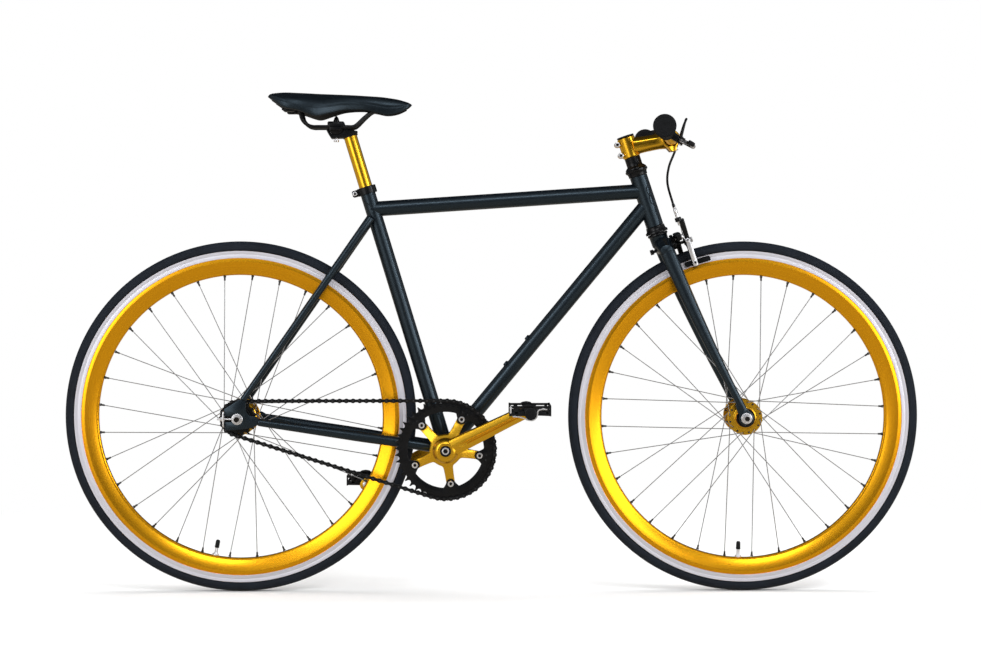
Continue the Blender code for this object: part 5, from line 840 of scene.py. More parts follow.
def make_frame_fittings():
    """Seat clamp, headset cups, bottom bracket cups, rear axle and chain tensioners."""
    skin = Skin()
    inner, outer = 0.0146, 0.0184
    base, top = SEAT_TUBE_TOP - 0.012, SEAT_TUBE_TOP + 0.002
    shelf = SEAT_TUBE_TOP + 0.0003
    section = np.array(
        sleeve(inner, outer, base, top, 0.0006)[:-1] + [(0.013, top), (0.013, shelf), (inner, shelf)]
    )
    skin.add(SEAT(swept(section, -174, 174, 61)))
    for side in (-1, 1):
        ear = [
            (-0.0285, base + 0.001), (-0.0165, base + 0.0006), (-0.0165, top - 0.0006),
            (-0.0285, top - 0.001),
        ]
        place = Place(SEAT([0, side * 0.0048, 0]), SEAT_AHEAD, SEAT_UP, LEFT)
        skin.add(slab(soften(ear, 0.003, 6), -0.0038, 0.0037, 0.0006, place))
    middle = (base + top) / 2
    bolt(skin, SEAT([-0.0232, -0.0086, middle]), -LEFT, 0.0042, 0.0042, 0.004, 1, 2)
    bolt(skin, SEAT([-0.0232, 0.0085, middle]), LEFT, 0.0042, 0.003, 0.0, 1, 2)
    skin.build("Seat clamp", "frame", ["black_alloy", "bright_steel", "dark_hole"], ["seat_clamp"], crease=30)

    cup = mm(
        (13.3, 0), (21, 0), (21.5, -0.5), (21.5, -3.8), (21.1, -4.5), (19.6, -5.2), (18.4, -7.5), (18, -11),
        (18, -12.8), (17.2, -13.5), (13.3, -13.5),
    )
    for name, base_height, way, node in (
        ("Upper headset cup", HEAD_TOP + 0.0138, STEER_UP, "headset_upper_cup"),
        ("Lower headset cup", HEAD_BASE - 0.0138, -STEER_UP, "headset_lower_cup"),
    ):
        skin = Skin()
        skin.add(turned(cup, STEER([0, 0, base_height]), way, 64), torus=True)
        skin.build(name, "frame", ["black_alloy"], [node], crease=30)

    skin = Skin()
    notch = np.where(np.mod(np.arange(96), 12) < 3, 0.0012, 0.0)
    bracket_cup = (
        (0.016, -0.001, 0), (0.0205, 0.0003, 1), (0.0205, 0.0031, 1), (0.0201, 0.0035, 1), (0.017, 0.0035, 0),
        (0.0166, 0.003, 0), (0.0092, 0.003, 0), (0.0092, -0.001, 0),
    )
    for side in (-1, 1):
        rows = [(radius, side * (SHELL_HALF + out), -cut) for radius, out, cut in bracket_cup]
        skin.add(wavy_rings(rows, BOTTOM_BRACKET, LEFT, notch), [0, 0, 0, 0, 1, 1, 1])
    straight_tube(skin, BOTTOM_BRACKET - LEFT * SHELL_HALF, BOTTOM_BRACKET + LEFT * SHELL_HALF, 0.016, 48, 1)
    skin.build(
        "Bottom bracket cartridge", "frame", ["bright_steel", "black_plastic"], ["bottom_bracket_cartridge"],
        crease=30,
    )

    make_axle("Rear axle", "frame", REAR_HUB, 0.005, 0.06, "rear_axle")
    for side, label in SIDES:
        skin = Skin()
        centre = REAR_HUB + [-0.0258, side * TRACK_END, 0]
        outline = soften(mm((-7.5, -15), (7.5, -15), (7.5, 15), (-7.5, 15)), 0.005, 6)
        skin.add(slab(outline, -0.0015, 0.0015, 0.0004, Place(centre, LEFT, UP, AHEAD)))
        height = np.linspace(0, 1, 49)
        thread = 0.0021 + 0.00012 * np.cos(height * 36 * np.pi)
        screw = np.stack([thread, height * 0.0307], -1)
        skin.add(turned(screw, centre - AHEAD * 0.012, AHEAD, 20))
        nut = hexagon(0.0078, 36)
        place = Place(centre - AHEAD * 0.0055, LEFT, UP, AHEAD)
        skin.add(slab(nut, 0.0, 0.004, 0.0004, place))
        skin.build(
            f"Chain tensioner {label}", "frame", ["bright_steel"], [f"chain_tensioner_{label}"], crease=30,
        )


def make_axle(name, body, centre, radius, half, node):
    """Axle with a hexagon nut and a serrated washer outside each fork end."""
    skin = Skin()
    end = half + 0.006 + 0.0145
    inside = half - 0.0003
    cone = 0.0086
    half_profile = [
        (0.001, end - 0.0012), (0.0022, end), (radius - 0.001, end), (radius, end - 0.001), (radius, inside),
        (cone, inside), (cone, inside - 0.004), (cone - 0.0008, inside - 0.0046), (cone, inside - 0.0052),
        (cone, inside - 0.012), (radius, inside - 0.015),
    ]
    profile = half_profile + [(r, -h) for r, h in half_profile[::-1]]
    # The axle takes the near-black painted shade, so its end shows as a dark centre
    skin.add(turned(profile, centre, LEFT, 40), 2)
    serration = 0.0002 * (np.mod(np.arange(120), 4) < 2)
    face = half + 0.0063
    washer = (
        (radius, -0.0003), (0.0098, -0.0003), (0.0103, 0.0002), (0.0103, 0.0013), (0.0099, 0.0017),
        (0.0078, 0.0019), (radius, 0.0019),
    )
    nut = hexagon(0.015, 48)
    far = np.linalg.norm(nut, axis=1, keepdims=True)
    for side in (-1, 1):
        rows = [(r, side * (face + h), r > 0.01) for r, h in washer]
        skin.add(wavy_rings(rows, centre, LEFT, serration), 0)
        place = Place(centre + LEFT * side * (face + 0.001), AHEAD, UP, LEFT * side)
        rings = []
        for share, h in ((0.93, 0.0), (1.0, 0.0006), (1.0, 0.008), (0.94, 0.009), (0.7, 0.0092)):
            limit = 0.0086 * (1.0 if h < 0.0085 else 0.94)
            rings.append(level(place, nut * share * np.minimum(1, limit / (far * share)), h))
        skin.add(np.array(rings), 0)
    skin.build(name, body, ["bright_steel", "black_alloy", "dark_hole"], [node], crease=30)


# Fork and cockpit, in the steering frame: ahead, left and up the steerer

STEM_LENGTH, STEM_DROP = 0.08, np.radians(8)
STEM_AHEAD = np.array([np.cos(STEM_DROP), 0, -np.sin(STEM_DROP)])
STEM_UP = np.array([np.sin(STEM_DROP), 0, np.cos(STEM_DROP)])
STEM_MIDDLE = (STEM_BASE + STEM_TOP) / 2
BAR_CENTRE = STEM_AHEAD * STEM_LENGTH + [0, 0, STEM_MIDDLE + 0.0005]


def make_fork():
    """Crown, oval blades that curve ahead, flat tips with a slot, and the steerer."""
    skin = Skin()
    height = BRAKE_HEIGHT
    crown_top = CROWN_RACE - 0.0003
    steerer = [
        (0.0118, height), (0.0127, height + 0.001), (0.0127, STEM_TOP - 0.0035), (0.0118, STEM_TOP - 0.003),
    ]
    skin.add(turned(steerer, STEER_FOOT, STEER_UP, 48), 1)
    seat = [
        (0.013, height + 0.004), (0.0166, height + 0.008), (0.0172, crown_top - 0.0066),
        (0.018, crown_top - 0.005), (0.0194, crown_top - 0.004), (0.0194, crown_top - 0.0022),
        (0.0186, crown_top - 0.0004), (0.0127, crown_top),
    ]
    skin.add(turned(seat, STEER_FOOT, STEER_UP, 64), [0, 0, 0, 1, 1, 1, 1])
    share = np.linspace(-1, 1, 41)
    a = np.abs(share)
    lift = 0.006 - 0.01 * smooth((a - 0.35) / 0.6)
    deep = 0.0166 - 0.0041 * smooth((a - 0.3) / 0.65)
    tall = 0.0166 - 0.006 * smooth((a - 0.35) / 0.6)
    close = np.sqrt(np.clip(1 - np.clip((a - 0.9) / 0.1, 0, 1) ** 2 * 0.94, 0, 1))
    ring = circle(40)
    c, s = ring.T
    across = np.sign(c) * np.abs(c) ** 0.86
    rise = np.sign(s) * np.abs(s) ** 0.86
    points = np.stack(
        [
            0.003 + (deep * close)[:, None] * across,
            np.broadcast_to((share * 0.043)[:, None], (41, 40)),
            height + lift[:, None] + (tall * close)[:, None] * rise,
        ],
        -1,
    )
    skin.add(STEER(points), 0)
    skin.build(
        "Fork crown", "fork_and_bars", ["frame_paint", "black_alloy", "bright_steel"], ["fork_crown"],
        crease=34,
    )

    crown, foot = height - 0.004, 0.016
    for side, label in SIDES:
        skin = Skin()
        t = np.concatenate([[-0.035, -0.032, -0.022], np.linspace(0, 1, 34)])
        t0 = np.clip(t, 0, 1)
        deep = np.interp(t0, [0, 0.12, 0.35, 0.6, 0.82, 1], [0.0145, 0.014, 0.012, 0.0098, 0.0078, 0.007])
        wide = np.interp(t0, [0, 0.12, 0.35, 0.6, 0.82, 1], [0.0092, 0.009, 0.0082, 0.0075, 0.0068, 0.0046])
        cap = np.where(t < 0, np.sqrt(np.clip(1 - (t / 0.036) ** 2, 0, 1)), 1.0)
        ahead = 0.004 + (FORK_RAKE - 0.004) * (0.62 * t + 0.38 * t ** 2 * np.sign(t))
        out = 0.0335 + (FORK_TIP - 0.0335) * np.minimum(1.0, t0 / 0.97)
        ring = circle(36)
        points = np.stack(
            [
                ahead[:, None] + (deep * cap)[:, None] * ring[:, 0],
                side * out[:, None] + (wide * cap)[:, None] * ring[:, 1],
                np.broadcast_to((crown + (foot - crown) * t)[:, None], (len(t), 36)),
            ],
            -1,
        )
        skin.add(STEER(points), 0)
        slot = 0.0048
        outline = np.concatenate([
            arc((0, 0), slot, 180, 0, 14), [(slot, -0.0125)], arc((0, 0), 0.014, -64, 50, 14),
            mm((5, 20), (3.5, 30), (-11.5, 30), (-12.5, 20)), arc((0, 0), 0.014, 140, 244, 14),
            [(-slot, -0.0125)],
        ])
        place = Place(STEER([FORK_RAKE, side * FORK_TIP, 0]), STEER_AHEAD, STEER_UP, LEFT)
        skin.add(slab(outline, -0.003, 0.003, 0.0006, place), 0)
        skin.build(f"Fork blade {label}", "fork_and_bars", ["frame_paint"], [f"fork_blade_{label}"])
    make_axle("Front axle", "fork_and_bars", FRONT_HUB, 0.0045, 0.05, "front_axle")


def make_stem():
    """Faceted stem: eight flats drawn from the steerer clamp to the bar clamp, split at both ends."""
    skin = Skin()
    section = sleeve(0.013, 0.0167, STEM_BASE, STEM_TOP, 0.0012)
    skin.add(STEER(swept(section, -176.2, 176.2, 73)), 0)
    for height in (STEM_MIDDLE + 0.011, STEM_MIDDLE - 0.0105):
        lobe = np.concatenate([
            arc((-0.019, height), 0.0056, 90, 270, 18),
            [(-0.012, height - 0.0064), (-0.012, height + 0.0064)],
        ])
        for side in (-1, 1):
            place = Place(STEER([0, side * 0.0058, 0]), STEER_AHEAD, STEER_UP, LEFT)
            skin.add(slab(lobe, -0.0047, 0.0047, 0.0012, place), 0)
        bolt(skin, STEER([-0.0202, -0.01, height]), -LEFT, 0.005, 0.0046, 0.0044, 1, 2)
        bolt(skin, STEER([-0.0202, 0.01, height]), LEFT, 0.0046, 0.0016, 0.0, 1, 2)

    base = np.array([0, 0, STEM_MIDDLE + 0.0005])
    reach = BAR_CENTRE - base
    stations = [
        (0.1, 0.0158, 0.017), (0.24, 0.0152, 0.0158), (0.4, 0.015, 0.015), (0.6, 0.015, 0.0146),
        (0.72, 0.0155, 0.0146), (0.8, 0.0172, 0.0152), (0.9, 0.019, 0.0166), (0.995, 0.0194, 0.0166),
    ]
    cut = 0.46
    octagon = [(-1, -cut), (-cut, -1), (cut, -1), (1, -cut), (1, cut), (cut, 1), (-cut, 1), (-1, cut)]
    flats = soften(octagon, 0.1, 3)
    rings = []
    for share, wide, tall in stations:
        local = base + reach * share + flats[:, :1] * wide * LEFT + flats[:, 1:] * tall * STEM_UP
        rings.append(STEER(local))
    skin.add(np.array(rings), 0)

    turn = Place(STEER(BAR_CENTRE), STEER.way(STEM_AHEAD), STEER.way(STEM_UP), LEFT)
    back = np.concatenate([
        arc((0, 0), 0.0178, 122, 238, 24), mm((-6, -20.5), (-4.5, -23.2), (0.4, -23.5), (0.4, -13.1)),
        arc((0, 0), 0.013, 268.5, 91.5, 26), mm((0.4, 13.1), (0.4, 23.5), (-4.5, 23.2), (-6, 20.5)),
    ])
    skin.add(slab(back, -0.02, 0.02, 0.0012, turn), 0)
    skin.build("Stem", "fork_and_bars", ["gold_polished", "bright_steel", "dark_hole"], ["stem"], crease=24)

    skin = Skin()
    face = np.concatenate([
        mm((1, 13.1), (1, 23.6), (5.2, 23.6), (6.2, 22.2), (7.5, 18)),
        arc((0, 0), 0.0177, 62, -62, 30),
        mm((7.5, -18), (6.2, -22.2), (5.2, -23.6), (1, -23.6), (1, -13.1)),
        arc((0, 0), 0.013, -85.5, 85.5, 26),
    ])
    skin.add(slab(face, -0.02, 0.02, 0.0014, turn), 0)
    for side in (-1, 1):
        for up in (-1, 1):
            spot = turn([0.006, up * 0.0198, side * 0.0125])
            bolt(skin, spot, STEER.way(STEM_AHEAD), 0.0035, 0.0044, 0.0036, 1, 2)
    skin.build(
        "Stem faceplate", "fork_and_bars", ["gold_polished", "bright_steel", "dark_hole"], ["stem_faceplate"],
        crease=24,
    )

    skin = Skin()
    profile = mm((13, 0), (20, 0), (20.5, 0.6), (20.1, 2.2), (17, 5.5), (15.2, 6.8), (15, 7.3))
    for joint in (14, 19):
        profile += mm((15, joint - 0.2), (14.7, joint), (15, joint + 0.2))
    profile += mm((15, 23.6), (14.6, 24), (13, 24))
    skin.add(turned(profile, STEER([0, 0, SPACER_BASE]), STEER_UP, 64), torus=True)
    skin.build("Headset spacers", "fork_and_bars", ["black_alloy"], ["headset_spacer"], crease=28)

    skin = Skin()
    cap = mm(
        (16, 0.2), (16.6, 0.7), (16.6, 1.8), (15.5, 3.2), (12.5, 3.2), (10, 3.6), (6.2, 3.6), (5.2, 2),
        (4.8, 1.8),
    )
    skin.add(turned(cap, STEER([0, 0, STEM_TOP]), STEER_UP, 64))
    bolt(skin, STEER([0, 0, STEM_TOP + 0.0006]), STEER_UP, 0.0044, 0.0026, 0.0044, 1, 2)
    skin.build(
        "Stem top cap", "fork_and_bars", ["black_alloy", "bright_steel", "dark_hole"], ["stem_top_cap"],
        crease=28,
    )


def bar_path():
    """Centre line of the bar in the steering frame, from the right end to the left one."""
    ahead, up = STEER.axes @ AHEAD, STEER.axes @ UP
    stations = np.array(mm(
        (0, 0, 0), (26, 0, 0), (34, -1.5, 1.5), (42, -6, 5.5), (49, -9.5, 8.3), (56, -11.6, 9.4),
        (205, -30, 12),
    ))
    left = BAR_CENTRE + stations[:, :1] * [[0, 1, 0]] + stations[:, 1:2] * ahead + stations[:, 2:] * up
    return np.concatenate([left[::-1] * [1, -1, 1], left[1:]])


def make_handlebar():
    """Bar bent along its stations: thick in the middle, slimmer past the bends."""
    path = soften(bar_path(), 0.0045, 5, closed=False)
    slim = smooth((np.abs(path[:, 1]) - 0.046) / 0.012)
    radius = 0.0127 + (0.0111 - 0.0127) * slim
    skin = Skin()
    skin.add(tube(STEER(path), radius, 40, UP))
    skin.build("Handlebar", "fork_and_bars", ["gold_bar"], ["handlebar"])


def make_grips():
    """Rubber grips: rings along the body, a flange inside and a broad domed end outside."""
    points = bar_path()
    for side, label in SIDES:
        end, near = (points[0], points[1]) if side < 0 else (points[-1], points[-2])
        along = unit(STEER.way(near - end))
        skin = Skin()
        body = 0.0155
        profile = mm((11.4, 125), (15, 125), (16.4, 123.8), (16.5, 121), (15.8, 119))
        height = np.linspace(0.118, 0.01, 145)
        rib = 0.00045 * (1 + np.cos(height * TAU / 0.0045)) / 2
        rib = np.where((height > 0.05) & (height < 0.082), 0.00018, rib)
        swell = 0.0004 * np.sin((height - 0.01) / 0.108 * np.pi)
        profile += list(zip(body - 0.0007 + rib + swell, height))
        profile += mm(
            (15.6, 8.2), (17.5, 6.2), (20.5, 4.6), (21.2, 3), (21.2, -1.2), (20.6, -3), (19, -3.8), (15, -4),
            (14.4, -3.7), (13.8, -4), (6, -4), (4, -3), (1, -2.9),
        )
        skin.add(turned(profile, STEER(end), along, 56))
        skin.build(f"Grip {label}", "fork_and_bars", ["soft_rubber"], [f"grip_{label}"], crease=50)


def lever_frame():
    """Place on the bar inside the right grip: out along the bar, ahead to the lever, and up."""
    points = bar_path()
    outward = unit(points[0] - points[1])
    start = points[0] - outward * (0.125 + 0.0092)
    forward = STEER.axes @ np.array([np.cos(np.radians(32)), 0, -np.sin(np.radians(32))])
    forward = unit(forward - outward * (forward @ outward))
    up = np.cross(outward, forward)
    return Place(STEER(start), STEER.way(outward), STEER.way(forward), STEER.way(up))


def make_brake_lever():
    """Hinged clamp with a cupped bracket, a cable nose with its ferrule, and the curved blade."""
    lever, pivot = lever_frame(), np.array([0.002, 0.033, 0.0])
    skin = Skin()
    clamp = swept(sleeve(0.0114, 0.0153, -0.0075, 0.0075, 0.0007), 0, 354, 60)
    skin.add(lever(clamp[..., [2, 0, 1]]), 0, torus=True)
    body = soften(mm(
        (-15, 8), (8, 8), (8, 25.5), (4.6, 26.2), (4, 26.2), (-6.5, 26.2), (-8, 28), (-8.5, 37), (-15, 37),
    ), 0.002, 4)
    skin.add(slab(body, -0.0068, 0.0068, 0.0016, lever), 0)
    for up in (-1, 1):
        cheek = soften(mm((-15, 10), (8, 10), (8, 34), (4, 37.5), (-15, 37.5)), 0.004, 6)
        low, high = (0.0037, 0.0069) if up > 0 else (-0.0069, -0.0037)
        skin.add(slab(cheek, low, high, 0.0008, lever), 0)
        socket = 0.0026 if up > 0 else 0
        bolt(skin, lever(pivot + [0, 0, up * 0.0067]), lever.way([0, 0, up]), 0.0034, 0.0018, socket, 1, 2)
    nose = mm((2.4, 28), (4, 28), (4.6, 27.2), (4.6, 21.5), (4, 20.8), (4.6, 20), (4.6, 11))
    skin.add(turned(nose, lever([0, 0.029, 0]), lever.way([-1, 0, 0]), 32), 0)
    bolt(skin, lever([0, -0.014, 0.0]), lever.way([0, -1, 0]), 0.0032, 0.0024, 0.003, 1, 2)
    skin.build(
        "Brake lever bracket", "fork_and_bars", ["black_alloy", "bright_steel", "dark_hole"],
        ["brake_lever_bracket"], crease=34
    )

    skin = Skin()
    blade = np.concatenate([
        arc((0, 0), 0.0062, 90, 250, 10), mm(
            (4, -5), (14, 3), (26, 16), (35, 19.6), (44, 21.2), (56, 21.2), (68, 20), (82, 18),
        ), arc((0.0945, 0.0225), 0.006, -80, 90, 10),
        mm((82, 28.6), (70, 29), (56, 30), (44, 30.2), (33, 29), (23, 26.2), (15, 20), (9, 12)),
    ])
    place = Place(lever(pivot), *lever.axes)
    skin.add(slab(soften(blade, 0.003, 3), -0.0034, 0.0034, 0.0022, place, 5), 0)
    knob = soften(arc((0.0945, 0.0225), 0.0068, 0, 345, 24), 0.001, 2)
    skin.add(slab(knob, -0.0042, 0.0042, 0.002, place, 5), 1)
    skin.build("Brake lever", "brake_lever", ["bright_steel", "black_plastic"], ["brake_lever"], crease=40)


def make_cable():
    """Housing along its route, with a ferrule at each end, and the bare wire below the adjuster."""
    lever = lever_frame()
    nose = lever([-0.0283, 0.029, 0])
    out_way = lever.way([-1, 0, 0])
    route = np.array(mm(
        (113, -25, -9.5), (120.3, -4, -3.5), (114.3, 14, -12.1), (101.9, 23.5, -30.1), (83.2, 23, -54.4),
        (62.3, 16, -79.1), (48.7, 2, -107.2),
    ))
    barrel_top = STEER([CABLE_AHEAD, CABLE_LEFT, BRAKE_HEIGHT + 0.0663])
    points = np.concatenate([
        [nose, nose + out_way * 0.01], STEER(route + [0, 0, STEM_TOP]),
        [barrel_top + STEER_UP * 0.012, barrel_top],
    ])
    skin = Skin()
    skin.add(tube(spline(points, 160), 0.00225, 20, LEFT), 0)
    for centre, way in ((nose, out_way), (barrel_top, STEER_UP)):
        ferrule = mm((2, 0), (3, 0.2), (3.1, 1), (3.1, 8), (2.8, 8.6), (2.4, 8.8))
        skin.add(turned(ferrule, centre, way, 28), 1)
    skin.build(
        "Brake cable housing", "fork_and_bars", ["housing_black", "bright_steel"], ["brake_cable_housing"],
    )

    skin = Skin()
    count, turns = 60, 14
    height = np.linspace(0.002, 0.052, count)
    strand = circle(15)
    lobes = 0.00066 + 0.00014 * np.abs(np.cos(np.arange(15) * np.pi / 2.5))
    twist = (height - height[0]) * turns * 5
    c, s = np.cos(twist), np.sin(twist)
    ring = strand * lobes[:, None]
    x = CABLE_AHEAD + c[:, None] * ring[None, :, 0] - s[:, None] * ring[None, :, 1]
    y = CABLE_LEFT + s[:, None] * ring[None, :, 0] + c[:, None] * ring[None, :, 1]
    points = np.stack([x, y, np.broadcast_to((BRAKE_HEIGHT + height)[:, None], x.shape)], -1)
    skin.add(STEER(points))
    skin.build("Brake inner cable", "caliper_left", ["cable_wire"], ["brake_inner_cable"])


def make_caliper():
    """Dual-pivot brake: bolt, two curved arms, pads in their holders, adjuster and cable clamp."""
    height, along = BRAKE_HEIGHT, STEER.way(AHEAD)

    def facing(spot):
        """Place seen from ahead: its own axes point left, up the steerer and ahead."""
        return Place(STEER(spot), LEFT, STEER_UP, along)

    skin = Skin()
    axis = mm((2.6, -23), (3, -22.4), (3, 59.4), (2.6, 60))
    skin.add(turned(axis, STEER([0, 0, height]), along, 28), 0)
    seat = mm((8.5, 20.3), (8.5, 23), (8, 23.6), (8, 26.8), (7.2, 27.5))
    skin.add(turned(seat, STEER([0, 0, height]), along, 40), 0)
    for start, thick, size in mm((-24, 6.2, 9.8), (55.7, 4.2, 9.8)):
        skin.add(slab(hexagon(size, 36), 0, thick, 0.0004, facing([start, 0, height])), int(start > 0))
    bridge = np.concatenate([arc((0, 0), 0.0086, 120, 330, 18), arc((0.023, 0.0135), 0.0066, -40, 110, 14)])
    skin.add(slab(bridge, -0.003, 0.003, 0.0006, facing([0.0245, 0, height])), 0)
    pivot_up = 0.0135
    side_pivot = np.array([0, 0.023, height + pivot_up])
    stud = mm((2.8, 23), (3, 23.4), (3, 43.2), (2.6, 44))
    skin.add(turned(stud, STEER(side_pivot), along, 24), 0)
    skin.build("Caliper bolt", "fork_and_bars", ["black_alloy", "bright_steel"], ["caliper_bolt"], crease=32)

    pad_shift = 0.009
    pad_radius, pad_ahead = RIM_RADIUS - 0.007, FORK_RAKE + pad_shift
    pad_height = np.sqrt(pad_radius ** 2 - pad_shift ** 2)
    drop = height - pad_height
    sole = drop + 0.008

    right = np.concatenate([
        arc((0, 0), 0.0085, -60, 62, 12),
        mm(
            (-10, 13.6), (-16.5, 21.5), (-21.5, 30), (-24, 37), (-25, 44), (-35, 44), (-35, 36),
            (-32.5, 25), (-27.2, 11), (-27.2, 0), (-29.5, -10), (-31.2, -22),
        ),
        [(-0.0312, -sole), (-0.0236, -sole)], mm((-23.6, -26), (-21.5, -17), (-15, -9.8), (-6, -8)),
    ])
    skin = Skin()
    skin.add(slab(soften(right, 0.003, 3), -0.005, 0.005, 0.0014, facing([0.048, 0, height]), 4), 1)
    leg_place = Place(STEER([0.048, -0.0305, height]), along, STEER_UP, -LEFT)
    leg_end = [(0.0044, 0.001 - sole), (-0.0044, 0.001 - sole)]
    leg = mm((-3.6, 1), (3.6, 1), (4.6, -13)) + leg_end + mm((-4.6, -13))
    skin.add(slab(soften(leg, 0.003, 4), -0.0014, 0.0016, 0.0006, leg_place), 0)
    bolt(skin, leg_place([0, -drop, 0.0016]), -LEFT, 0.0042, 0.003, 0.004, 0, 3)
    bolt(skin, leg_place([-0.0005, 0.001, 0.0]), -LEFT, 0.0046, 0.0036, 0.004, 0, 3)
    line = STEER([CABLE_AHEAD, CABLE_LEFT, height])
    barrel = mm(
        (3, 33), (3.4, 33.6), (3.4, 40), (6, 40.2), (6.2, 40.6), (6.2, 47.4), (6, 48), (3.4, 48.2), (3.4, 56),
        (3.1, 56.2), (3.4, 57), (3.6, 58), (3.6, 64), (3.2, 65.2), (2.2, 66),
    )
    skin.add(turned(barrel, line, STEER_UP, 36), [0, 0, 1, 1, 1, 1, 1, 0, 0, 0, 0, 0, 0, 0])
    bolt(skin, STEER([0.053, 0, height]), along, 0.0062, 0.0022, 0.0, 0, 3)
    skin.build(
        "Caliper arm_right", "caliper_right", ["bright_steel", "black_alloy", "soft_rubber", "dark_hole"],
        ["caliper_arm_right"], crease=34,
    )

    left = np.concatenate([
        mm(
            (-59, -4.6), (-52, -8.8), (-43, -6.6), (-32, -4.2), (-20, -4.6), (-11, -6.2), (-7.5, -10.5),
            (-5, -18), (-1.8, -26), (0.5, -33),
        ),
        [(0.0005, -pivot_up - sole), (0.0085, -pivot_up - sole)], mm((9, -30), (9.2, -20), (9, -8), (8.5, 1)),
        arc((0, 0), 0.0078, 20, 120, 8),
        mm((-16, 8.5), (-28, 8), (-42, 7.6), (-52, 6.8), (-59, 4.8)),
    ])
    skin = Skin()
    skin.add(slab(soften(left, 0.003, 3), -0.0045, 0.0045, 0.0014, facing([0.034, 0, 0] + side_pivot), 4), 1)
    foot = soften(mm((0.4, -10), (9.2, -10), (9.2, 10), (0.4, 10)), 0.002, 4)
    skin.add(slab(foot, -0.012, 0.012, 0.001, facing(side_pivot + [0.041, 0, 0.002 - pivot_up - drop])), 1)
    spot = side_pivot + np.array([0, -0.053, -0.002])
    bolt(skin, STEER(spot + [0.03, 0, 0]), along, 0.0045, 0.0118, 0.0, 0, 3)
    bolt(skin, STEER(side_pivot + [0.0385, 0, 0]), along, 0.0056, 0.003, 0.0036, 0, 3)
    skin.build(
        "Caliper arm_left", "caliper_left", ["bright_steel", "black_alloy", "soft_rubber", "dark_hole"],
        ["caliper_arm_left"], crease=34,
    )

    tilt = np.arctan2(pad_shift, pad_height)
    forward = np.array([np.cos(tilt), 0, -np.sin(tilt)])
    upward = np.array([np.sin(tilt), 0, np.cos(tilt)])
    outline = soften(mm((-24.8, -4.8), (24.8, -4.8), (24.8, 4.8), (-24.8, 4.8)), 0.0022, 5)
    for side, label in SIDES:
        skin = Skin()
        place = Place(STEER([pad_ahead, 0, pad_height]), STEER.way(forward), STEER.way(upward), LEFT * side)
        rings = []
        for y, amount in mm(
            (14.2, 1.2), (15, 0.3), (17.2, 0), (17.4, 0.5), (18, 0.5), (18.2, 0), (22.2, 0), (22.9, 0.6),
        ):
            rings.append(level(place, inset(outline, amount), y))
        skin.add(np.array(rings), [0, 0, 0, 0, 1, 1, 1])
        skin.build(
            f"Brake pad {label}", f"caliper_{label}", ["soft_rubber", "black_alloy"], [f"brake_pad_{label}"],
            crease=34,
        )


# Wheels


def make_rim(name, body, centre, node, label):
    """Deep rim: two lips, upright brake tracks with a wear groove, a body that narrows to a round nose."""
    half = mm((307, 8), (315, 10.8), (315.8, 11.2), (316, 11.6), (315.7, 12))
    half += mm((310, 12), (309.7, 11.85), (309.3, 11.85), (309, 12), (302.4, 12))
    half += mm((302.1, 11.3), (301.7, 11.2), (301.3, 11.3), (300.8, 11.4), (295.8, 12.2))
    t = np.linspace(0, 1, 12)
    body_r = 0.2952 + (0.2735 - 0.2952) * t
    body_y = 0.0122 - 0.0048 * t - 0.0028 * t ** 2
    half += list(zip(body_r, body_y))
    nose = np.radians(np.linspace(20, 90, 6))
    half += list(zip(0.2735 - 0.0035 * np.sin(nose), 0.0048 * np.cos(nose)))
    profile = mirrored(half)
    slots = np.full(len(profile), 0)
    slots[4:9] = 1
    slots[len(profile) - 10:len(profile) - 5] = 1
    skin = Skin()
    skin.add(turned(profile, centre, LEFT, 180), slots, torus=True)
    skin.build(name, body, [f"rim_gold_{label}", f"brake_track_{label}"], [node], crease=30)


def make_tyre(name, body, centre, node):
    """Tyre: a round casing with a slightly pointed crown, raised rubber edges and narrow beads."""
    angle = np.radians(np.linspace(-133, 133, 61))
    radius = 0.0115 + 0.00025 * np.exp(-((np.abs(np.degrees(angle)) - 62) / 5.0) ** 2)
    r = 0.32215 + radius * 1.03 * np.cos(angle)
    r = np.minimum(r, TYRE_RADIUS - 0.00002 * (1 - np.cos(angle)))
    y = radius * 1.025 * np.sin(angle)
    keep = r > 0.3135
    edge = np.where(keep, 1.0, 0.0)
    y = y * edge + (1 - edge) * np.sign(y) * (0.0077 + (r - 0.3075).clip(0) * 0.45)
    inner = mm((309, 5), (311, 2), (311, -2), (309, -5))
    profile = np.concatenate([np.stack([r, y], -1), inner])
    across = np.concatenate([np.linspace(0, 1, 61), [1, 1, 0, 0, 0]])
    skin = Skin()
    skin.add(turned(profile, centre, LEFT, 220), torus=True, across=across)
    skin.build(name, body, ["tyre_rubber"], [node], crease=70)


def spoke_ends(first_hole):
    """Rim angle, hub angle, side and sense of every spoke.

    Holes change sides one by one and senses two by two. A spoke that crosses three others lies three
    hub holes off, and each flange has half of the holes.
    """
    index = np.arange(SPOKES)
    rim_angle = first_hole + index * TAU / SPOKES
    side = np.where(index % 2 == 0, 1, -1)
    leading = np.where((index // 2) % 2 == 0, 1, -1)
    hub_angle = rim_angle + leading * 3 * 2 * TAU / SPOKES
    return list(zip(rim_angle, hub_angle, side, leading))


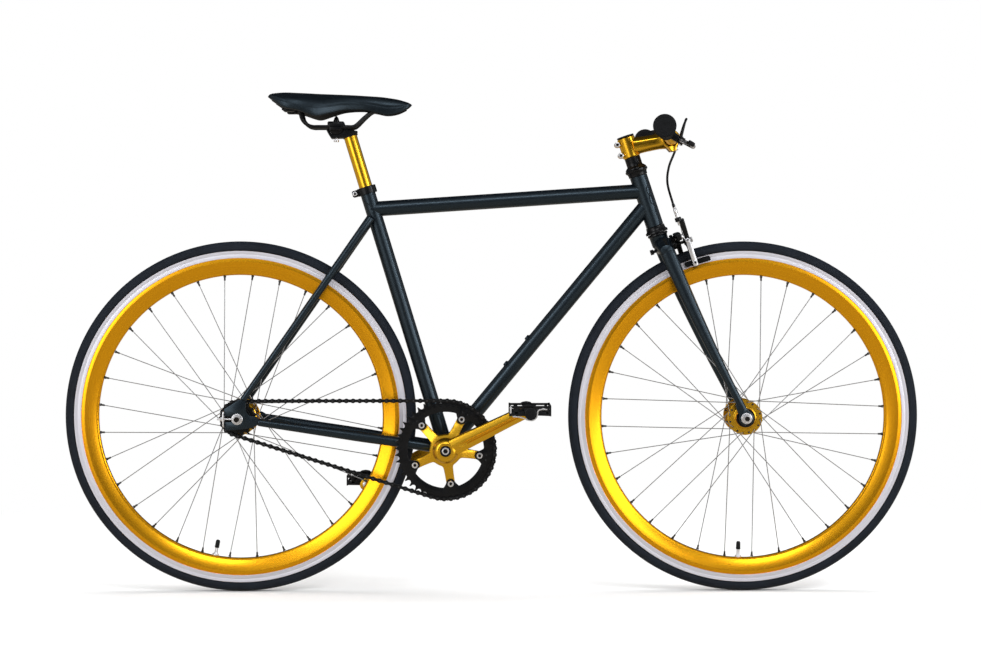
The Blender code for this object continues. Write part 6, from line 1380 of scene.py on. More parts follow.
def make_spokes(name, body, centre, first_hole):
    """Spokes with a head and an elbow at the flange, and nipples at the rim."""
    spokes, nipples, seat_radius = Skin(), Skin(), 0.269
    for a, h, s, lead in spoke_ends(first_hole):
        hole = np.array([SPOKE_CIRCLE * np.cos(h), 0, SPOKE_CIRCLE * np.sin(h)])
        rim = centre + [seat_radius * np.cos(a), s * 0.0015, seat_radius * np.sin(a)]
        head = centre + hole + LEFT * s * (FLANGE - lead * 0.0026)
        elbow = centre + hole + LEFT * s * (FLANGE + lead * 0.0027)
        bend = soften(np.array([head, elbow, rim]), 0.0028, 5, closed=False)
        spokes.add(tube(bend, 0.00084, 7, np.array([0.1, 0.9, 0.2])))
        spokes.add(turned(mm((0.8, -0.3), (1.7, -0.1), (1.8, 0.4), (1.2, 1)), head, -LEFT * s * lead, 8), 1)
        way = unit(rim - elbow)
        body_profile = mm((1.2, -8.2), (1.7, -7.8), (1.8, -2.2), (2.6, -1.8), (2.6, 0.8))
        nipples.add(turned(body_profile, rim, way, 10))
    spokes.build(f"{name} spokes", body, ["spoke_steel", "nipple_dark"], crease=50)
    nipples.build(f"{name} spoke nipples", body, ["nipple_dark"], crease=40)


def make_hub(name, body, centre, first_hole, neck, neck_radius, node, label):
    """High flange hub: waisted barrel, thin flanges with a raised inner ring, and hole rims. The holes are
    not cut: painted shade fills the middle of each rim, the barrel's ends round the axle and the seals.
    """
    skin = Skin()
    f, t = FLANGE, 0.0016
    half = [
        (0.0092, neck - 0.0015), (0.01, neck - 0.0002), (neck_radius - 0.0012, neck),
        (neck_radius, neck - 0.001), (neck_radius, f + t + 0.0034), (neck_radius + 0.0008, f + t + 0.0022),
        (0.0205, f + t + 0.0016), (0.0212, f + t + 0.0006), (0.0222, f + t), (0.0322, f + t),
        (0.033, f + t - 0.0006), (0.033, f - t + 0.0006), (0.0322, f - t), (0.0225, f - t),
        (0.02, f - t - 0.001), (0.018, f - t - 0.0035), (0.0168, f - t - 0.007), (0.016, f - t - 0.012),
        (0.0152, f - t - 0.018), (0.0148, 0.004), (0.0148, 0.0),
    ]
    profile = mirrored(half)
    slots = np.zeros(len(profile), int)
    slots[:3] = slots[-4:] = 1
    skin.add(turned(profile, centre, LEFT, 96), slots)
    for _, h, s, _ in spoke_ends(first_hole):
        hole = np.array([SPOKE_CIRCLE * np.cos(h), 0, SPOKE_CIRCLE * np.sin(h)])
        for face, way in ((f + t, 1), (f - t, -1)):
            spot = centre + hole + LEFT * s * face
            skin.add(turned(mm(
                (2.2, -0.2), (2.1, 0.1), (1.6, 0.15), (1.4, -0.2),
            ), spot, LEFT * s * way, 10), [0, 1, 1])
    for s in (-1, 1):
        seal = [(0.006, neck - 0.0012), (0.0094, neck - 0.001), (0.0094, neck - 0.003)]
        skin.add(turned(seal, centre, LEFT * s, 32), 1)
    skin.build(name, body, [f"hub_gold_{label}", "dark_hole"], [node], crease=30)


def make_valve(name, body, centre, angle):
    """Tyre valve: a stem through the nose of the rim with its ring nut and a ribbed cap."""
    way = np.array([-np.cos(angle), 0, -np.sin(angle)])
    start = centre - way * 0.2725
    skin = Skin()
    height = np.linspace(0.006, 0.018, 25)
    stem = [(0.003, 0.0)] + [(0.0029 + 0.00012 * np.cos(k * np.pi), h) for k, h in enumerate(height)]
    skin.add(turned(stem, start, way, 20), 0)
    nut = mm((3.2, 2.4), (5.8, 2.6), (6.2, 3.2), (6.2, 4.8), (5.8, 5.4), (3.2, 5.6))
    skin.add(turned(nut, start, way, 32), 0)
    ribs = 0.00022 * np.cos(np.arange(32) * TAU / 4)
    cap = (
        (0.003, 0.0172, 0), (0.004, 0.0172, 1), (0.0041, 0.018, 1), (0.0039, 0.029, 1), (0.0034, 0.0315, 0),
        (0.0018, 0.0325, 0),
    )
    skin.add(wavy_rings(cap, start, way, ribs), 1)
    skin.build(name, body, ["bright_steel", "black_plastic"])


def make_wheels():
    """Rim, tyre, spokes, hub and valve of both wheels, with the angles of first hole and valve."""
    for name, label, body, centre, hole, neck, neck_radius, valve in (
        ("Front", "front", "front_wheel", FRONT_HUB, np.radians(274.0), 0.0445, 0.018, np.radians(268.3)),
        ("Rear", "rear", "rear_wheel", REAR_HUB, np.radians(85.1), 0.0545, 0.017, np.radians(259.3)),
    ):
        make_rim(f"{name} rim", body, centre, f"{label}_rim", label)
        make_tyre(f"{name} tyre", body, centre, f"{label}_tyre")
        make_spokes(name, body, centre, hole)
        make_hub(f"{name} hub", body, centre, hole, neck, neck_radius, f"{label}_hub", label)
        make_valve(f"{name} valve", body, centre, valve)


# Drive


def pitch_radius(teeth):
    """Radius at which the chain's pins run round so many teeth."""
    return CHAIN_PITCH / (2 * np.sin(np.pi / teeth))


def run_geometry():
    """Direction of the line of centres, the lean of the straight runs from it, and their length in links."""
    line = REAR_HUB - BOTTOM_BRACKET
    centres = np.hypot(line[0], line[2])
    lean = np.arccos((pitch_radius(RING_TEETH) - pitch_radius(COG_TEETH)) / centres)
    return np.arctan2(line[2], line[0]), lean, centres * np.sin(lean) / CHAIN_PITCH


def pins():
    """Centres of all chain pins: round the ring's front, along the top, round the cog, and back below."""
    direction, lean, straight = run_geometry()
    ring_r, cog_r = pitch_radius(RING_TEETH), pitch_radius(COG_TEETH)
    on_ring, on_cog = RING_TEETH * (1 - lean / np.pi), COG_TEETH * lean / np.pi
    ring, cog = BOTTOM_BRACKET[[0, 2]], REAR_HUB[[0, 2]]
    upper, lower = direction - lean, direction + lean
    high, low = way_at(upper), way_at(lower)
    number = np.arange(CHAIN_LINKS, dtype=float)
    angle = lower + number * TAU / RING_TEETH
    spots = ring + ring_r * way_at(angle)
    at = (number - on_ring)[:, None] / straight
    top = (ring + high * ring_r) * (1 - at) + (cog + high * cog_r) * at
    angle = upper + (number - on_ring - straight) * TAU / COG_TEETH
    back = cog + cog_r * way_at(angle)
    at = (number - on_ring - straight - on_cog)[:, None] / straight
    under = (cog + low * cog_r) * (1 - at) + (ring + low * ring_r) * at
    part = np.searchsorted([on_ring, on_ring + straight, on_ring + straight + on_cog], number, side="right")
    return np.choose(part[:, None], [spots, top, back, under])


def make_chain():
    """Roller chain: waisted plates in pairs, wider apart on every other link, with rollers and pins."""
    spots = pins()
    skin = Skin()
    for i in range(CHAIN_LINKS):
        here, after = spots[i], spots[(i + 1) % CHAIN_LINKS]
        along = unit(after - here)
        middle = np.array([(here + after)[0] / 2, -CHAIN_LINE, (here + after)[1] / 2])
        place = Place(middle, [along[0], 0, along[1]], [-along[1], 0, along[0]], LEFT)
        half = CHAIN_PITCH / 2
        outline = np.concatenate([
            arc((half, 0), 0.0043, -115, 115, 8), mm((2, 2.6), (-2, 2.6)),
            arc((-half, 0), 0.0043, 65, 295, 8), mm((-2, -2.6), (2, -2.6)),
        ])
        low = 0.0028 if i % 2 else 0.0017
        plate = [(0.88, low), (1.0, low + 0.0002), (1.0, low + 0.0009), (0.9, low + 0.001)]
        for side in (-1, 1):
            skin.add([level(place, inset(outline, 0.0041 * (1 - share)), side * h) for share, h in plate])
        pin = np.array([here[0], -CHAIN_LINE, here[1]])
        rivet = mm((1.1, -4.3), (1.8, -4.1), (1.8, 4.1), (1.1, 4.3))
        skin.add(turned(rivet, pin, LEFT, 10), 1)
        skin.add(turned(mm((3, -1.65), (3.7, -1.5), (3.7, 1.5), (3, 1.65)), pin, LEFT, 12), 0)
    skin.build("Chain", "frame", ["chain_black", "chain_pin"], ["chain"], crease=40)


def tooth_outline(teeth, pin_angle):
    """Sprocket outline: the inner part of a roller circle at each gap, then a tooth with a flat tip."""
    pitch, roller = pitch_radius(teeth), 0.0042
    seat = np.radians(np.linspace(-66, 66, 7))
    tip_radius = pitch + 0.0034
    tip = np.pi / teeth + np.array([-1, 1]) * 0.0008 / tip_radius
    x = np.concatenate([pitch - roller * np.cos(seat), tip_radius * np.cos(tip)])
    z = np.concatenate([roller * np.sin(seat), tip_radius * np.sin(tip)])
    gap = pin_angle + np.arange(teeth)[:, None] * TAU / teeth
    return np.stack([x * np.cos(gap) - z * np.sin(gap), x * np.sin(gap) + z * np.cos(gap)], -1).reshape(-1, 2)


def between_loops(inner, outer, rows, place):
    """Rings between two equal loops. A row gives a share from the inner to the outer, and a height."""
    return np.array([level(place, inner * (1 - share) + outer * share, height) for share, height in rows])


def toothed_ring(outline, inner_radius, rows, place):
    """Ring between a toothed outline and an inner edge given by angle."""
    angle = np.arctan2(outline[:, 1], outline[:, 0])
    return between_loops(inner_radius(angle)[:, None] * way_at(angle), outline, rows, place)


def make_cog():
    """Fixed cog, its carrier, and the lockring with its spanner notches."""
    direction, lean, straight = run_geometry()
    before = RING_TEETH * (1 - lean / np.pi) + straight
    angle = direction - lean + (np.ceil(before) - before) * TAU / COG_TEETH
    outline = tooth_outline(COG_TEETH, angle)
    place = Place(REAR_HUB - LEFT * CHAIN_LINE, AHEAD, UP, LEFT)
    rows = [
        (0, -0.001), (0.8, -0.001), (0.97, -0.0007), (1, -0.0005), (1, 0.0005), (0.97, 0.0007), (0.8, 0.001),
        (0, 0.001),
    ]
    skin = Skin()
    skin.add(toothed_ring(outline, lambda a: np.full(a.shape, 0.0225), rows, place), 0, torus=True)
    carrier = mm((17.5, -7.2), (22.8, -7.2), (23.4, -6.6), (23.4, 3.6), (22.8, 4.2), (17.5, 4.2))
    skin.add(turned(carrier, REAR_HUB - LEFT * CHAIN_LINE, LEFT, 64), 0, torus=True)
    notch = np.where(np.mod(np.arange(72), 12) < 3, 0.0013, 0)
    rings = [level(place, circle(72) * (r - notch * w)[:, None], h) for r, h, w in (
        (0.0172, -0.0074, 0), (0.0205, -0.0074, 1), (0.0208, -0.0078, 1), (0.0208, -0.0094, 1),
        (0.0204, -0.0098, 1), (0.0172, -0.0098, 0),
    )]
    skin.add(np.array(rings), 1, torus=True)
    skin.build("Rear cog and lockring", "rear_wheel", ["chain_black", "black_alloy"], ["rear_cog"], crease=30)


CRANK = Place(
    BOTTOM_BRACKET, [np.cos(CRANK_ANGLE), 0, np.sin(CRANK_ANGLE)], LEFT,
    [-np.sin(CRANK_ANGLE), 0, np.cos(CRANK_ANGLE)]
)
LEFT_CRANK = Place(BOTTOM_BRACKET, -CRANK.axes[0], LEFT, -CRANK.axes[2])


def crank_arm(skin, place, side):
    """Crank arm lofted along its length: upper facet, long groove and lower facet, round at the eye."""
    share = np.array([
        0.02, 0.05, 0.1, 0.12, 0.16, 0.24, 0.34, 0.45, 0.56, 0.66, 0.75, 0.84, 0.89, 0.91, 0.95,
    ])
    share = np.concatenate([share, [0.99, 1.02, 1.045, 1.062, 1.068]])
    stations = [0.02, 0.16, 0.45, 0.75, 0.93, 0.99, 1.02, 1.045, 1.062, 1.068]
    wide = np.interp(share, stations, [1.08, 1.1, 1.0, 0.9, 0.87, 0.83, 0.75, 0.58, 0.36, 0.2])
    deep = np.interp(
        share, [0.02, 0.16, 0.45, 0.75, 0.93, 1.02, 1.05, 1.068],
        [1.11, 1.11, 1.04, 0.96, 0.96, 0.94, 0.88, 0.72],
    )
    groove = 0.0034 * smooth((share - 0.14) / 0.1) * smooth((0.93 - share) / 0.1)
    flare = 0.008 * np.clip((share - 0.05) / 0.8, 0, 1)
    base, rim = 0.065, 0.001
    outward, up = place.axes[1] * side, place.axes[2]
    along = Place(place.origin, outward, up, place.axes[0])
    rings = []
    for x, w, d, g, f in zip(share * CRANK_LENGTH, wide * 0.0145, deep * 0.00675, groove, flare):
        out, back = base + f + d, base + f - d
        outline = np.array([
            (out - d * 0.92, -w), (out - d * 0.66, -w * 0.8), (out - d * 0.38, -w * 0.56),
            (out - d * 0.16, -w * 0.36), (out - d * 0.1 - g, -w * 0.24), (out - d * 0.04 - g, -w * 0.06),
            (out, w * 0.04), (out - d * 0.06, w * 0.32), (out - d * 0.22, w * 0.66),
            (out - d * 0.42, w * 0.9), (out - d * 0.85, w), (back + rim, w), (back, w - rim),
            (back, -w + rim), (back + rim, -w),
        ])
        rings.append(level(along, soften(outline, 0.0009, 3), x))
    skin.add(np.array(rings), 0)


def spider_star():
    """Outline of the five-armed star, by the angle d from an arm's middle.

    Near the tip it is the circle round the bolt, b cos d + sqrt(w^2 - (b sin d)^2). Past the tangent
    the arm's side lies w / sin d away. The eighth-power mean of that and the web's radius is the fillet.
    """
    half_width, web = 0.008, 0.0305
    tangent = np.arctan2(half_width, BOLT_RADIUS)
    near = np.linspace(0, tangent, 9)[:-1]
    off = np.concatenate([near, tangent + (np.pi / 5 - tangent) * np.linspace(0, 1, 15) ** 1.6])
    reach = half_width ** 2 - (BOLT_RADIUS * np.sin(off)) ** 2
    tip = BOLT_RADIUS * np.cos(off) + np.sqrt(np.maximum(reach, 0))
    flank = half_width * 1.02 / np.sin(np.maximum(off, tangent))
    flank = flank + 0.0016 * smooth((off - tangent) / 0.12)
    radius = np.where(off < tangent, tip, (flank ** 8 + web ** 8) ** 0.125)
    angle = np.concatenate([-off[:0:-1], off[:-1]])
    radius = np.concatenate([radius[:0:-1], radius[:-1]])
    angle = (np.arange(5)[:, None] + 0.5) * TAU / 5 + angle
    return angle.ravel(), np.tile(radius, 5)


def make_spider(skin, place):
    """Star with a raised middle: its front face sinks from the boss to the bolts by the radius alone."""
    angle, radius = spider_star()
    way, hub, tip = way_at(angle), 0.018, CHAIN_LINE - 0.0013

    def front(r):
        """Distance of the front face from the middle plane."""
        return np.interp(
            r, [0.018, 0.024, 0.032, 0.042, 0.052, 0.057], [0.0665, 0.06, 0.0545, 0.05, tip + 0.0016, tip],
        )

    def back(r):
        """Distance of the rear face from the middle plane."""
        return np.interp(r, [0.018, 0.03, 0.045, 0.055], [0.0455, 0.0455, tip - 0.004, tip - 0.0035])

    rings = []
    for share in (0.0, 0.15, 0.3, 0.45, 0.6, 0.74, 0.86, 0.94, 0.98, 1.0):
        r = hub + (radius - hub) * share
        round_off = 0.0014 * np.clip((share - 0.86) / 0.14, 0, 1) ** 2
        rings.append(np.column_stack([way[:, 0] * r, -(front(r) - round_off), way[:, 1] * r]))
    for share in (1.0, 0.97, 0.5, 0.0):
        r = hub + (radius - hub) * share
        rings.append(np.column_stack([way[:, 0] * r, -(back(r) + 0.0008 * (share == 1.0)), way[:, 1] * r]))
    skin.add(np.array([place(ring) for ring in rings]), 0, torus=True)


def make_cranks():
    """Crank arms, the right one on its five-armed spider, with dust rings and spindle bolts."""
    for side, label, place in ((-1, "right", CRANK), (1, "left", LEFT_CRANK)):
        skin = Skin()
        crank_arm(skin, place, side)
        low = 45.5 if side < 0 else 56
        out = place.way([0, side, 0])
        boss = mm(
            (10.5, low), (24, low), (25.6, low + 1.6), (25.4, 56), (23.6, 63), (20.6, 68.6), (17.2, 71.8),
            (15, 72.6), (14.2, 73.6), (13.6, 74), (10.8, 74), (10.2, 73.4), (10, 69.8), (6, 69.7),
        )
        skin.add(turned(boss, BOTTOM_BRACKET, out, 64), [0] * 11 + [1, 1])
        dust = mm((10, 70.2), (10, 73.6), (9.4, 74), (7.4, 73.6), (6.6, 72.8), (6.4, 71))
        skin.add(turned(dust, BOTTOM_BRACKET, out, 56), 1)
        if side < 0:
            make_spider(skin, place)
        skin.build(f"Crank {label}", "cranks", ["gold_crank", "black_alloy"], [f"crank_{label}"], crease=24)

    skin = Skin()
    skin.add(turned(mm((7.8, -44), (8.5, -43.2), (8.5, 51.2), (7.8, 52)), BOTTOM_BRACKET, LEFT, 40), 0)
    for side in (-1, 1):
        bolt(skin, BOTTOM_BRACKET + LEFT * side * 0.069, LEFT * side, 0.0074, 0.004, 0.008, 0, 1)
    skin.build(
        "Crank spindle and bolts", "cranks", ["bright_steel", "dark_hole"], ["crank_spindle"], crease=30,
    )


def make_chainring():
    """Toothed ring with a stepped face, five tabs, and sleeve bolts through tabs and spider."""
    direction, lean, _ = run_geometry()
    outline = tooth_outline(RING_TEETH, direction + lean - CRANK_ANGLE)
    boss_radius, window, tab_angle, fade = 0.009, 0.072, np.radians(7.4), np.radians(5)

    def inner_edge(angle):
        """Inner radius: the window's, and at each tab the near side of a circle round the bolt."""
        off = np.abs(angle / TAU * 5 % 1 - 0.5) * TAU / 5
        inside = np.sqrt(np.maximum(boss_radius ** 2 - (BOLT_RADIUS * np.sin(off)) ** 2, 0))
        tab = BOLT_RADIUS * np.cos(off) - inside
        blend = smooth((off - tab_angle) / fade)
        return np.where(off < tab_angle, tab, tab * (1 - blend) + window * blend)

    place = Place(BOTTOM_BRACKET - LEFT * CHAIN_LINE, CRANK.axes[0], CRANK.axes[2], LEFT)
    rows = [
        (0.0, 0.0006), (0.03, 0.001), (0.9, 0.001), (0.98, 0.0007), (1.0, 0.0004), (1.0, -0.0004),
        (0.98, -0.0007), (0.8, -0.001), (0.66, -0.001), (0.62, -0.0017), (0.08, -0.0017), (0.0, -0.0012),
    ]
    skin = Skin()
    skin.add(toothed_ring(outline, inner_edge, rows, place), 0, torus=True)
    for number in range(5):
        spot = BOLT_RADIUS * way_at((number + 0.5) * TAU / 5)
        # The middle of each bolt head and nut is painted shade
        head = mm((5.2, -0.3), (5.8, 0.3), (5.8, 1), (5.2, 1.7), (3.6, 1.8), (3, 1.3), (2.6, 0.3))
        skin.add(turned(head, place([*spot, -0.0016]), -LEFT, 28), [1, 1, 1, 1, 1, 2])
        nut = mm((4.8, 0), (5, 0.4), (4.8, 1.2), (2.6, 1.3), (2.4, 0.2))
        skin.add(turned(nut, place([*spot, 0.0048]), LEFT, 28), [1, 1, 1, 2])
    skin.build("Chainring", "cranks", ["black_alloy", "bright_steel", "dark_hole"], ["chainring"], crease=28)


def make_pedals():
    """Cage pedals: barrel, notched side plates, end bands, a strap over the spindle and an end cap."""
    for side, label, centre in ((-1, "right", RIGHT_PEDAL), (1, "left", LEFT_PEDAL)):
        start, end = 0.08775, 0.17575
        out = LEFT * side
        skin = Skin()
        spindle = mm(
            (4.2, 170.75), (4.5, 169.75), (6, 93.5), (6, 87.3), (8.8, 86.2), (9, 85.6), (9, 80.8),
            (8.6, 80.2), (6, 80), (6, 65.6), (5.2, 65.2),
        )
        skin.add(turned(spindle, centre, out, 36), 0)
        skin.build(
            f"Pedal spindle {label}", "cranks", ["bright_steel"], [f"pedal_spindle_{label}"], crease=30,
        )

        skin = Skin()
        barrel = mm(
            (6.6, 87.75), (10.4, 87.75), (11.2, 88.75), (11.2, 93.75), (9.6, 97.75), (9.2, 131.75),
            (9.6, 160.75), (11, 165.75), (11.2, 176.75), (9.8, 177.35), (9.8, 178.95), (9, 179.75),
            (5, 179.75), (4.6, 179.15), (1, 179.15),
        )
        skin.add(turned(barrel, centre, out, 48), 0)
        middle = (start + end) / 2
        for ahead in (-0.0376, 0.0362):
            y = np.linspace(-0.042, 0.042, 85)
            tooth = 0.0013 * (np.abs((y / 0.0075) % 1 - 0.5) < 0.27)
            top, bottom = np.stack([y, 0.0136 + tooth], -1), np.stack([y[::-1], -0.0032 - tooth[::-1]], -1)
            window = np.clip(y, -0.0365, 0.0365)
            inner = np.concatenate([
                np.stack([window, np.full(85, 0.01)], -1), np.stack([window[::-1], np.full(85, 0.001)], -1),
            ])
            outline = np.concatenate([top, bottom])
            place = Place(centre + out * middle + AHEAD * ahead, LEFT, UP, AHEAD)
            rows = ((0, -0.0014), (1, -0.0014), (1, 0.0014), (0, 0.0014))
            skin.add(between_loops(inner, outline, rows, place), 0, torus=True)
        bars = (
            mm((-38.5, 10.4), (36.5, 10.4), (36.5, 14.3), (-38.5, 14.3)),
            mm((-38.5, -3.6), (-9, -4), (-9, 4.2), (-38.5, 3.6)),
            mm((10, -3), (36.5, -4), (36.5, 3), (24, 4), (10, 6)),
            mm((-30, 0), (-22.5, 0), (-22.5, 12), (-30, 12)),
            mm((-12.5, 0), (13.5, 0), (12, 12), (-12.5, 12)),
            mm((27.5, 0), (33, 0), (33, 12), (27.5, 12)),
            mm((-20, 12), (6, 12), (2, 16.5), (-6, 17.8), (-14, 16.5)),
        )
        for across, wide in ((start + 0.005, 0.0075), (end - 0.005, 0.0085)):
            place = Place(centre + out * across, AHEAD, UP, LEFT)
            for bar in bars:
                skin.add(slab(soften(bar, 0.0012, 3), -wide / 2, wide / 2, 0.0006, place), 0)
        face = Place(centre + out * (end - 0.0007), AHEAD, UP, out)
        plate = soften(mm((-38.2, 1), (-35.2, 1), (-35.2, 13.8), (-38.2, 13.8)), 0.001, 4)
        skin.add(slab(plate, -0.0008, 0.0008, 0.0003, face), 1)
        strap = spline(np.array(mm(
            (-33, -4.6), (-22, -5.4), (-13, -7.8), (-5, -11.2), (4, -11.6), (10.5, -7), (12.4, 0), (14, 6.2),
            (21, 8.4), (30, 8),
        )), 60)
        tangent = unit(np.gradient(strap, axis=0))
        normal = np.stack([-tangent[:, 1], tangent[:, 0]], -1)
        section = soften(mm((-1.1, -3), (1.1, -3), (1.1, 1.4), (-1.1, 1.4)), 0.0004, 3)
        flat = strap[:, None] + section[None, :, :1] * normal[:, None]
        skin.add(
            face(np.concatenate([flat, np.broadcast_to(section[None, :, 1:], (60, len(section), 1))], -1)), 1,
        )
        skin.build(
            f"Pedal {label}", f"pedal_{label}", ["black_plastic", "bright_steel"], [f"pedal_{label}"],
            crease=34,
        )


# Seatpost and saddle


def make_seatpost():
    """Post that tapers at its foot, with the clamp head on top."""
    skin = Skin()
    top, bottom = SEATPOST_TOP, SEATPOST_TOP - 0.3
    profile = [(0.0105, bottom), (0.0124, bottom), (0.0127, bottom + 0.0004), (0.0127, SEAT_TUBE_TOP + 0.004)]
    profile += [(0.0127, top - 0.0006), (0.0121, top), (0.009, top)]
    skin.add(turned(profile, BOTTOM_BRACKET, SEAT_UP, 64))
    skin.build("Seatpost", "seatpost", ["gold_post"], ["seatpost"], crease=28)

    skin = Skin()
    foot = SEAT([0, 0, SEATPOST_TOP + 0.0003])
    tilt = np.radians(73)
    rise = np.array([np.sin(tilt), 0, np.cos(tilt)]) * 0.013
    rear, fore = (foot - rise)[[0, 2]], (foot + rise)[[0, 2]]
    clamp = SADDLE_CLAMP[[0, 2]]
    outline = np.concatenate([
        [rear, fore, fore + [0.0006, 0.003], fore + [0.001, 0.006]],
        mm((21.5, -4), (21, -1), (16.5, 0)) + clamp, arc(clamp, 0.0145, -8, -172, 24),
        mm((-17, -1), (-18, -6), (-15, -12), (-9, -21.5)) + clamp,
    ])
    side_place = Place((0, 0, 0), AHEAD, UP, LEFT)
    skin.add(slab(outline, -0.015, 0.015, 0.0016, side_place, 4), 0)
    collar = mm((12.7, -0.6), (14.2, -0.6), (14.6, 0), (14.6, 2), (13.8, 3.4), (12.7, 3.6))
    skin.add(turned(collar, SEAT([0, 0, SEATPOST_TOP - 0.0004]), SEAT_UP, 48), 0)
    skin.build("Seatpost head", "seatpost", ["black_alloy"], ["seatpost_head"], crease=30)


def make_saddle_clamp():
    """Grooved cradle under the rails, and the yoke over them with its bolt and pointed nut."""
    skin = Skin()
    place = Place(SADDLE_CLAMP, AHEAD, UP, LEFT)
    outline = arc((0, 0), 0.0142, -12, -168, 30)
    skin.add(slab(outline, -0.014, 0.014, 0.0008, place), 0)
    wing = soften(mm((-11.6, -7.2), (11.6, -7.2), (11.6, -3.2), (-11.6, -3.2)), 0.0012, 4)
    skin.add(slab(wing, -0.028, 0.028, 0.0012, place), 0)
    for side in (-1, 1):
        seat = np.concatenate([
            soften(mm((-7.2, 0), (-7.2, -6.6), (7.2, -6.6), (7.2, 0)), 0.0015, 4, closed=False),
            arc((0, 0), 0.0038, 0, -180, 14),
        ])
        across = Place(SADDLE_CLAMP + LEFT * side * RAIL_HALF, LEFT, UP, AHEAD)
        skin.add(slab(seat, -0.0112, 0.0112, 0.0005, across), 0)
    skin.build("Saddle clamp cradle", "saddle_clamp", ["black_alloy"], ["saddle_clamp_cradle"], crease=30)

    skin = Skin()
    for side in (-1, 1):
        seat = np.concatenate([
            arc((0, 0), 0.0038, 180, 0, 14),
            soften(mm((6.4, 1.2), (6.2, 9), (-6.2, 9), (-6.4, 1.2)), 0.003, 6, closed=False),
        ])
        across = Place(SADDLE_CLAMP + LEFT * side * RAIL_HALF, LEFT, UP, AHEAD)
        skin.add(slab(seat, -0.015, 0.015, 0.0009, across), 0)
    bridge = soften(mm((-14.8, 3), (14.8, 3), (14.8, 10.8), (-14.8, 10.8)), 0.0016, 5)
    skin.add(slab(bridge, -0.017, 0.017, 0.0012, place), 0)
    nut = mm((5.6, 10.5), (5.6, 13.5), (4.8, 14.5), (4.6, 16.5), (3, 19.5), (1.2, 21.6), (0.6, 22))
    skin.add(turned(nut, SADDLE_CLAMP, UP, 40), 0)
    skin.add(turned(mm((2.6, -26.2), (3, -25.8), (3, 10)), SADDLE_CLAMP, UP, 24), 1)
    bolt(skin, SADDLE_CLAMP - UP * 0.024, -UP, 0.005, 0.0034, 0.005, 1, 2)
    skin.build(
        "Saddle clamp yoke", "saddle_clamp", ["black_alloy", "bright_steel", "dark_hole"],
        ["saddle_clamp_top"], crease=30,
    )


SADDLE_STATIONS = np.array(mm(
    (0, 20, 60, 56), (10, 50, 62.5, 50), (34, 68, 64.5, 35), (60, 71, 63.7, 30), (84, 66.5, 63, 22),
    (98, 60, 62.5, 20), (120, 47, 62, 25.5), (146, 34.5, 61.5, 32), (180, 24.5, 60.5, 33.3),
    (205, 20.5, 58.8, 29), (225, 19, 56.2, 25.2), (245, 17.8, 53, 28), (262, 14.5, 48.3, 35.5),
    (272, 7, 44, 41.5),
))


# Tail of the saddle and rear end of its right rail, from the clamp
SADDLE_TAIL, RAIL_END = -0.1285, np.array([-0.0745, 0.032, 0.0335])


def saddle_lines(count):
    """Half width, crown and lower edge at steps along the saddle, on smooth curves through the stations."""
    return spline(SADDLE_STATIONS, count)


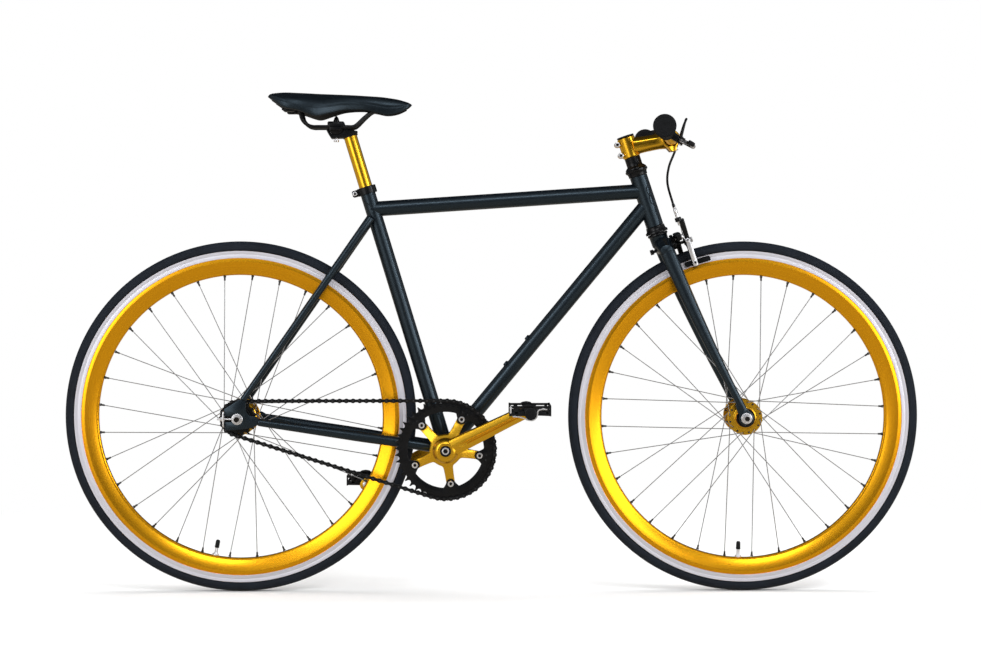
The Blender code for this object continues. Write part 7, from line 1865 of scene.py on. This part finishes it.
def make_saddle_cover(groove):
    """Padded cover: a closed skin from tail to nose, with pressed seams and stitching beside them.

    The top is a cubed oval: (1 - share^3)^(1/3) of the height at each share of the half width. Below the
    edge the cover turns in under the shell. Each seam is a dip of e^(-(distance / width)^2).
    """
    lines, total, seam_height, seam_share = saddle_lines(130), 0.272, 0.4, 0.42
    share = np.sin(np.linspace(0, 1, 34) * np.pi / 2)
    height = np.cbrt(np.maximum(1 - share ** 3, 0))
    under_share = np.array([0.985, 0.955, 0.9, 0.84, 0.74, 0.6, 0.4, 0.2])
    under_height = np.array([-0.045, -0.06, -0.03, 0.06, 0.24, 0.4, 0.5, 0.54])
    across = np.concatenate([share, under_share])
    up = np.concatenate([height, under_height])
    length = lines[:, 0]
    ends = np.minimum(length, total - length) / 0.006
    cap = np.sqrt(np.clip(1 - (1 - np.clip(ends, 0, 1)) ** 2, 0.02, 1))
    half = lines[:, 1] * (0.55 + 0.45 * cap)
    crown = lines[:, 3] + (lines[:, 2] - lines[:, 3]) * (0.5 + 0.5 * cap)
    edge = lines[:, 3] + (lines[:, 2] - lines[:, 3]) * 0.25 * (1 - cap)
    x = SADDLE_TAIL + length
    y = half[:, None] * across
    z = edge[:, None] + (crown - edge)[:, None] * up
    tall = (crown - edge)[:, None]
    column = np.arange(len(across))
    upper, broad = column < 34, column < 30
    seam_side = np.exp(-((up - seam_height) * tall / 0.0011) ** 2) * (across > 0.55) * upper
    top_line = seam_share * half[:, None] + 0.003
    seam_top = np.exp(-((y - top_line) / 0.0013) ** 2) * broad * smooth((length - 0.01) / 0.02)[:, None]
    seam_top = seam_top * smooth((0.262 - length) / 0.02)[:, None]
    dip = groove * (seam_side + 0.8 * seam_top)
    channel = 0.0026 * np.exp(-(y / 0.0085) ** 2) * broad * smooth((length - 0.045) / 0.04)[:, None]
    channel = channel * smooth((0.225 - length) / 0.05)[:, None]
    y = y - dip * across
    z = z - dip * np.clip(up, 0, 1) - channel
    puff = 0.0006 * np.sin(np.clip(up, 0, 1) * np.pi) * upper
    y = np.minimum(y + puff * across, 0.0715)
    right = np.stack([np.broadcast_to(x[:, None], y.shape), y, z], -1)
    left = right[:, -1:0:-1] * [1, -1, 1]
    skin = Skin()
    skin.add(SADDLE_CLAMP + np.concatenate([right, left], axis=1), 0)
    cover = skin.build("Saddle cover", "saddle", ["saddle_cover"], ["saddle_pad"], crease=60)

    stitches = Skin()
    for which in (0, 1):
        if which:
            nearest = np.argmin(np.abs(up[:34] - seam_height))
            path = right[8:124, nearest + 1] + [0, 0.0002, -0.0002]
        else:
            at = np.array([
                np.interp(seam_share * h + 0.0048, line[:30, 1], np.arange(30))
                for line, h in zip(right, half)
            ])
            low = np.floor(at).astype(int)
            part = (at - low)[:, None]
            row = np.arange(130)
            path = right[row, low] * (1 - part) + right[row, np.minimum(low + 1, 41)] * part
            path = path[12:118] + [0, 0, 0.0002]
        dense = even(path, int(np.linalg.norm(np.diff(path, axis=0), axis=1).sum() / 0.0022) * 2)
        for start in range(0, len(dense) - 3, 3):
            for side in (-1, 1):
                piece = SADDLE_CLAMP + dense[start:start + 3] * [1, side, 1]
                stitches.add(tube(piece, np.array([0.00022, 0.00036, 0.00022]), 5, UP))
    stitches.build("Saddle stitching", "saddle", ["stitching"], crease=80)


def make_saddle_base():
    """Moulded shell under the cover, the rail sockets, the nose pocket and the rear clip."""
    lines = saddle_lines(90)
    lines = lines[(lines[:, 0] > 0.009) & (lines[:, 0] < 0.263)]
    top_across = np.array([0.0, 0.2, 0.4, 0.6, 0.7, 0.78, 0.83, 0.86])
    top_up = np.array([0.54, 0.52, 0.47, 0.36, 0.26, 0.14, 0.07, 0.03])
    low_across = np.array([0.84, 0.79, 0.72, 0.62, 0.45, 0.25, 0.0])
    low_up = np.array([0.01, 0.04, 0.13, 0.24, 0.36, 0.43, 0.46])
    across, up = np.concatenate([top_across, low_across]), np.concatenate([top_up, low_up])
    drop = np.concatenate([np.full(8, 0.0012), np.full(7, 0.003)])
    x = SADDLE_TAIL + lines[:, 0]
    y = lines[:, 1, None] * across
    z = lines[:, 3, None] + (lines[:, 2] - lines[:, 3])[:, None] * up - drop
    right = np.stack([np.broadcast_to(x[:, None], y.shape), y, z], -1)
    left = right[:, -2:0:-1] * [1, -1, 1]
    skin = Skin()
    skin.add(SADDLE_CLAMP + np.concatenate([right, left], axis=1), 0)
    for side in (-1, 1):
        socket = soften(mm((-10, -8), (10, -8), (10, 8), (-10, 8)), 0.004, 6)
        place = Place(SADDLE_CLAMP + RAIL_END * [1, side, 1] + [-0.0118, 0, 0.002], AHEAD, UP, LEFT)
        skin.add(slab(socket, -0.007, 0.007, 0.0018, place), 0)
    pocket = soften(mm((-4, -6.5), (4, -6.5), (4, 6.5), (-4, 6.5)), 0.0025, 6)
    place = Place(SADDLE_CLAMP + [0.101 + 0.0078, 0, 0.0334], AHEAD, UP, LEFT)
    skin.add(slab(pocket, -0.008, 0.008, 0.0015, place), 0)
    clip = soften(mm((-30, -3.5), (30, -3.5), (26, 3.5), (-26, 3.5)), 0.002, 5)
    place = Place(SADDLE_CLAMP + [-0.093, 0, 0.0345], LEFT, UP, AHEAD)
    skin.add(slab(clip, -0.008, 0.006, 0.0014, place), 0)
    skin.build("Saddle base", "saddle", ["black_plastic"], ["saddle_base"], crease=34)


def make_saddle_rails():
    """Both rails as one bent rod: down from the rear sockets, level through the clamp, up to the nose."""
    half_way = np.concatenate([[RAIL_END, RAIL_END + [0.0065, -0.0006, -0.0018]], mm(
        (-62, 28.5, 13), (-52, 24.5, 3), (-42, 22, 0), (-32, 22, 0), (16, 22, 0), (32, 22, 0), (40, 21, 4),
        (55, 15.8, 18.5), (69, 11, 29), (85, 8, 31.4), (98, 4.5, 32.2),
    )])
    path = np.concatenate([half_way * [1, -1, 1], [(0.101, 0, 0.0324)], half_way[::-1]])
    skin = Skin()
    skin.add(tube(SADDLE_CLAMP + spline(path, 180), 0.0035, 20, UP))
    skin.build("Saddle rails", "saddle", ["rail_black"], ["saddle_rails"])


# Stage


def looking(place, way):
    """Matrix of a lamp or camera that stands at a place and looks along a way."""
    return Matrix.Translation(place) @ way.to_track_quat("-Z", "Y").to_matrix().to_4x4()


def area_light(name, place, aim, power, width, height):
    """Soft rectangular lamp turned towards a point. Reflections see the stage's cards in its stead."""
    data = bpy.data.lights.new(name, "AREA")
    data.shape = "RECTANGLE"
    data.size, data.size_y, data.energy = width, height, power
    lamp = bpy.data.objects.new(name, data)
    lamp.visible_glossy = False
    lamp.matrix_world = looking(place, Vector(aim) - Vector(place))
    bpy.context.scene.collection.objects.link(lamp)


def stage_card(name, centre, across, over, shade):
    """Flat card that only reflections see: it gives polished metal and paint their bright and dark bands."""
    mesh = bpy.data.meshes.new(name)
    corners = np.array([(-1, -1), (1, -1), (1, 1), (-1, 1)]) @ np.array([across, over], float)
    mesh.from_pydata((np.array(centre) + corners).tolist(), [], [(0, 1, 2, 3)])
    made = bpy.data.objects.new(name, mesh)
    bpy.context.scene.collection.objects.link(made)
    material = bpy.data.materials.new(name)
    material.use_nodes = True
    tree = material.node_tree
    tree.nodes.clear()
    glow = add_node(tree, "ShaderNodeEmission", {"Color": (*shade, 1), "Strength": 1.0})
    add_node(tree, "ShaderNodeOutputMaterial", {"Surface": glow.outputs[0]})
    mesh.materials.append(material)
    for ray in ("camera", "diffuse", "shadow", "transmission", "volume_scatter"):
        setattr(made, f"visible_{ray}", False)


def make_world(fill, mirror):
    """White for the camera, one level for reflections and another for diffuse light."""
    world = bpy.data.worlds.new("Studio")
    bpy.context.scene.world = world
    world.use_nodes = True
    tree = world.node_tree
    tree.nodes.clear()
    path = add_node(tree, "ShaderNodeLightPath").outputs
    glossy = worked(tree, "MULTIPLY", path["Is Glossy Ray"], mirror - fill)
    seen = worked(tree, "ADD", path["Is Camera Ray"], path["Is Transmission Ray"])
    strength = worked(tree, "ADD", worked(tree, "MULTIPLY_ADD", seen, 1.0 - fill, fill), glossy)
    light = add_node(tree, "ShaderNodeBackground", {"Color": (1, 1, 1, 1), "Strength": strength})
    add_node(tree, "ShaderNodeOutputWorld", {"Surface": light.outputs[0]})


def make_floor(size):
    """Pale floor that keeps the shadow. Far from the bicycle the camera sees it as plain white."""
    count, depth = 21, -0.0002
    t = np.linspace(-size / 2, size / 2, count)
    x, y = np.meshgrid(t, t, indexing="ij")
    points = np.stack([x, y, np.full_like(x, depth)], -1).reshape(-1, 3)
    corner = np.arange(count * count).reshape(count, count)[:-1, :-1].ravel()
    mesh = bpy.data.meshes.new("Floor")
    faces = np.stack([corner, corner + count, corner + count + 1, corner + 1], -1)
    mesh.from_pydata(points.tolist(), [], faces.tolist())
    floor = bpy.data.objects.new("Floor", mesh)
    bpy.context.scene.collection.objects.link(floor)
    material = bpy.data.materials.new("Pale floor")
    material.use_nodes = True
    tree = material.node_tree
    shader = tree.nodes["Principled BSDF"]
    place = add_node(tree, "ShaderNodeTexCoord").outputs["Object"]
    grain = noise(tree, place, 3.0, 3.0)
    tree.links.new(spread(tree, grain["Fac"], 0.0, 1.0, 0.94, 0.96), shader.inputs["Base Color"])
    shader.inputs["Roughness"].default_value = 0.9
    shader.inputs["Specular IOR Level"].default_value = 0.0
    away = add_node(tree, VECTOR_MATH, {0: place}, operation="LENGTH").outputs["Value"]
    path = add_node(tree, "ShaderNodeLightPath").outputs
    far = worked(tree, "MULTIPLY", spread(tree, away, 1.0, 1.7, 0.0, 1.0), path["Is Camera Ray"])
    white = add_node(tree, "ShaderNodeEmission", {"Color": (1, 1, 1, 1), "Strength": 1.0}).outputs[0]
    both = add_node(tree, "ShaderNodeMixShader", {0: far, 1: shader.outputs[0], 2: white}).outputs[0]
    # Reflections see the floor as an even warm grey glow, a painted reflection in place of the lit floor
    low = add_node(tree, "ShaderNodeEmission", {"Color": (0.5, 0.45, 0.38, 1), "Strength": 1.0}).outputs[0]
    both = add_node(tree, "ShaderNodeMixShader", {0: path["Is Glossy Ray"], 1: both, 2: low}).outputs[0]
    tree.links.new(both, tree.nodes["Material Output"].inputs["Surface"])
    mesh.materials.append(material)


def make_camera():
    """Camera at the photograph's side view: slightly from above, at the height of the top tube."""
    data = bpy.data.cameras.new("Camera")
    data.lens, data.sensor_width, data.clip_end = 72.87, 36.0, 100.0
    yaw, pitch = np.radians(0.533), np.radians(1.932)
    forward = Vector((np.sin(yaw) * np.cos(pitch), np.cos(yaw) * np.cos(pitch), -np.sin(pitch)))
    camera = bpy.data.objects.new("Camera", data)
    camera.matrix_world = looking((-0.0384, -3.7855, 0.6268), forward)
    bpy.context.scene.collection.objects.link(camera)
    bpy.context.scene.camera = camera


def make_stage(settings):
    """Camera, floor, world, lamps and cards."""
    bpy.context.scene.view_settings.view_transform = "Standard"
    make_camera()
    make_world(settings.fill, settings.mirror)
    make_floor(settings.floor_size)
    centre = (0.0, 0.0, 0.45)
    area_light("Key lamp", (2.4, -2.6, 3.2), centre, 105 * settings.lamps, 2.6, 1.6)
    area_light("Top lamp", (0.0, 0.4, 3.6), centre, 66 * settings.lamps, 4.0, 1.2)
    area_light("Left lamp", (-3.2, -2.2, 1.8), centre, 32 * settings.lamps, 2.0, 2.0)
    for name, card, across, over, shade in (
        ("Back card", (0.0, 5.0, 4.9), (6.5, 0, 0), (0, 0, 4.8), (0.03, 0.035, 0.04)),
        ("Right soft card", (2.9, -3.0, 0.98), (0.9, 0.7, 0), (0, 0, 0.86), (3.3, 3.3, 3.3)),
        ("Left soft card", (-2.8, -3.0, 1.08), (0.9, -0.7, 0), (0, 0, 0.92), (2.8, 2.8, 2.8)),
        ("Right strip", (4.6, -2.7, 1.3), (0.3, 0.52, 0), (0, 0, 1.5), (9.0, 9.3, 9.6)),
        ("Left strip", (-3.6, -3.9, 2.2), (0.5, -0.46, 0), (0, 0, 1.7), (7.0, 7.2, 7.5)),
        ("High strip", (0.2, -9.0, 7.6), (2.2, 0, 0), (0, 0.75, 0.95), (6.6, 6.8, 7.0)),
        ("Dark ceiling", (0.0, 2.5, 7.0), (6.0, 0, 0), (0, 4.0, 0), (0.04, 0.04, 0.045)),
        ("Dark front", (0.15, -4.3, 1.0), (0.95, 0, 0), (0, 0, 0.85), (0.12, 0.12, 0.13)),
    ):
        stage_card(name, card, across, over, shade)


# Add-on layout


class BicycleSettings(bpy.types.PropertyGroup):
    """Colours and sizes of the bicycle's finishes."""

    paint: FloatVectorProperty(
        name="Frame paint", description="Colour of the frame and fork", size=3, subtype="COLOR", min=0, max=1,
        default=(0.0028, 0.0047, 0.007),
    )
    gold: FloatVectorProperty(
        name="Polished gold", description="Colour of the polished cockpit, seatpost, cranks and hubs", size=3,
        subtype="COLOR", min=0, max=1, default=(0.86, 0.48, 0.03),
    )
    rim: FloatVectorProperty(
        name="Rim gold", description="Colour of the rims", size=3, subtype="COLOR", min=0, max=1,
        default=(1.0, 0.46, 0.012),
    )
    rubber: FloatVectorProperty(
        name="Tyre rubber", description="Colour of the tyres", size=3, subtype="COLOR", min=0, max=1,
        default=(0.0065, 0.009, 0.014),
    )
    black: FloatVectorProperty(
        name="Black parts", description="Colour of black metal and plastic", size=3, subtype="COLOR", min=0,
        max=1, default=(0.0036, 0.0039, 0.0046),
    )
    steel: FloatVectorProperty(
        name="Bright steel", description="Colour of bolts, axles and the brake", size=3, subtype="COLOR",
        min=0, max=1, default=(0.78, 0.78, 0.8),
    )
    seam: FloatProperty(
        name="Seam depth", description="How deep the seams of the saddle are pressed", subtype="DISTANCE",
        unit="LENGTH", min=0, max=0.002, default=0.0007,
    )


class StudioSettings(bpy.types.PropertyGroup):
    """Levels of the studio light and the size of the floor."""

    lamps: FloatProperty(name="Lamps", description="Level of all lamps", min=0, max=4, default=1.0)
    fill: FloatProperty(name="Fill", description="Level of the even light around", min=0, max=2, default=0.55)
    mirror: FloatProperty(
        name="Mirrored level", description="Level of the surroundings in reflections", min=0, max=2,
        default=0.42,
    )
    floor_size: FloatProperty(
        name="Floor size", description="Side of the square floor", subtype="DISTANCE", unit="LENGTH", min=4,
        max=60, default=30,
    )


class MakeFinishes(bpy.types.Operator):
    """Materials of all pieces, from the colours of the panel."""

    bl_idname = "bicycle.finishes"
    bl_label = "Finishes"

    def execute(self, context):
        make_finishes(context.scene.bicycle)
        return {"FINISHED"}


class MakeMainFrame(bpy.types.Operator):
    """Head tube, top tube, down tube, seat tube and bottom bracket shell with their welds."""

    bl_idname = "bicycle.main_frame"
    bl_label = "Main frame"

    def execute(self, context):
        make_main_frame()
        return {"FINISHED"}


class MakeRearFrame(bpy.types.Operator):
    """Chain stays, seat stays, bridge and track ends."""

    bl_idname = "bicycle.rear_frame"
    bl_label = "Stays and track ends"

    def execute(self, context):
        make_rear_frame()
        return {"FINISHED"}


class MakeFrameFittings(bpy.types.Operator):
    """Seat clamp, headset cups, bottom bracket cups, rear axle and chain tensioners."""

    bl_idname = "bicycle.frame_fittings"
    bl_label = "Frame fittings"

    def execute(self, context):
        make_frame_fittings()
        return {"FINISHED"}


class MakeFork(bpy.types.Operator):
    """Crown, steerer, blades and front axle."""

    bl_idname = "bicycle.fork"
    bl_label = "Fork"

    def execute(self, context):
        make_fork()
        return {"FINISHED"}


class MakeStem(bpy.types.Operator):
    """Stem, faceplate, spacers and top cap."""

    bl_idname = "bicycle.stem"
    bl_label = "Stem and headset"

    def execute(self, context):
        make_stem()
        return {"FINISHED"}


class MakeHandlebar(bpy.types.Operator):
    """Handlebar with a rubber grip at each end."""

    bl_idname = "bicycle.handlebar"
    bl_label = "Handlebar and grips"

    def execute(self, context):
        make_handlebar()
        make_grips()
        return {"FINISHED"}


class MakeBrakeLever(bpy.types.Operator):
    """Lever bracket and blade."""

    bl_idname = "bicycle.brake_lever"
    bl_label = "Brake lever"

    def execute(self, context):
        make_brake_lever()
        return {"FINISHED"}


class MakeBrakeCable(bpy.types.Operator):
    """Cable housing and bare wire."""

    bl_idname = "bicycle.brake_cable"
    bl_label = "Brake cable"

    def execute(self, context):
        make_cable()
        return {"FINISHED"}


class MakeCaliper(bpy.types.Operator):
    """Caliper bolt, arms and pads."""

    bl_idname = "bicycle.caliper"
    bl_label = "Brake caliper"

    def execute(self, context):
        make_caliper()
        return {"FINISHED"}


class MakeWheels(bpy.types.Operator):
    """Rims, tyres, spokes, nipples, hubs and valves."""

    bl_idname = "bicycle.wheels"
    bl_label = "Wheels"

    def execute(self, context):
        make_wheels()
        return {"FINISHED"}


class MakeChain(bpy.types.Operator):
    """Roller chain, rear cog and lockring."""

    bl_idname = "bicycle.chain"
    bl_label = "Chain and cog"

    def execute(self, context):
        make_chain()
        make_cog()
        return {"FINISHED"}


class MakeCranks(bpy.types.Operator):
    """Crank arms, spindle, chainring and its bolts."""

    bl_idname = "bicycle.cranks"
    bl_label = "Cranks and chainring"

    def execute(self, context):
        make_cranks()
        make_chainring()
        return {"FINISHED"}


class MakePedals(bpy.types.Operator):
    """Pedal spindles and cages."""

    bl_idname = "bicycle.pedals"
    bl_label = "Pedals"

    def execute(self, context):
        make_pedals()
        return {"FINISHED"}


class MakeSeatpost(bpy.types.Operator):
    """Seatpost, its head and the clamp for the rails."""

    bl_idname = "bicycle.seatpost"
    bl_label = "Seatpost and saddle clamp"

    def execute(self, context):
        make_seatpost()
        make_saddle_clamp()
        return {"FINISHED"}


class MakeSaddle(bpy.types.Operator):
    """Cover with stitching, base and rails."""

    bl_idname = "bicycle.saddle"
    bl_label = "Saddle"

    def execute(self, context):
        make_saddle_cover(context.scene.bicycle.seam)
        make_saddle_base()
        make_saddle_rails()
        return {"FINISHED"}


class MakeStage(bpy.types.Operator):
    """Camera, floor, world, lamps and reflection cards."""

    bl_idname = "bicycle.stage"
    bl_label = "Stage"

    def execute(self, context):
        make_stage(context.scene.studio)
        return {"FINISHED"}


PIECES = (
    MakeFinishes, MakeMainFrame, MakeRearFrame, MakeFrameFittings, MakeFork, MakeStem, MakeHandlebar,
    MakeBrakeLever, MakeBrakeCable, MakeCaliper, MakeWheels, MakeChain, MakeCranks, MakePedals, MakeSeatpost,
    MakeSaddle, MakeStage,
)


class BicyclePanel(bpy.types.Panel):
    """Lists the settings and one button for each group of pieces."""

    bl_idname = "VIEW3D_PT_bicycle"
    bl_label = "Bicycle"
    bl_space_type = "VIEW_3D"
    bl_region_type = "UI"
    bl_category = "Bicycle"

    def draw(self, context):
        for settings in (context.scene.bicycle, context.scene.studio):
            for name in settings.__annotations__:
                self.layout.prop(settings, name)
        for piece in PIECES:
            self.layout.operator(piece.bl_idname)


CLASSES = (BicycleSettings, StudioSettings) + PIECES + (BicyclePanel,)


def register():
    """Makes the operators, the panel and the settings known."""
    for item in CLASSES:
        bpy.utils.register_class(item)
    bpy.types.Scene.bicycle = PointerProperty(type=BicycleSettings)
    bpy.types.Scene.studio = PointerProperty(type=StudioSettings)


def unregister():
    """Takes all of them out again."""
    del bpy.types.Scene.studio
    del bpy.types.Scene.bicycle
    for item in reversed(CLASSES):
        bpy.utils.unregister_class(item)


def main():
    """Makes the whole bicycle in order."""
    register()
    bpy.ops.bicycle.finishes()
    bpy.ops.bicycle.stage()
    bpy.ops.bicycle.main_frame()
    bpy.ops.bicycle.rear_frame()
    bpy.ops.bicycle.frame_fittings()
    bpy.ops.bicycle.fork()
    bpy.ops.bicycle.stem()
    bpy.ops.bicycle.handlebar()
    bpy.ops.bicycle.brake_lever()
    bpy.ops.bicycle.brake_cable()
    bpy.ops.bicycle.caliper()
    bpy.ops.bicycle.wheels()
    bpy.ops.bicycle.chain()
    bpy.ops.bicycle.cranks()
    bpy.ops.bicycle.pedals()
    bpy.ops.bicycle.seatpost()
    bpy.ops.bicycle.saddle()
    bpy.context.view_layer.update()


if __name__ == "__main__":
    main()
